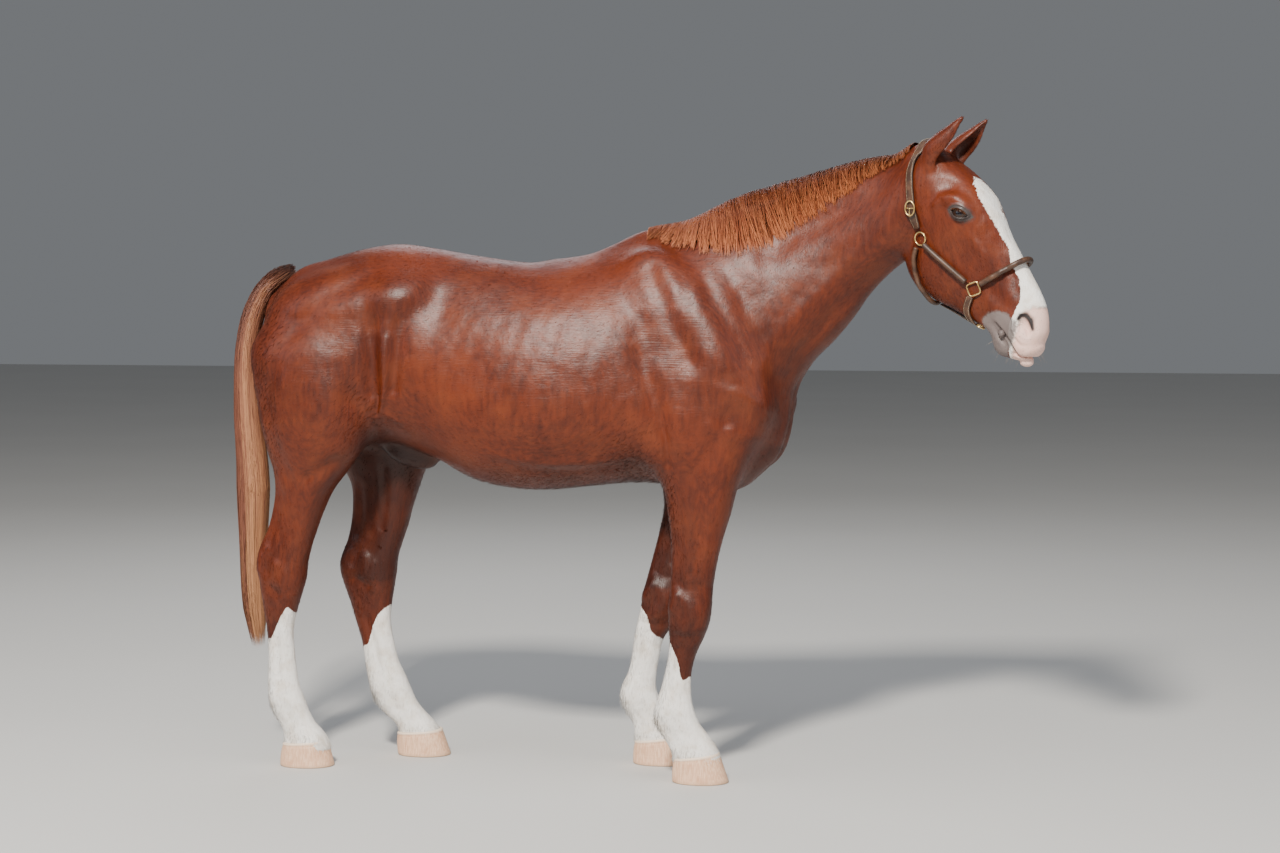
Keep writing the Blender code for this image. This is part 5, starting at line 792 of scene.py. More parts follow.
def edges_of(T):
    """The mesh's edges, and the three edge numbers of each triangle."""
    E = np.sort(np.concatenate([T[:, [0, 1]], T[:, [1, 2]], T[:, [2, 0]]]), axis=1)
    key = E[:, 0].astype(np.int64) * (T.max() + 1) + E[:, 1]
    _, first, back = np.unique(key, return_index=True, return_inverse=True)
    return E[first], back.reshape(3, -1).T

TOO_LONG = 1.35         # an edge over this many times the wanted size is split

def split_long(V, T, size):
    """Splits each edge that is too long for its place: a triangle with n cut sides becomes n + 1."""
    E, te = edges_of(T)
    middle = (V[E[:, 0]] + V[E[:, 1]]) / 2
    long = np.linalg.norm(V[E[:, 0]] - V[E[:, 1]], axis=1) > TOO_LONG * size(middle)
    new = np.full(len(E), -1)
    new[long] = len(V) + np.arange(long.sum())
    V = np.concatenate([V, middle[long]])
    m = new[te]
    cuts = (m >= 0).sum(1)
    out = [T[cuts == 0]]
    for k in (1, 2, 3):
        rows = np.flatnonzero(cuts == k)
        start = {1: np.argmax(m[rows] >= 0, axis=1), 2: (np.argmin(m[rows] >= 0, axis=1) + 1) % 3,
            3: np.zeros(len(rows), int)}[k]
        pick = lambda A, j: A[rows, (start + j) % 3]
        a, b, c = (pick(T, j) for j in range(3))
        ab, bc, ca = (pick(m, j) for j in range(3))
        if k == 1:
            out += [np.stack([a, ab, c], 1), np.stack([ab, b, c], 1)]
        elif k == 2:
            near_c = (np.linalg.norm(V[ab] - V[c], axis=1) < np.linalg.norm(V[a] - V[bc], axis=1))[:, None]
            out += [np.stack([ab, b, bc], 1), np.where(near_c, np.stack([a, ab, c], 1),
                np.stack([a, ab, bc], 1)), np.where(near_c, np.stack([ab, bc, c], 1),
                np.stack([a, bc, c], 1))]
        else:
            out += [np.stack(x, 1) for x in ((a, ab, ca), (ab, b, bc), (ca, bc, c), (ab, bc, ca))]
    return V, np.concatenate(out), bool(long.any())

def vertex_normals(V, T):
    """The mean of the faces' normals at each point, weighted by their area."""
    face = np.cross(V[T[:, 1]] - V[T[:, 0]], V[T[:, 2]] - V[T[:, 0]])
    total = np.stack([sum(np.bincount(T[:, k], face[:, d], len(V)) for k in range(3)) for d in range(3)], 1)
    return level_lengths(total)

def neighbour_mean(V, E):
    """The mean of each point's neighbours."""
    total = np.stack([np.bincount(E[:, 0], V[E[:, 1], d], len(V))
        + np.bincount(E[:, 1], V[E[:, 0], d], len(V)) for d in range(3)], 1)
    return total / np.maximum(np.bincount(E.ravel(), minlength=len(V)), 1)[:, None]

def relax(V, T):
    """Moves each point half way to its neighbours' mean, along the surface only, twice."""
    E, _ = edges_of(T)
    for _ in range(2):
        move, n = neighbour_mean(V, E) - V, vertex_normals(V, T)
        V = V + 0.5 * (move - (move * n).sum(1, keepdims=True) * n)
    return V

def press(V, T, level, reach=0.004, h=0.0008):
    """Moves each point along its normal by (field - level) / slope, at most reach at a time, twice."""
    for _ in range(2):
        n = vertex_normals(V, T)
        f = spread(field, V)
        rise = (spread(field, V + h * n) - f) / h
        V = V - np.clip((f - level) / np.maximum(rise, 0.35), -reach, reach)[:, None] * n
    return V

def soften(V, T, weight):
    """Smooths without shrinking: a step towards the neighbours and a slightly larger step back, twice."""
    E, _ = edges_of(T)
    for step in (0.55, -0.57, 0.55, -0.57):
        V = V + step * weight[:, None] * (neighbour_mean(V, E) - V)
    return V

# %% Skin mesh
COAT_DEPTH = 0.0012
GRID = (graded((-1.3, 0.8, 0.018), (0.8, 0.92, 0.01), (0.92, 1.1, 0.006), (1.1, 1.32, 0.008)),
    graded((-0.36, -0.12, 0.018), (-0.12, 0.12, 0.0075), (0.12, 0.36, 0.018)),
    graded((0.03, 1.24, 0.018), (1.24, 1.82, 0.009), (1.82, 1.965, 0.006)))

def facet_size(P):
    """How long the triangles' sides may be: small at the eye, nostril, mouth and ears, middling on
    head, legs and folds."""
    side = np.stack([P[:, 0], np.abs(P[:, 1]), P[:, 2]], 1)
    size = np.where(P[:, 0] > 0.83, 0.0086, 0.0138)
    size = np.where(P[:, 2] < 0.72, 0.0096, size)
    elbow = (np.abs(P[:, 0] - 0.08) < 0.07) & (np.abs(P[:, 2] - 0.985) < 0.075)
    flank = (np.abs(P[:, 0] + 0.73) < 0.07) & (np.abs(P[:, 2] - 1.18) < 0.14)
    size = np.where((elbow | flank) & (side[:, 1] > 0.14), 0.0062, size)
    size = np.where(np.linalg.norm(side - EYE, axis=1) < 0.055, 0.0046, size)
    size = np.where(np.linalg.norm(side - [1.215, 0.05, 1.355], axis=1) < 0.052, 0.004, size)
    size = np.where((P[:, 0] > 1.1) & (P[:, 2] < 1.385), np.minimum(size, 0.0052), size)
    size = np.where(Ridge(MOUTH, 1.0, 0.012, flat=SIDE_FLAT)(side) > 0.4, 0.003, size)
    return np.where((P[:, 2] > 1.825) & (P[:, 0] > 0.945), 0.0052, size)

skin_points, quads = surface_net(near_field(GRID), GRID, -COAT_DEPTH)
skin_faces = to_triangles(skin_points, quads)
skin_points = press(relax(skin_points, skin_faces), skin_faces, -COAT_DEPTH)
for _ in range(4):
    skin_points, skin_faces, more = split_long(skin_points, skin_faces, facet_size)
    skin_points = press(relax(skin_points, skin_faces), skin_faces, -COAT_DEPTH)
    if not more:
        break
calm = np.where(skin_points[:, 0] > 0.9, 0.35, 0.6)
skin_points = soften(skin_points, skin_faces, calm)
print("skin:", len(skin_points), "points,", len(skin_faces), "triangles")

# %% [markdown]
# ## Hollow ears, room for the eyes
# The ear's cone is pressed in from the front: a point moves towards the cone's back wall by a share of
# depth * along * exp(-(angle / width)^3), which leaves a rolled rim. Behind each pair of lids the skin is
# sunk, so that the eyeball and the lids have the opening to themselves.

# %% Ear hollows and eye sockets
BACK_WALL = -0.55       # where the hollow's back lies, in half widths of the cone

def hollow_ear(P, cone, depth=0.86, width=0.78):
    """The points of one ear with its front pressed in."""
    q = P - cone.o
    s, u, v = q @ cone.a, q @ cone.b, q @ cone.n
    c = cone.section(s)
    half, w = (c["hi"] - c["lo"]) / 2, c["w"]
    uu, vv = (u - (c["hi"] + c["lo"]) / 2) / half, (v - c["side"]) / w
    on_ear = (s > -0.002) & (np.hypot(uu, vv) < 1.5)
    along = np.sin(np.pi * np.clip((s + 0.002) / 0.158, 0, 1)) ** 0.55
    press_in = depth * along * np.exp(-(np.abs(np.arctan2(vv, uu)) / width) ** 3) * on_ear
    new = uu + press_in * (BACK_WALL - uu)
    return P + ((new - uu) * half)[:, None] * cone.b, press_in

ear_depth = np.zeros(len(skin_points))
for cone in ears:
    skin_points, pressed = hollow_ear(skin_points, cone)
    ear_depth = np.maximum(ear_depth, pressed)

SLIT_ROOF, SLIT_FLOOR = 0.0128, 0.0118      # how far the opening reaches over and under its corners
SLIT_HALF, SINK_HALF = 0.0262, 0.027        # half its length, for the lids and for the sunk skin

def disc_radius(half, rise):
    """Radius of a circle through both corners that rises so far between: (half^2 + rise^2) / (2 rise)."""
    return (half**2 + rise**2) / (2 * rise)

def almond(P):
    """Negative inside the opening between the lids: where two discs overlap, seen from the side."""
    q = P - EYE * [1, 0, 1]
    a, b = q @ EYE_LONG, q @ EYE_UP
    roof, floor = SLIT_ROOF, SLIT_FLOOR
    r1, r2 = disc_radius(SINK_HALF, roof), disc_radius(SINK_HALF, floor)
    return np.maximum(np.hypot(a, b - roof + r1) - r1, np.hypot(a, b + floor - r2) - r2)

by_eye = (np.abs(skin_points[:, 1]) > 0.03) & (np.linalg.norm(np.abs(skin_points) - EYE, axis=1) < 0.07)
eye_sink = by_eye * (0.015 * (1 - ramp(almond(skin_points), -0.001, 0.007))
    + 0.004 * (1 - ramp(almond(skin_points), 0.004, 0.018)))
skin_points[:, 1] -= np.sign(skin_points[:, 1]) * eye_sink

# %% [markdown]
# ## The turned neck
# The horse is modelled straight and then its neck is bent: everything ahead of the shoulder follows an arc
# to the right, and the head keeps its shape beyond it.

# %% Bend
TURN_START, TURN_END, TURN = 0.3, 0.86, np.radians(24.0)

def place(P):
    """From the straight horse to the standing one."""
    x, y, z = P[..., 0], P[..., 1], P[..., 2]
    radius = (TURN_END - TURN_START) / TURN
    phi = np.clip((x - TURN_START) / radius, 0, TURN)
    ahead = np.maximum(x - TURN_END, 0)
    turned_x = np.where(x > TURN_START, TURN_START + radius * np.sin(phi), x) + ahead * np.cos(TURN)
    turned_y = -radius * (1 - np.cos(phi)) - ahead * np.sin(TURN)
    return np.stack([turned_x + y * np.sin(phi), turned_y + y * np.cos(phi), z], -1) + SHIFT

def place_direction(P, D, h=0.001):
    """A direction at a point of the straight horse, as it lies on the standing one."""
    return level_lengths(place(P + h * D) - place(P - h * D))

# %% [markdown]
# ## Markings
# A chestnut horse with four white socks and a blaze. Each marking is a signed distance worked out from the
# straight horse's own sizes, positive inside, so the same function colours the skin's points and every
# tuft's root, and the edge between colours can be made hairy in the material. Three more numbers go with
# it: pink skin, grey skin, and painted shade in folds, under the belly and between the legs, with darker
# lower legs; a fourth holds the sheath's dark skin and the painted shade in nostrils and along the mouth.

# %% Markings of a point
NEAR_EDGE = ([0.06, 0.1, 0.114, 0.181, 0.3, 0.358, 0.391, 0.448, 0.501, 0.528, 0.545, 0.6, 0.66],
    [0.12, 0.09, 0.0644, 0.0733, 0.0796, 0.0834, 0.0742, 0.0771, 0.0584, 0.0321, 0.01, -0.028, -0.06])
FAR_EDGE = ([0.06, 0.1, 0.114, 0.18, 0.234, 0.28, 0.35, 0.448, 0.501, 0.528, 0.545, 0.6, 0.66],
    [0.12, 0.09, 0.066, 0.08, 0.088, 0.085, 0.08, 0.075, 0.0584, 0.0321, 0.0, -0.04, -0.075])

def blaze(P):
    """How far inside the white of the face: how much further forward than its edge, at that distance
    from the poll."""
    s, u = (P - HEAD_O) @ HEAD_A, (P - HEAD_O) @ HEAD_B
    edge = np.where(P[:, 1] < 0.004, np.interp(s, *NEAR_EDGE), np.interp(s, *FAR_EDGE))
    return np.where((P[:, 0] > 0.95) & (s > 0.06), u - edge, -0.1)

SOCKS = ((fore_near, -1, ([-1, -0.5, 0, 0.45, 1], [0.425, 0.39, 0.35, 0.305, 0.315])),
    (fore_far, 1, ([-1, -0.5, 0, 0.5, 1], [0.49, 0.462, 0.415, 0.4, 0.385])),
    (hind_near, -1, ([-1, -0.5, 0, 0.6, 1], [0.385, 0.395, 0.435, 0.495, 0.47])),
    (hind_far, 1, ([-1, -0.5, 0, 0.6, 1], [0.335, 0.345, 0.395, 0.45, 0.47])))

GREY_LIPS = [(1.08, 1.38), (1.1, 1.395), (1.13, 1.404), (1.164, 1.397), (1.184, 1.375), (1.19, 1.347),
    (1.184, 1.322), (1.172, 1.303), (1.160, 1.290), (1.158, 1.270), (1.140, 1.255), (1.105, 1.270),
    (1.090, 1.310), (1.080, 1.350)]
NOSTRIL_SHADE = Ridge([(1.2, 0.05, 1.38), (1.206, 0.049, 1.39), (1.22, 0.045, 1.391), (1.233, 0.042, 1.376),
    (1.239, 0.04, 1.352)], 1.6, [0.004, 0.006, 0.0075, 0.0075, 0.004], flat=0.25)
MOUTH_SHADE = Ridge(MOUTH, [0.7, 1.1, 1.1, 1.1, 0.9], 0.0034, flat=0.25)

def inside(P, outline):
    """How far inside an outline drawn on the horse's side each point is: the distance to its nearest
    edge."""
    q, best, odd = P[:, [0, 2]], np.full(len(P), 9.0), np.zeros(len(P), bool)
    for a, b in zip(np.array(outline), np.roll(outline, -1, axis=0)):
        t = np.clip((q - a) @ (b - a) / ((b - a) @ (b - a)), 0, 1)
        best = np.minimum(best, np.linalg.norm(q - a - t[:, None] * (b - a), axis=1))
        crossed = (a[1] > q[:, 1]) != (b[1] > q[:, 1])
        rise = np.where(b[1] == a[1], 1.0, b[1] - a[1])
        odd ^= crossed & (q[:, 0] < a[0] + (q[:, 1] - a[1]) * (b[0] - a[0]) / rise)
    return np.where(odd, best, -best)

def socks(P):
    """How far below the top of a white sock, whose height changes from the back to the front of the leg."""
    out = np.full(len(P), -0.1)
    for loft, sign, (around, height) in SOCKS:
        c = loft.section(np.clip(P[:, 2], 0.06, 1.0))
        t = (P[:, 0] - (c["hi"] + c["lo"]) / 2) / ((c["hi"] - c["lo"]) / 2)
        own = (P[:, 2] < 0.62) & (P[:, 1] * sign > 0) & (np.abs(t) < 1.8)
        out = np.where(own, np.interp(t, around, height) - P[:, 2], out)
    return out

def markings(P):
    """White, pink, grey, painted shade with darker lower legs, and dark sheath skin with painted shade in
    nostrils and mouth line, at each point of the straight horse.
    """
    near_side = np.stack([P[:, 0], np.abs(P[:, 1]), P[:, 2]], 1)
    x, y, z = near_side.T
    white = np.maximum(blaze(P), socks(P))
    muzzle = ramp(x + 0.35 * (1.4 - z), 1.19, 1.235) * ramp(z, 1.43, 1.395)
    pink = muzzle * ramp(blaze(P), -0.006, 0.006)
    nostril = np.exp(-(np.linalg.norm((near_side - [1.22, 0.045, 1.357]) / [0.03, 0.022, 0.04],
        axis=1) ** 2))
    pink = np.maximum(pink, 0.9 * nostril)
    lid = np.where(x > 0.9, ramp(almond(near_side), 0.0085, 0.001), 0) * ramp(y, 0.05, 0.07)
    corner = 0.85 * ramp(inside(P, GREY_LIPS), -0.02, 0.018) * ramp(y, 0.006, 0.022)
    rim = np.exp(-(np.linalg.norm((near_side - [1.19, 0.052, 1.357]) / [0.01, 0.02, 0.028], axis=1) ** 2))
    grey = np.maximum(lid, np.maximum(corner, 0.8 * rim))
    sheath = np.exp(-(((x + 0.73) / 0.1) ** 2 + (y / 0.07) ** 2 + ((z - 0.955) / 0.065) ** 2) * 1.4)
    # painted shade under the belly, at the elbows, between the legs, in the groin and at the throat
    belly = 0.6 * ramp(z, 0.935, 0.875) * (x < 0.2) * (x > -0.7) + ramp(z, 1.1, 0.93) * ramp(-x, 0.55,
        0.75) * ramp(y, 0.1, 0.03)
    elbow = np.exp(-(((x - 0.02) / 0.05) ** 2 + ((z - 0.93) / 0.09) ** 2))
    between = ramp(y, 0.13, 0.06) * ((z > 0.55) & (z < 1.0))
    groin = np.exp(-(((x + 0.8) / 0.1) ** 2 + ((z - 1.0) / 0.12) ** 2)) * ramp(y, 0.22, 0.12)
    throat = np.exp(-(((x - 0.86) / 0.03) ** 2 + ((z - 1.53) / 0.07) ** 2))
    # the painted shade summed, and the lower legs made darker by the last term
    dark = np.clip(0.55 * belly + 0.55 * elbow + 0.6 * between + 0.9 * groin + 0.5 * throat
        + 0.25 * ramp(z, 0.75, 0.5), 0, 1)
    tip = np.exp(-(((x - 1.203) / 0.03) ** 2 + ((z - 1.252) / 0.016) ** 2))
    pink = np.maximum(pink, tip)
    # painted shade inside the nostrils and along the mouth line, in the sheath's dark colour
    sheath = np.maximum(sheath, np.maximum(NOSTRIL_SHADE(near_side), MOUTH_SHADE(near_side)))
    return dict(white=white, pink=np.clip(pink, 0, 1), grey=np.clip(grey, 0, 1), dark=dark,
        sheath=np.clip(sheath, 0, 1))

# %% [markdown]
# ## Which way the hair lies
# Hair on a horse runs back along the barrel, down the neck and legs, and down the face from a whorl on the
# forehead. A few directions, each strongest about its own place, are mixed and laid flat on the skin.

# %% Lie of the coat
LIE = [((-0.3, 0, 1.25), 0.45, (-1.0, 0, -0.28)), ((-0.55, 0, 1.05), 0.25, (-1.0, 0, -0.1)),
    ((-0.9, 0, 1.35), 0.22, (-0.72, 0, -0.7)), ((-0.95, 0, 1.05), 0.2, (-0.45, 0, -0.9)),
    ((0.1, 0, 1.45), 0.22, (-0.62, 0, -0.78)), ((0.25, 0, 1.15), 0.22, (-0.25, 0, -0.97)),
    ((0.42, 0, 1.1), 0.14, (0.1, 0, -1.0)), ((0.5, 0, 1.45), 0.2, (-0.62, 0, -0.78)),
    ((0.75, 0, 1.62), 0.16, (-0.7, 0, -0.7)), ((0.92, 0, 1.6), 0.11, (-0.25, 0, -0.97)),
    ((1.02, 0, 1.72), 0.08, (0.3, 0, -0.95)), ((1.1, 0, 1.55), 0.1, (0.38, 0, -0.92)),
    ((1.2, 0, 1.38), 0.1, (0.3, 0, -0.95)), ((1.0, 0, 1.86), 0.06, (0.62, 0, 0.72)),
    ((0.93, 0, 1.83), 0.05, (-0.4, 0, 0.2))]

def lie(P, N):
    """The hair's direction at each point: sum of direction * exp(-(distance / reach)^2), less its part
    along the normal."""
    total = np.zeros_like(P) + [0, 0, -0.02]
    for centre, reach, way in LIE:
        q = (P - centre) * [1, 0, 1]
        total += np.exp(-((q * q).sum(1) / reach**2))[:, None] * unit(way)
    low = ramp(P[:, 2], 0.95, 0.75)[:, None]
    total = level_lengths(total) * (1 - low) + low * np.array([0.0, 0, -1.0])
    total = total - (total * N).sum(1, keepdims=True) * N
    return level_lengths(total)

# %% [markdown]
# ## Shader maths as sums
# A material is a net of nodes. Wiring each Math node by hand hides what is meant, so a socket is wrapped in
# a small class that adds, subtracts and multiplies, and one method adds any other node.

# %% Sockets that add up, and a finish
class Number:
    """A shader value: +, - and * add Math nodes."""
    def __init__(self, finish, socket):
        self.finish, self.socket = finish, socket

    def math(self, operation, *values):
        """A Math node fed with these values."""
        return self.finish.node("ShaderNodeMath", dict(operation=operation),
            **{str(i): v for i, v in enumerate(values)})

    def __add__(self, other):
        return self.math("ADD", self, other)

    def __radd__(self, other):
        return self.math("ADD", other, self)

    def __sub__(self, other):
        return self.math("SUBTRACT", self, other)

    def __rsub__(self, other):
        return self.math("SUBTRACT", other, self)

    def __mul__(self, other):
        return self.math("MULTIPLY", self, other)

    def __rmul__(self, other):
        return self.math("MULTIPLY", other, self)

    def larger(self, other):
        return self.math("MAXIMUM", self, other)

    def rise(self, low, high):
        """0 below low, 1 above high, and an S between."""
        return self.finish.node("ShaderNodeMapRange", dict(interpolation_type="SMOOTHSTEP"),
            **{"Value": self, "From Min": low, "From Max": high, "To Min": 0.0, "To Max": 1.0})

class Finish:
    """A material with one Principled shader, and a method that adds any node to it."""
    def __init__(self, name, **constants):
        self.material = bpy.data.materials.new(name)
        self.material.use_nodes = True
        self.tree = self.material.node_tree
        self.shader = self.tree.nodes["Principled BSDF"]
        for socket, value in constants.items():
            self.shader.inputs[socket.replace("_", " ")].default_value = value

    def plug(self, target, value):
        """Links a shader value to a socket, or sets the socket's own number or colour."""
        if isinstance(value, Number):
            self.tree.links.new(value.socket, target)
        elif target.type == "RGBA" and len(value) == 3:
            target.default_value = (*value, 1.0)
        else:
            target.default_value = value

    def node(self, kind, settings=None, output=0, **sockets):
        """A node of that type: its settings first, then its sockets by name or number. Gives one output."""
        made = self.tree.nodes.new(kind)
        for key, value in (settings or {}).items():
            setattr(made, key, value)
        for key, value in sockets.items():
            if key.isdigit():
                self.plug(made.inputs[int(key)], value)
            else:
                found = [s for s in made.inputs if s.name == key and s.enabled]
                self.plug(found[0], value)
        outputs = [s for s in made.outputs if s.enabled]
        return Number(self, outputs[output] if isinstance(output, int) else made.outputs[output])

    def attribute(self, name):
        """A number kept on the mesh's points."""
        return self.node("ShaderNodeAttribute", dict(attribute_name=name), output="Fac")

    def place(self, scale=(1, 1, 1), turn=(0, 0, 0)):
        """Object coordinates, scaled and turned."""
        at = self.node("ShaderNodeTexCoord", output="Object")
        return self.node("ShaderNodeMapping", Vector=at, Scale=scale, Rotation=turn)

    def noise(self, at, scale, detail=3.0, roughness=0.55):
        """Soft noise in 0..1 with so many lumps in a metre."""
        return self.node("ShaderNodeTexNoise", Vector=at, Scale=scale, Detail=detail, Roughness=roughness)

    def mix(self, share, first, second):
        """Colour first where share is 0, second where it is 1."""
        return self.node("ShaderNodeMix", dict(data_type="RGBA"), Factor=share, A=first, B=second)

    def bump(self, height, distance, strength=1.0, under=None):
        """A bumped normal; under is the bump that it lies on."""
        more = {} if under is None else {"Normal": under}
        return self.node("ShaderNodeBump", Height=height, Distance=distance, Strength=strength, **more)

    def show(self, **sockets):
        """Feeds the Principled shader's sockets by name."""
        for key, value in sockets.items():
            self.plug(self.shader.inputs[key.replace("_", " ")], value)

# %% [markdown]
# ## Meshes from arrays
# Points and faces are worked out as whole arrays, and foreach_set hands them over at once. Attributes carry
# the markings, and the map OFBake gives each small piece its own place for baking.

# %% Mesh maker
def corner_normals(V, face_sets, normals):
    """Each corner's normal: its point's, or its face's own where the two would face opposite ways."""
    out = []
    for f in face_sets:
        own = level_lengths(np.cross(V[f[:, 1]] - V[f[:, 0]], V[f[:, 2]] - V[f[:, 0]]))[:, None]
        given = normals[f]
        out.append(np.where(((given * own).sum(-1) < 0.05)[..., None], own, given).reshape(-1, 3))
    return np.concatenate(out)

def make_mesh(name, V, face_sets, finish, attributes=None, corner_uv=None, normals=None,
        replaces=()):
    """An object at the origin from points and lists of equal-sided faces, riding on the body. Hair gives
    its own normals, so that a strand is lit as the coat that it lies in."""
    faces = [np.asarray(f, np.int32) for f in face_sets if len(f)]
    loops = np.concatenate([f.ravel() for f in faces])
    sizes = np.concatenate([np.full(len(f), f.shape[1]) for f in faces])
    mesh = bpy.data.meshes.new(name)
    mesh.vertices.add(len(V))
    mesh.vertices.foreach_set("co", np.asarray(V, np.float32).ravel())
    mesh.loops.add(len(loops))
    mesh.loops.foreach_set("vertex_index", loops)
    mesh.polygons.add(len(sizes))
    mesh.polygons.foreach_set("loop_start", (np.cumsum(sizes) - sizes).astype(np.int32))
    mesh.polygons.foreach_set("use_smooth", np.ones(len(sizes), bool))
    mesh.update(calc_edges=True)
    if normals is not None:
        free = mesh.attributes.new("custom_normal", "FLOAT_VECTOR", "CORNER")
        free.data.foreach_set("vector", corner_normals(V, faces, normals).astype(np.float32).ravel())
    for key, values in (attributes or {}).items():
        mesh.attributes.new(key, "FLOAT", "POINT").data.foreach_set("value", np.asarray(values, np.float32))
    if corner_uv is not None:
        mesh.uv_layers.new(name="OFBake").data.foreach_set("uv",
            np.asarray(corner_uv[loops], np.float32).ravel())
    mesh.materials.append(finish)
    made = bpy.data.objects.new(name, mesh)
    bpy.context.scene.collection.objects.link(made)
    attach(made, "root")
    if replaces:
        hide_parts(*replaces)
    print(name + ":", len(V), "points,", int((sizes - 2).sum()), "triangles")
    return made

def strands(path, side, up, half_width, half_thick, corners=3, lean=0.45):
    """Closed tapering strands. path is (n, m, 3); its last point is the tip. Rings of corners points go
    round the others: path + side * half_width * cos(a) + up * half_thick * sin(a). Gives points, faces, how
    far along and around each point is, the points of one strand, and normals that lean from up towards each
    side."""
    n, m = path.shape[:2]
    a = np.pi / 2 + 2 * np.pi * np.arange(corners) / corners
    ring = (path[:, :-1, None] + side[:, :-1, None] * (half_width[:, :-1, None] * np.cos(a))[..., None]
        + up[:, :-1, None] * (half_thick[:, :-1, None] * np.sin(a))[..., None])
    per = (m - 1) * corners + 1
    V = np.concatenate([ring.reshape(n, -1, 3), path[:, -1:]], 1).reshape(-1, 3)
    k = np.arange(corners)
    ahead = (k + 1) % corners
    quad = np.concatenate([np.stack([k, corners + k, corners + ahead, ahead], 1) + i * corners
        for i in range(m - 2)])
    tip = np.stack([k, np.full(corners, corners), ahead], 1) + (m - 2) * corners
    start = (np.arange(n) * per)[:, None, None]
    butt = (np.arange(n) * per)[:, None] + k
    faces = [(start + quad).reshape(-1, 4), (start + tip).reshape(-1, 3), butt]
    along = np.tile(np.concatenate([np.repeat(np.arange(m - 1) / (m - 1), corners), [1.0]]), n)
    around = np.tile(np.concatenate([np.tile(np.cos(a), m - 1), [0.0]]), n)
    tilted = up[:, :-1, None] + lean * side[:, :-1, None] * np.cos(a)[:, None]
    normals = level_lengths(np.concatenate([tilted.reshape(n, -1, 3), up[:, -1:]], 1).reshape(-1, 3))
    return V, faces, along, around, per, normals

# %% [markdown]
# ## An unwrap of the skin
# Baking needs a flat map. Each limb is a tube, so it unrolls about its own axis: angle across, length
# along. The charts of trunk, neck, head and legs lie side by side in the unit square.

# %% Unwrap
def unwrap(P):
    """A place on the unit square for each point: angle about the limb's own axis and length along it."""
    x, y, z = P.T
    chart = lambda angle, along, box: np.stack([box[0]
        + (box[2] - box[0]) * np.clip(angle / (2 * np.pi) + 0.5, 0, 1),
        box[1] + (box[3] - box[1]) * np.clip(along, 0, 1)], 1)
    out = chart(np.arctan2(y, z - 1.22), (x + 1.3) / 1.75, (0.01, 0.01, 0.49, 0.56))
    s, u = (P - NECK_O) @ unit(NECK_A), (P - NECK_O) @ unit(NECK_B)
    out = np.where(((x > 0.36) & (s > 0.02))[:, None],
        chart(np.arctan2(y, u), s / 0.75, (0.51, 0.01, 0.73, 0.3)), out)
    s, u = (P - HEAD_O) @ HEAD_A, (P - HEAD_O) @ HEAD_B
    out = np.where((x > 0.86)[:, None], chart(np.arctan2(y, u + 0.03), (s + 0.14) / 0.8,
        (0.51, 0.32, 0.99, 0.8)), out)
    for k, (loft, sign, _) in enumerate(SOCKS):
        c = loft.section(np.clip(z, 0.06, 1.0))
        own = (z < 0.9) & (y * sign > 0) & (np.abs(x - (c["hi"] + c["lo"]) / 2) < 0.16)
        box = (0.01 + 0.12 * k, 0.58, 0.12 + 0.12 * k, 0.99)
        out = np.where(own[:, None], chart(np.arctan2(y - c["side"], x - (c["hi"] + c["lo"]) / 2), z / 0.9,
            box), out)
    return out

PATCH = 0.0015
def patch_uv(root_uv, along, around, per):
    """Every strand's own patch, 0.003 across, at its root's place."""
    return np.clip(np.repeat(root_uv, per, axis=0) + PATCH * np.stack([around, 2 * along - 1], 1), 0.001,
        0.999)

# %% [markdown]
# ## The coat's colour
# Chestnut is a red-brown that shifts between copper and liver, so two noises mix it. White hair is warm and
# slightly stained. The masks come from the markings, and noise frays their edges. Skin and tufts share this
# one recipe, so a tuft never shows a colour that its root doesn't have.

# %% Coat colour
def coat_colour(f, at, tuft):
    """Base colour from the markings: chestnut, then painted shade in folds and darker lower legs, grey
    skin, pink skin, and white over them; last the sheath's dark skin and the painted shade of nostrils
    and mouth."""
    fine, broad = f.noise(at, 160.0, 2.0), f.noise(at, 3.2, 3.0)
    streak = f.noise(f.place((60, 220, 14)), 1.0, 2.0)
    tone = (broad * 0.55 + streak * 0.45).rise(0.3, 0.7)
    colour = f.mix(tone, (0.05, 0.0072, 0.002), (0.128, 0.0205, 0.0044))
    colour = f.mix(f.noise(at, 11.0, 4.0).rise(0.42, 0.75) * 0.35, colour, (0.185, 0.039, 0.0095))
    # painted shade in folds, under the belly, between the legs and in the ear hollows; darker lower legs
    colour = f.mix(f.attribute("dark") * 0.7, colour, (0.022, 0.0048, 0.0022))
    fray = (fine - 0.5) * 0.01 + (f.noise(at, 45.0, 2.0) - 0.5) * 0.008
    white = (f.attribute("white") + fray).rise(-0.0012, 0.0018)
    grey = (f.attribute("grey") + (fine - 0.5) * 0.35).rise(0.3, 0.62)
    pink = (f.attribute("pink") + (f.noise(at, 70.0, 3.0) - 0.5) * 0.7).rise(0.25, 0.8)
    snow = f.mix(f.noise(at, 26.0, 3.0).rise(0.4, 0.75) * 0.65, (0.83, 0.8, 0.755), (0.62, 0.535, 0.44))
    colour = f.mix(white, colour, snow)
    colour = f.mix(pink * 0.72, colour, (0.74, 0.4, 0.32))
    colour = f.mix(grey * 0.93, colour, (0.165, 0.135, 0.128))
    if not tuft:
        speck = f.noise(at, 240.0, 2.0).rise(0.62, 0.7) * pink
        colour = f.mix(speck * 0.5, colour, (0.2, 0.13, 0.12))
    # the sheath's dark skin, and painted shade inside the nostrils and along the mouth line
    colour = f.mix(f.attribute("sheath"), colour, (0.018, 0.012, 0.012))
    return colour, white, grey, pink

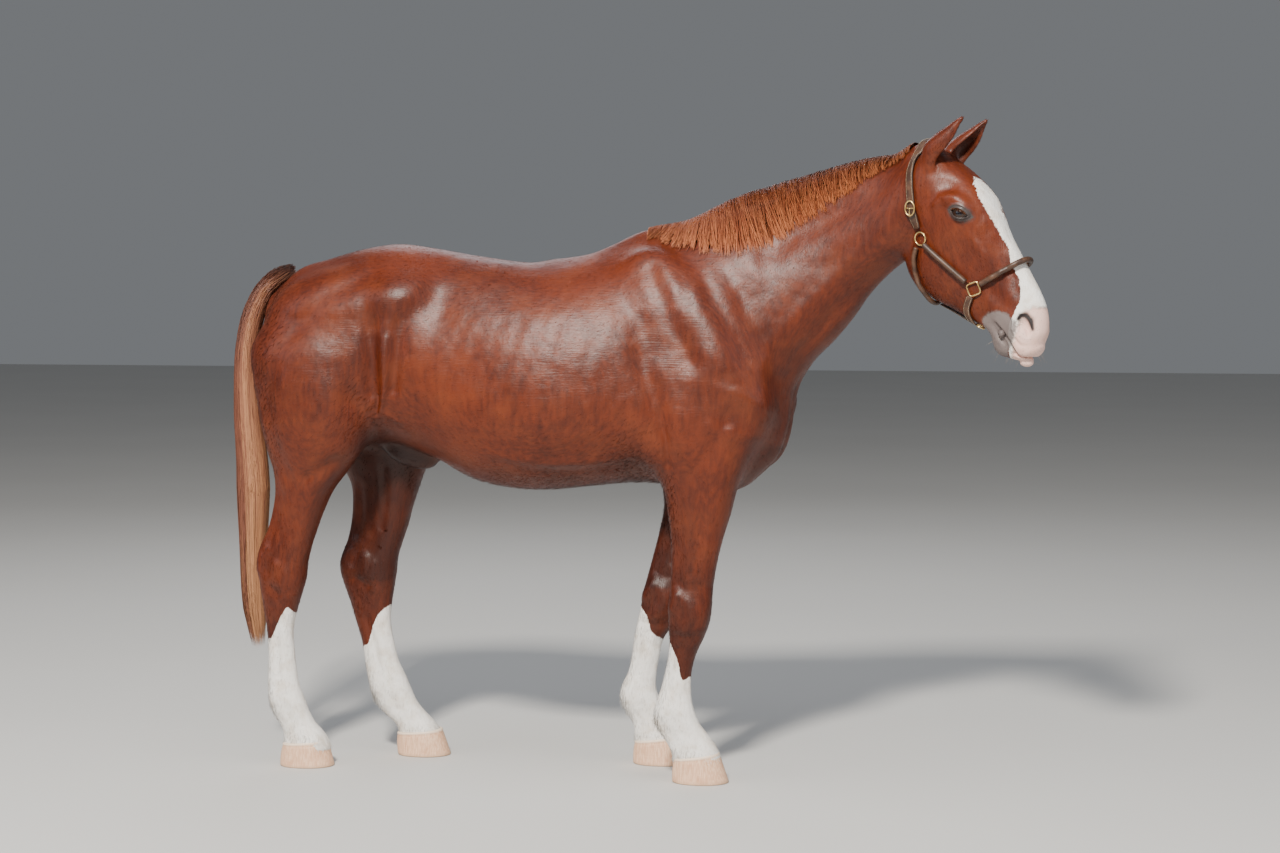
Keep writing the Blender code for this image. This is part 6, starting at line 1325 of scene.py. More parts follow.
def coat_streaks(f):
    """Fine streaks along the hair: noise stretched along X on the barrel, along Z on legs and face."""
    back = f.noise(f.place((9, 260, 260), (0, 0.25, 0)), 1.0, 3.0, 0.65)
    down = f.noise(f.place((260, 260, 11), (0, -0.25, 0)), 1.0, 3.0, 0.65)
    share = f.attribute("upright")
    return back * (1 - share) + down * share

skin_finish = Finish("skin", Roughness=0.46, Specular_IOR_Level=0.34)
at = skin_finish.place()
colour, white, grey, pink = coat_colour(skin_finish, at, False)
bare = grey.larger(pink)
pores = skin_finish.noise(at, 420.0, 2.0)
relief_height = coat_streaks(skin_finish) * (1 - bare) + pores * bare
rough = 0.38 + 0.2 * white + 0.08 * pores
bumps = skin_finish.bump(relief_height, 0.0012, 0.55)
bumps = skin_finish.bump(skin_finish.noise(at, 34.0, 3.0), 0.004, 0.3, bumps)
waves = skin_finish.noise(skin_finish.place((70, 70, 24)), 1.0, 3.0) * white * (1 - bare)
bumps = skin_finish.bump(waves, 0.006, 0.55, bumps)
bumps = skin_finish.bump(skin_finish.noise(at, 7.0, 2.0, 0.5) * (1 - bare), 0.03, 0.3, bumps)
skin_finish.show(Base_Color=colour, Roughness=rough, Normal=bumps)

coat_finish = Finish("coat", Roughness=0.45, Specular_IOR_Level=0.3)
at = coat_finish.place()
colour, white, grey, pink = coat_colour(coat_finish, at, True)
glow = coat_finish.attribute("tone")
colour = coat_finish.node("ShaderNodeHueSaturation", Color=colour, Value=0.92 + 0.16 * glow, Saturation=1.0)
coat_finish.show(Base_Color=colour, Roughness=0.46 + 0.1 * white + 0.06 * glow)

# %% Skin
FLESH = [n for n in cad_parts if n.split("_")[0] in ("trunk", "neck", "head", "ear", "forearm",
    "gaskin", "cannon", "pastern")]
skin_normals = vertex_normals(skin_points, skin_faces)
marks = markings(skin_points)
# painted shade inside the ear hollows, as deep as the ear is pressed in
marks["dark"] = np.clip(marks["dark"] + 0.85 * ear_depth, 0, 1)
marks["upright"] = np.clip(ramp(skin_points[:, 2], 1.0, 0.8) + ramp(skin_points[:, 0], 0.15, 0.45), 0, 1)
make_mesh("skin", place(skin_points), [skin_faces], skin_finish.material, marks,
    replaces=FLESH)

# %% [markdown]
# ## Short coat
# Summer coat is about a centimetre long and lies flat, so most of it is the skin's bump. Tufts are laid
# where the coat breaks the form: along the belly, throat, elbows, flank and buttocks, on the fetlocks,
# round the ears and lips, and thinly over the rest, so that every outline is slightly soft. Each tuft is a
# closed three-sided blade.

# %% Tufts over the skin
rng = np.random.default_rng(7)

def tuft_plan(P):
    """Tufts per square metre, length, and how far they stand off, at each point."""
    near_side = np.stack([P[:, 0], np.abs(P[:, 1]), P[:, 2]], 1)
    x, y, z = near_side.T
    count, length, lift = np.full(len(P), 4200.0), np.full(len(P), 0.012), np.full(len(P), 0.035)
    def area(mask, c, l, f):
        count[:] = count * (1 - mask) + c * mask
        length[:] = length * (1 - mask) + l * mask
        lift[:] = lift * (1 - mask) + f * mask
    area(ramp(z, 0.96, 0.88) * (x > -0.75) * (x < 0.15), 11000, 0.018, 0.2)
    area(np.exp(-(((x - 0.02) / 0.07) ** 2 + ((z - 0.96) / 0.09) ** 2)), 12000, 0.018, 0.22)
    area(np.exp(-(((x + 0.8) / 0.07) ** 2 + ((z - 1.08) / 0.14) ** 2)), 11000, 0.017, 0.22)
    area(ramp(x, -1.02, -1.1) * (z > 0.9), 9000, 0.016, 0.16)
    area(ramp(z, 0.8, 0.65), 11000, 0.011, 0.12)
    for loft, sign, _ in SOCKS:
        c = loft.section(np.clip(P[:, 2], 0.06, 1.0))
        back = ((c["lo"] + c["hi"]) / 2 - P[:, 0]) / ((c["hi"] - c["lo"]) / 2)
        own = (P[:, 1] * sign > 0) & (np.abs(back) < 1.5)
        area(own * ramp(back, 0.3, 0.8) * np.exp(-(((P[:, 2] - 0.185) / 0.045) ** 2)), 26000, 0.024, 0.3)
        area(own * ramp(back, 0.3, 0.8) * ramp(P[:, 2], 0.5, 0.45) * ramp(P[:, 2], 0.2, 0.25), 14000, 0.014,
            0.22)
        area(own * ramp(P[:, 2], 0.105, 0.092), 26000, 0.013, 0.25)
    head = ramp(x, 0.84, 0.9)
    area(head, 17000, 0.0085, 0.05)
    area(head * ramp((P - HEAD_O) @ HEAD_A, 0.45, 0.52), 15000, 0.005, 0.07)
    area(head * ramp((P - HEAD_O) @ HEAD_B, -0.14, -0.19), 14000, 0.012, 0.25)
    area(np.exp(-(np.linalg.norm(near_side - EYE, axis=1) / 0.05) ** 4), 16000, 0.005, 0.08)
    area(ramp(z, 1.835, 1.85) * (x > 0.945), 34000, 0.0085, 0.22)
    return count, length, lift

def scatter(T, V, count):
    """A random share of points on each triangle: the expected number is its area times the count there."""
    a, b, c = V[T[:, 0]], V[T[:, 1]], V[T[:, 2]]
    area = np.linalg.norm(np.cross(b - a, c - a), axis=1) / 2
    wanted = area * count[T].mean(1)
    number = np.floor(wanted + rng.random(len(T))).astype(int)
    tri = np.repeat(np.arange(len(T)), number)
    r1, r2 = np.sqrt(rng.random(len(tri))), rng.random(len(tri))
    w = np.stack([1 - r1, r1 * (1 - r2), r1 * r2], 1)
    return tri, w

on_face = lambda A, tri, w: (A[skin_faces[tri]] * w.reshape(w.shape + (1,) * (A.ndim - 1))).sum(1)
count, length, lift = tuft_plan(skin_points)
bare_skin = np.maximum(np.maximum(ramp(marks["grey"], 0.35, 0.7), ramp(marks["pink"], 0.5, 0.9)),
    marks["sheath"])
count = count * (1 - 0.85 * bare_skin) * (eye_sink < 0.0006)
count = count * (1 - 0.6 * ramp(ear_depth, 0.5, 0.8))
tri, w = scatter(skin_faces, place(skin_points), count)
root, normal = on_face(skin_points, tri, w), level_lengths(on_face(skin_normals, tri, w))
long, off = on_face(length, tri, w), on_face(lift, tri, w)
way = lie(root, normal)
across = np.cross(normal, way)
swerve = rng.normal(0, 0.16, len(root))[:, None]
way = level_lengths(way + swerve * across)
long = long * (0.75 + 0.5 * rng.random(len(root)))
off = off * (0.4 + 1.2 * rng.random(len(root)))
print(len(root), "tufts to lay")

# %% Coat pieces
def lay_coat(name, chosen):
    """Blades of the chosen tufts: root under the skin, middle just above it, tip standing off a little."""
    P, N, D, L, F = root[chosen], normal[chosen], way[chosen], long[chosen][:, None], off[chosen][:, None]
    steps = np.array([-0.06, 0.45, 1.0])
    rise = np.array([-0.0008, -0.0002, -0.0001])
    curve = np.array([0.0, 0.35, 1.0])
    path = (P[:, None] + D[:, None] * (L * steps)[..., None]
        + N[:, None] * (rise + L * F * curve + 0.0003)[..., None])
    straight = path.reshape(-1, 3)
    path = place(straight).reshape(path.shape)
    up = np.repeat(place_direction(P, N)[:, None], 3, 1)
    side = level_lengths(np.cross(path[:, 2] - path[:, 0], up[:, 0]))
    side = np.repeat(side[:, None], 3, 1)
    wide = L * np.array([0.026, 0.04, 0.0]) + 0.00018
    thick = np.full_like(wide, 0.0002)
    V, faces, along, around, per, normals = strands(path, side, up, wide, thick)
    own = markings(P)
    # painted shade on tufts inside the ear hollows, as deep as the ear is pressed in
    own["dark"] = np.clip(own["dark"] + 0.85 * on_face(ear_depth, tri[chosen], w[chosen]), 0, 1)
    own = {k: np.repeat(v, per) for k, v in own.items()}
    own["tone"] = np.repeat(rng.random(len(P)), per) * 0.6 + 0.4 * along
    uv = patch_uv(unwrap(P), along, around, per)
    return make_mesh(name, V, faces, coat_finish.material, own, uv, normals)

regions = {"coat_head": root[:, 0] > 0.84, "coat_neck": (root[:, 0] > 0.3) & (root[:, 2] > 0.9),
    "coat_legs": root[:, 2] < 0.78, "coat_shoulder": root[:, 0] > -0.1, "coat_barrel": root[:, 0] > -0.62,
    "coat_haunch": root[:, 0] < 9}
left_over = np.ones(len(root), bool)
LIMIT = 19000
for name, mask in regions.items():
    chosen = np.flatnonzero(mask & left_over)
    left_over[chosen] = False
    for part, some in enumerate(np.array_split(chosen, -(-len(chosen) // LIMIT))):
        lay_coat(name + ("_%d" % (part + 1) if len(chosen) > LIMIT else ""), some)

# %% [markdown]
# ## Laid on the skin
# Lids, mane and straps all lie on the skin. A point is brought to a level of the field by steps down its
# slope, and a line laid so stays evenly spaced.

# %% Lines laid on the skin
SIDES = (("right", -1), ("left", 1))

def once_round(count):
    """Evenly spaced angles, once round."""
    return np.linspace(0, 2 * np.pi, count + 1)[:-1]

def between_rows(A, knots, at):
    """A's columns, read at places between the knots of its rows."""
    return np.stack([np.interp(at, knots, A[:, d]) for d in range(3)], -1)

def slope(P, h=0.003):
    """The field's gradient by central differences."""
    return np.stack([(field(P + h * e) - field(P - h * e)) / (2 * h) for e in np.eye(3)], 1)

def on_skin(P, level, rounds=6):
    """Points moved along the slope until the field has that level."""
    P = np.asarray(P, float)
    for _ in range(rounds):
        g = slope(P, 0.001)
        step = ((field(P) - level) / np.maximum((g * g).sum(1), 0.05))[:, None] * g
        P = P - step * np.minimum(1, 0.02 / np.maximum(np.linalg.norm(step, axis=1, keepdims=True), 1e-9))
    return P

def along(points, count):
    """Points spaced evenly on a smooth curve through the given ones."""
    p = np.asarray(points, float)
    t = np.concatenate([[0], np.cumsum(np.linalg.norm(np.diff(p, axis=0), axis=1))])
    u = np.linspace(0, t[-1], count)
    return np.stack([smooth_curve(u, t, p[:, d]) for d in range(3)], 1)

def laid(points, level, count):
    """A smooth line through the points, at a height above the skin."""
    return along(on_skin(along(on_skin(along(points, 3 * count), level)[::3], count), level), count)

def tube_faces(rings, around, closed):
    """Quads between rings of a tube, closed along if asked."""
    i = np.arange(rings if closed else rings - 1)[:, None]
    k = np.arange(around)[None]
    j = (i + 1) % rings
    return np.stack([i * around + k, i * around + (k + 1) % around, j * around + (k + 1) % around,
        j * around + k], -1).reshape(-1, 4)

# %% [markdown]
# ## Eyelids
# The lids are a ring of their own round the eyeball: a rounded wet margin, a crease, a fold over it, and
# finer wrinkles below. Its section is carried round the opening, which is where two discs overlap, and its
# outer edge dips under the skin.

# %% Lids
def opening(angle, grow):
    """Distance from the eye's middle to the opening's edge: the nearer of two discs, grown by some
    width."""
    half, roof, floor = SLIT_HALF + grow, SLIT_ROOF + grow, SLIT_FLOOR + grow
    r1, r2 = disc_radius(half, roof), disc_radius(half, floor)
    out = [c * np.sin(angle) + np.sqrt(r**2 - (c * np.cos(angle)) ** 2)
        for c, r in ((roof - r1, r1), (r2 - floor, r2))]
    return np.minimum(out[0], out[1])

def face_height(P, sign):
    """The skin's sideways reach at each (x, z): bisected between the head's middle and outside."""
    low, high = np.full(len(P), 0.06), np.full(len(P), 0.135)
    for _ in range(22):
        middle = (low + high) / 2
        out = field(np.stack([P[:, 0], sign * middle, P[:, 2]], 1)) > -COAT_DEPTH
        high, low = np.where(out, middle, high), np.where(out, low, middle)
    return low

LID_ANGLES = once_round(72)
# grow, lift over the skin for the upper lid, for the lower lid
LID_SECTION = np.array([(0.0005, -0.004, -0.004), (-0.0004, -0.0022, -0.0022), (0.0, -0.0004, -0.0006),
    (0.0012, 0.0007, 0.0006), (0.0028, 0.0009, 0.0010), (0.0044, 0.0000, 0.0006),
    (0.0058, -0.0014, -0.0002), (0.0072, -0.0003, -0.0007), (0.0090, 0.0008, 0.0003),
    (0.0110, 0.0012, 0.0006), (0.0130, 0.0008, 0.0001), (0.0150, 0.0003, -0.0001),
    (0.0170, -0.0001, 0.0003), (0.0195, -0.0006, -0.0005), (0.0220, -0.0016, -0.0014),
    (0.0190, -0.0050, -0.0050), (0.0090, -0.0050, -0.0050)])

def lid_ring(sign):
    """The lids' points: angle round the opening, then the section."""
    t, g = np.meshgrid(LID_ANGLES, LID_SECTION[:, 0], indexing="ij")
    r = opening(t, g)
    plane = r * np.cos(t), r * np.sin(t)
    P = EYE + plane[0][..., None] * EYE_LONG + plane[1][..., None] * EYE_UP
    face = face_height(P.reshape(-1, 3), sign).reshape(t.shape)
    ball = EYE[1] + np.sqrt(np.maximum(EYE_R**2 - r**2, 0.0000005))
    over = ramp(np.sin(t), -0.25, 0.35)
    lift = LID_SECTION[:, 1] * over + LID_SECTION[:, 2] * (1 - over)
    wrinkle = 0.0003 * np.sin(34 * t + 5 * np.sin(3 * t)) * np.exp(-((g - 0.012) / 0.004) ** 2) * (1 - over)
    y = face + lift + wrinkle
    inner = np.arange(t.shape[1]) < 3
    y = np.where(inner & (y < ball + 0.0002),
        ball + np.array([-0.0006, 0.0003, 0.0008] + [0] * (t.shape[1] - 3)), y)
    P[..., 1] = sign * y
    return P

lid_finish = Finish("eyelid", Roughness=0.4, Specular_IOR_Level=0.5)
at = lid_finish.place()
edge = lid_finish.attribute("edge")
colour = lid_finish.mix(lid_finish.noise(at, 210.0, 3.0), (0.026, 0.02, 0.019), (0.07, 0.054, 0.05))
colour = lid_finish.mix((edge + (lid_finish.noise(at, 260.0, 2.0) - 0.5) * 0.5).rise(0.38, 0.72), colour,
    (0.1, 0.017, 0.005))
colour = lid_finish.mix((0.08 - edge).rise(0.0, 0.08), colour, (0.04, 0.028, 0.026))
lid_finish.show(Base_Color=colour, Roughness=0.3 + 0.22 * edge,
    Normal=lid_finish.bump(lid_finish.noise(at, 330.0, 3.0), 0.0008, 0.5))

for side_name, sign in SIDES:
    P = lid_ring(sign)
    n, m = P.shape[:2]
    Q = tube_faces(n, m, True)
    edge_value = np.tile(np.clip(LID_SECTION[:, 0] / 0.022, 0, 1), n)
    make_mesh("eyelids_" + side_name, place(P.reshape(-1, 3)), [Q[:, ::-1] if sign > 0 else Q],
        lid_finish.material, {"edge": edge_value})

# %% [markdown]
# ## Eyes
# A horse's eye is large and dark, with a pupil like a bar lying level. The ball is a grid of two angles
# about its outward axis, the iris and pupil are distances on it, and a clear coat gives the wet shine.

# %% Eyeballs
eye_finish = Finish("eye", Roughness=0.12, Specular_IOR_Level=0.3, Coat_Weight=0.55, Coat_Roughness=0.03,
    Coat_IOR=1.38)
at = eye_finish.place()
iris, pupil = eye_finish.attribute("iris"), eye_finish.attribute("pupil")
colour = eye_finish.mix(eye_finish.noise(at, 520.0, 3.0), (0.014, 0.006, 0.004), (0.04, 0.017, 0.008))
colour = eye_finish.mix((1.0 - pupil).rise(0.0, 0.12), colour, (0.004, 0.004, 0.008))
colour = eye_finish.mix((iris - 1.0).rise(0.0, 0.1), colour, (0.02, 0.012, 0.01))
colour = eye_finish.mix((iris - 1.25).rise(0.0, 0.15), colour, (0.36, 0.25, 0.21))
eye_finish.show(Base_Color=colour)

EYE_RINGS, EYE_SPOKES = 30, 48

def eyeball(sign):
    """Rings round the outward axis: radius R with a slight bulge of the cornea."""
    out = unit(np.array([0.16, sign * 1.0, -0.04]))
    u = unit(EYE_LONG - out * (EYE_LONG @ out))
    v = np.cross(u, out) * sign
    rings = np.linspace(0.03, np.pi - 0.03, EYE_RINGS)
    ring, turn = np.meshgrid(rings, once_round(EYE_SPOKES), indexing="ij")
    r = EYE_R + 0.0006 * np.exp(-((ring / 0.55) ** 2))
    a, b = np.sin(ring) * np.cos(turn), np.sin(ring) * np.sin(turn)
    P = (EYE * [1, sign, 1] + (r * a)[..., None] * u + (r * b)[..., None] * v
        + (r * np.cos(ring))[..., None] * out)
    return P.reshape(-1, 3), np.hypot(a, b).ravel() / 0.66, np.hypot(a / 0.42, b / 0.22).ravel()

for side_name, sign in SIDES:
    P, iris_value, pupil_value = eyeball(sign)
    first = np.arange(EYE_SPOKES)[None]
    last = (EYE_RINGS - 1) * EYE_SPOKES + first
    wall = tube_faces(EYE_RINGS, EYE_SPOKES, False)
    faces = [F if sign > 0 else F[:, ::-1] for F in (wall, first, last[:, ::-1])]
    make_mesh("eyeball_" + side_name, place(P), faces, eye_finish.material,
        {"iris": iris_value, "pupil": pupil_value}, replaces=("eye_" + side_name,))

# %% [markdown]
# ## Lashes and whiskers
# A horse has long lashes on the upper lid, slanting down and out, and stiff feelers on lips and chin.

# %% Lashes, whiskers
def hairs(name, P, D, bow, length, radius, finish, steps=5):
    """Round tapering hairs from P along D, drawn towards bow as they go: P + L t D + L t^2 bow."""
    t = np.linspace(0, 1, steps)
    path = (P[:, None] + (length[:, None] * t)[..., None] * D[:, None]
        + (length[:, None] * t**2)[..., None] * bow[:, None])
    path = place(path.reshape(-1, 3)).reshape(path.shape)
    tangent = level_lengths(np.gradient(path, axis=1))
    side = level_lengths(np.cross(tangent, [0.3, 0.2, 0.93]))
    r = radius[:, None] * (1 - 0.75 * t)
    V, faces, *_ = strands(path, side, np.cross(side, tangent), r, r)
    return make_mesh(name, V, faces, finish)

lash_finish = Finish("lash", Roughness=0.45)
lash_finish.show(Base_Color=lash_finish.mix(lash_finish.noise(lash_finish.place(), 300.0),
    (0.05, 0.018, 0.008), (0.2, 0.065, 0.022)))
whisker_finish = Finish("whisker", Roughness=0.4)
whisker_finish.show(Base_Color=whisker_finish.mix(whisker_finish.noise(whisker_finish.place(), 90.0),
    (0.45, 0.36, 0.28), (0.12, 0.075, 0.05)))
for side_name, sign in SIDES:
    t = rng.uniform(0.12 * np.pi, 0.86 * np.pi, 130)
    r = opening(t, 0.0008)
    P = EYE + (r * np.cos(t))[:, None] * EYE_LONG + (r * np.sin(t))[:, None] * EYE_UP
    P[:, 1] = face_height(P, sign)
    P = P * [1, sign, 1]
    D = level_lengths(np.array([0.1, sign * 0.86, -0.16]) + np.cos(t)[:, None] * [0.45, 0, -0.15]
        + rng.normal(0, 0.13, (len(t), 3)))
    hairs("lashes_" + side_name, P, D, np.tile([0.05, 0, -0.3], (len(t), 1)),
        rng.uniform(0.01, 0.019, len(t)), np.full(len(t), 0.00022), lash_finish.material)
# feelers on chin and lips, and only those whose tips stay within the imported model's box
spots = rng.uniform([1.1, -0.055, 1.255], [1.27, 0.055, 1.36], (420, 3))
spots = on_skin(spots, -0.001)
spots = spots[((spots[:, 2] < 1.335) | (spots[:, 0] > 1.245)) & (spots[:, 0] > 1.1)][:110]
out, bow = level_lengths(slope(spots)), np.tile([0.0, 0, -0.35], (len(spots), 1))
long = rng.uniform(0.012, 0.036, len(spots))
tips = place(spots + long[:, None] * (out + bow))
within = np.all((tips > cad_box[0]) & (tips < cad_box[1]), axis=1)
hairs("whiskers", spots[within], out[within], bow[within], long[within], np.full(within.sum(), 0.0002),
    whisker_finish.material)

# %% [markdown]
# ## Mane
# The mane springs from the crest and falls down the right side. Rays from a line inside the neck find the
# skin, which makes a grid of places by station and angle; a lock is a path on that grid, and locks of one
# clump draw together towards their tips.

# %% Grid over the crest
MANE_CORE = [(0.03, 0, 1.5), (0.15, 0, 1.5), (0.27, 0, 1.5), (0.4, 0, 1.53), (0.52, 0, 1.6),
    (0.65, 0, 1.68), (0.78, 0, 1.755), (0.905, 0, 1.796)]
MANE_THICK = ([0, 0.12, 0.35, 0.75, 0.92, 1.0], [0.005, 0.01, 0.018, 0.018, 0.014, 0.008])
MANE_REACH = ([0, 0.12, 0.3, 0.7, 0.9, 1.0], [0.05, 0.11, 0.15, 0.145, 0.12, 0.09])
STATIONS, RAYS = 60, 44
core = along(MANE_CORE, STATIONS)
lean = -np.clip((core[:, 0] - 0.1) / 0.35, 0, 1) * 0.53
rise_way = np.stack([lean, 0 * lean, np.sqrt(1 - lean**2)], 1)
ray_angle = np.radians(np.linspace(-16, 92, RAYS))
rays = (np.cos(ray_angle)[None, :, None] * rise_way[:, None]
    - np.sin(ray_angle)[None, :, None] * np.array([0, 1, 0]))
low, high = np.full((STATIONS, RAYS), 0.02), np.full((STATIONS, RAYS), 0.4)
for _ in range(20):
    middle = (low + high) / 2
    out = field((core[:, None] + middle[..., None] * rays).reshape(-1, 3)).reshape(middle.shape) > 0
    low, high = np.where(out, low, middle), np.where(out, middle, high)
crest_grid = core[:, None] + low[..., None] * rays
arc = np.concatenate([np.zeros((STATIONS, 1)),
    np.cumsum(np.linalg.norm(np.diff(crest_grid, axis=1), axis=2), axis=1)], 1)
arc -= arc[:, [6]]

def crest_place(u, reach, height):
    """The point at station u in 0..1, reach metres down from the crest, height over the skin."""
    s = np.clip(u, 0, 1) * (STATIONS - 1)
    i = np.minimum(s.astype(int), STATIONS - 2)
    f = (s - i)[..., None]
    level = arc.mean(0)
    k = np.clip(np.interp(reach, level, np.arange(RAYS)), 0, RAYS - 1.001)
    j = k.astype(int)
    g = (k - j)[..., None]
    pick = lambda A: (A[i, j] * (1 - f) * (1 - g) + A[i + 1, j] * f * (1 - g) + A[i, j + 1] * (1 - f) * g
        + A[i + 1, j + 1] * f * g)
    return pick(crest_grid) + height[..., None] * pick(rays)

# %% Hair finish
def hair_finish(name, dark, middle, light, rough):
    """Hair colour: dark at the roots, lighter along the lock and from lock to lock, with painted shade in
    the depth of the mane and tail.
    """
    f = Finish(name, Roughness=rough, Specular_IOR_Level=0.42, Anisotropic=0.5)
    length_way, shade, depth = f.attribute("along"), f.attribute("shade"), f.attribute("depth")
    c = f.mix((length_way * 0.55 + shade * 0.75 - 0.12).rise(0.0, 0.55), dark, middle)
    c = f.mix((shade * 0.9 + length_way * 0.45 - 0.55).rise(0.0, 0.6), c, light)
    # painted shade deep in the hair mass, fading along the lock
    c = f.mix(depth * (1 - length_way) * 0.6, c, tuple(0.55 * v for v in dark))
    f.show(Base_Color=c, Roughness=rough + 0.12 * shade)
    return f.material

mane_finish = hair_finish("mane", (0.075, 0.015, 0.0065), (0.2, 0.046, 0.0165), (0.38, 0.118, 0.044), 0.4)
tail_finish = hair_finish("tail", (0.07, 0.022, 0.012), (0.18, 0.062, 0.036), (0.42, 0.195, 0.092), 0.42)

def lay_hair(name, path, side, up, width, thick, shade, depth, finish, root_uv, replaces):
    """Locks as closed strands, each with its own patch of the baking map."""
    V, faces, along_value, around, per, normals = strands(path, side, up, width, thick, lean=0.95)
    values = {"along": along_value, "shade": np.repeat(shade, per), "depth": np.repeat(depth, per)}
    patches = patch_uv(root_uv, along_value, around, per)
    return make_mesh(name, V, faces, finish, values, patches, normals, replaces)

# %% Mane locks
def mane_locks(name, count, replaces):
    """Locks from crest roots: they rise a little, bend over, and slant back while falling."""
    steps = 8
    t = np.linspace(0, 1, steps)[None]
    clumps = 240
    clump_u = np.sort(rng.random(clumps))
    clump_long = rng.uniform(0.8, 1.0, clumps)
    clump_slant = rng.normal(-0.03, 0.018, clumps)
    u0 = rng.random(count)
    mine = np.abs(u0[:, None] - clump_u[None]).argmin(1)
    layer = rng.random(count)
    reach = smooth_curve(u0, *MANE_REACH) * clump_long[mine] * rng.uniform(0.7, 1.12, count)
    start = rng.uniform(-0.02, 0.016, count)
    spread_way = (u0 - clump_u[mine])
    wave = rng.normal(0, 0.0035, count)[:, None] * np.sin(t * rng.uniform(4, 8, count)[:, None]
        + rng.uniform(0, 6.3, count)[:, None])
    u = u0[:, None] - 0.5 * spread_way[:, None] * t**1.3 + clump_slant[mine][:, None] * t**1.5 + wave
    down = start[:, None] + (reach - start)[:, None] * t
    full = smooth_curve(u0, *MANE_THICK)
    lift = full * (0.12 + 0.88 * layer)
    bulge = 0.35 + 0.65 * np.sin(np.pi * np.clip(t * 0.9 + 0.12, 0, 1))
    height = lift[:, None] * bulge + 0.0015 + 0.002 * np.sin(5 * t + 9 * layer[:, None]) * t
    height[:, 0] = -0.002
    straight = crest_place(u, down, height)
    foot = straight[:, 0]
    path = place(straight.reshape(-1, 3)).reshape(straight.shape)
    above = place(crest_place(u, down, height + 0.01).reshape(-1, 3)).reshape(path.shape)
    up = level_lengths(above - path)
    side = level_lengths(np.cross(np.gradient(path, axis=1), up))
    swell = (0.55 + 0.9 * t) * (1 - t**4 * 0.6)
    width = rng.uniform(0.001, 0.0022, count)[:, None] * swell
    thick = rng.uniform(0.0004, 0.0007, count)[:, None] * swell
    # painted shade: locks lying lower in the mane are darker through depth, outer ones lighter through
    # shade
    shade = np.clip(0.25 + 0.5 * rng.random(count) + 0.3 * (rng.random(clumps)[mine] - 0.5)
        + 0.25 * (layer - 0.5), 0, 1)
    return lay_hair(name, path, side, up, width, thick, shade, 1 - layer**0.7, mane_finish,
        unwrap(foot), replaces)

mane_locks("mane_under", 4600, ("mane",))
mane_locks("mane_over", 4600, ())

# %% [markdown]
# ## Tail
# The dock's hair falls along one line. A lock keeps its place in the tail's section, which widens and
# narrows on the way: P = C(s) + deep(s) p + wide(s) q. Locks start down the dock and end at different
# heights.

# %% Tail locks
TAIL_LINE = [(-1.09, 0, 1.52), (-1.135, 0, 1.508), (-1.185, 0, 1.462), (-1.222, 0, 1.39), (-1.243, 0, 1.3),
    (-1.247, 0, 1.100), (-1.232, 0, 0.900), (-1.232, 0, 0.700), (-1.233, 0, 0.500), (-1.218, 0, 0.335)]
TAIL_STEPS = [0.0, 0.08, 0.17, 0.3, 0.45, 0.6, 0.75, 0.9, 1.0]
TAIL_DEPTH = [0.02, 0.028, 0.034, 0.036, 0.044, 0.052, 0.042, 0.036, 0.02]
TAIL_WIDTH = [0.028, 0.036, 0.044, 0.052, 0.062, 0.064, 0.055, 0.045, 0.022]
spine = along(TAIL_LINE, 200)
spine_way = level_lengths(np.gradient(spine, axis=0))
spine_side = np.stack([-spine_way[:, 2], 0 * spine_way[:, 0], spine_way[:, 0]], 1)

def tail_place(s, p, q):
    """Point at s in 0..1 down the tail, p and q in the unit disc of its section (p towards the horse)."""
    k = np.clip(s, 0, 1) * (len(spine) - 1)
    pick = lambda A: between_rows(A, np.arange(len(spine)), k)
    deep, wide = np.interp(s, TAIL_STEPS, TAIL_DEPTH), np.interp(s, TAIL_STEPS, TAIL_WIDTH)
    return (pick(spine) + (deep * p)[..., None] * pick(spine_side)
        + (wide * q)[..., None] * np.array([0, 1, 0]))

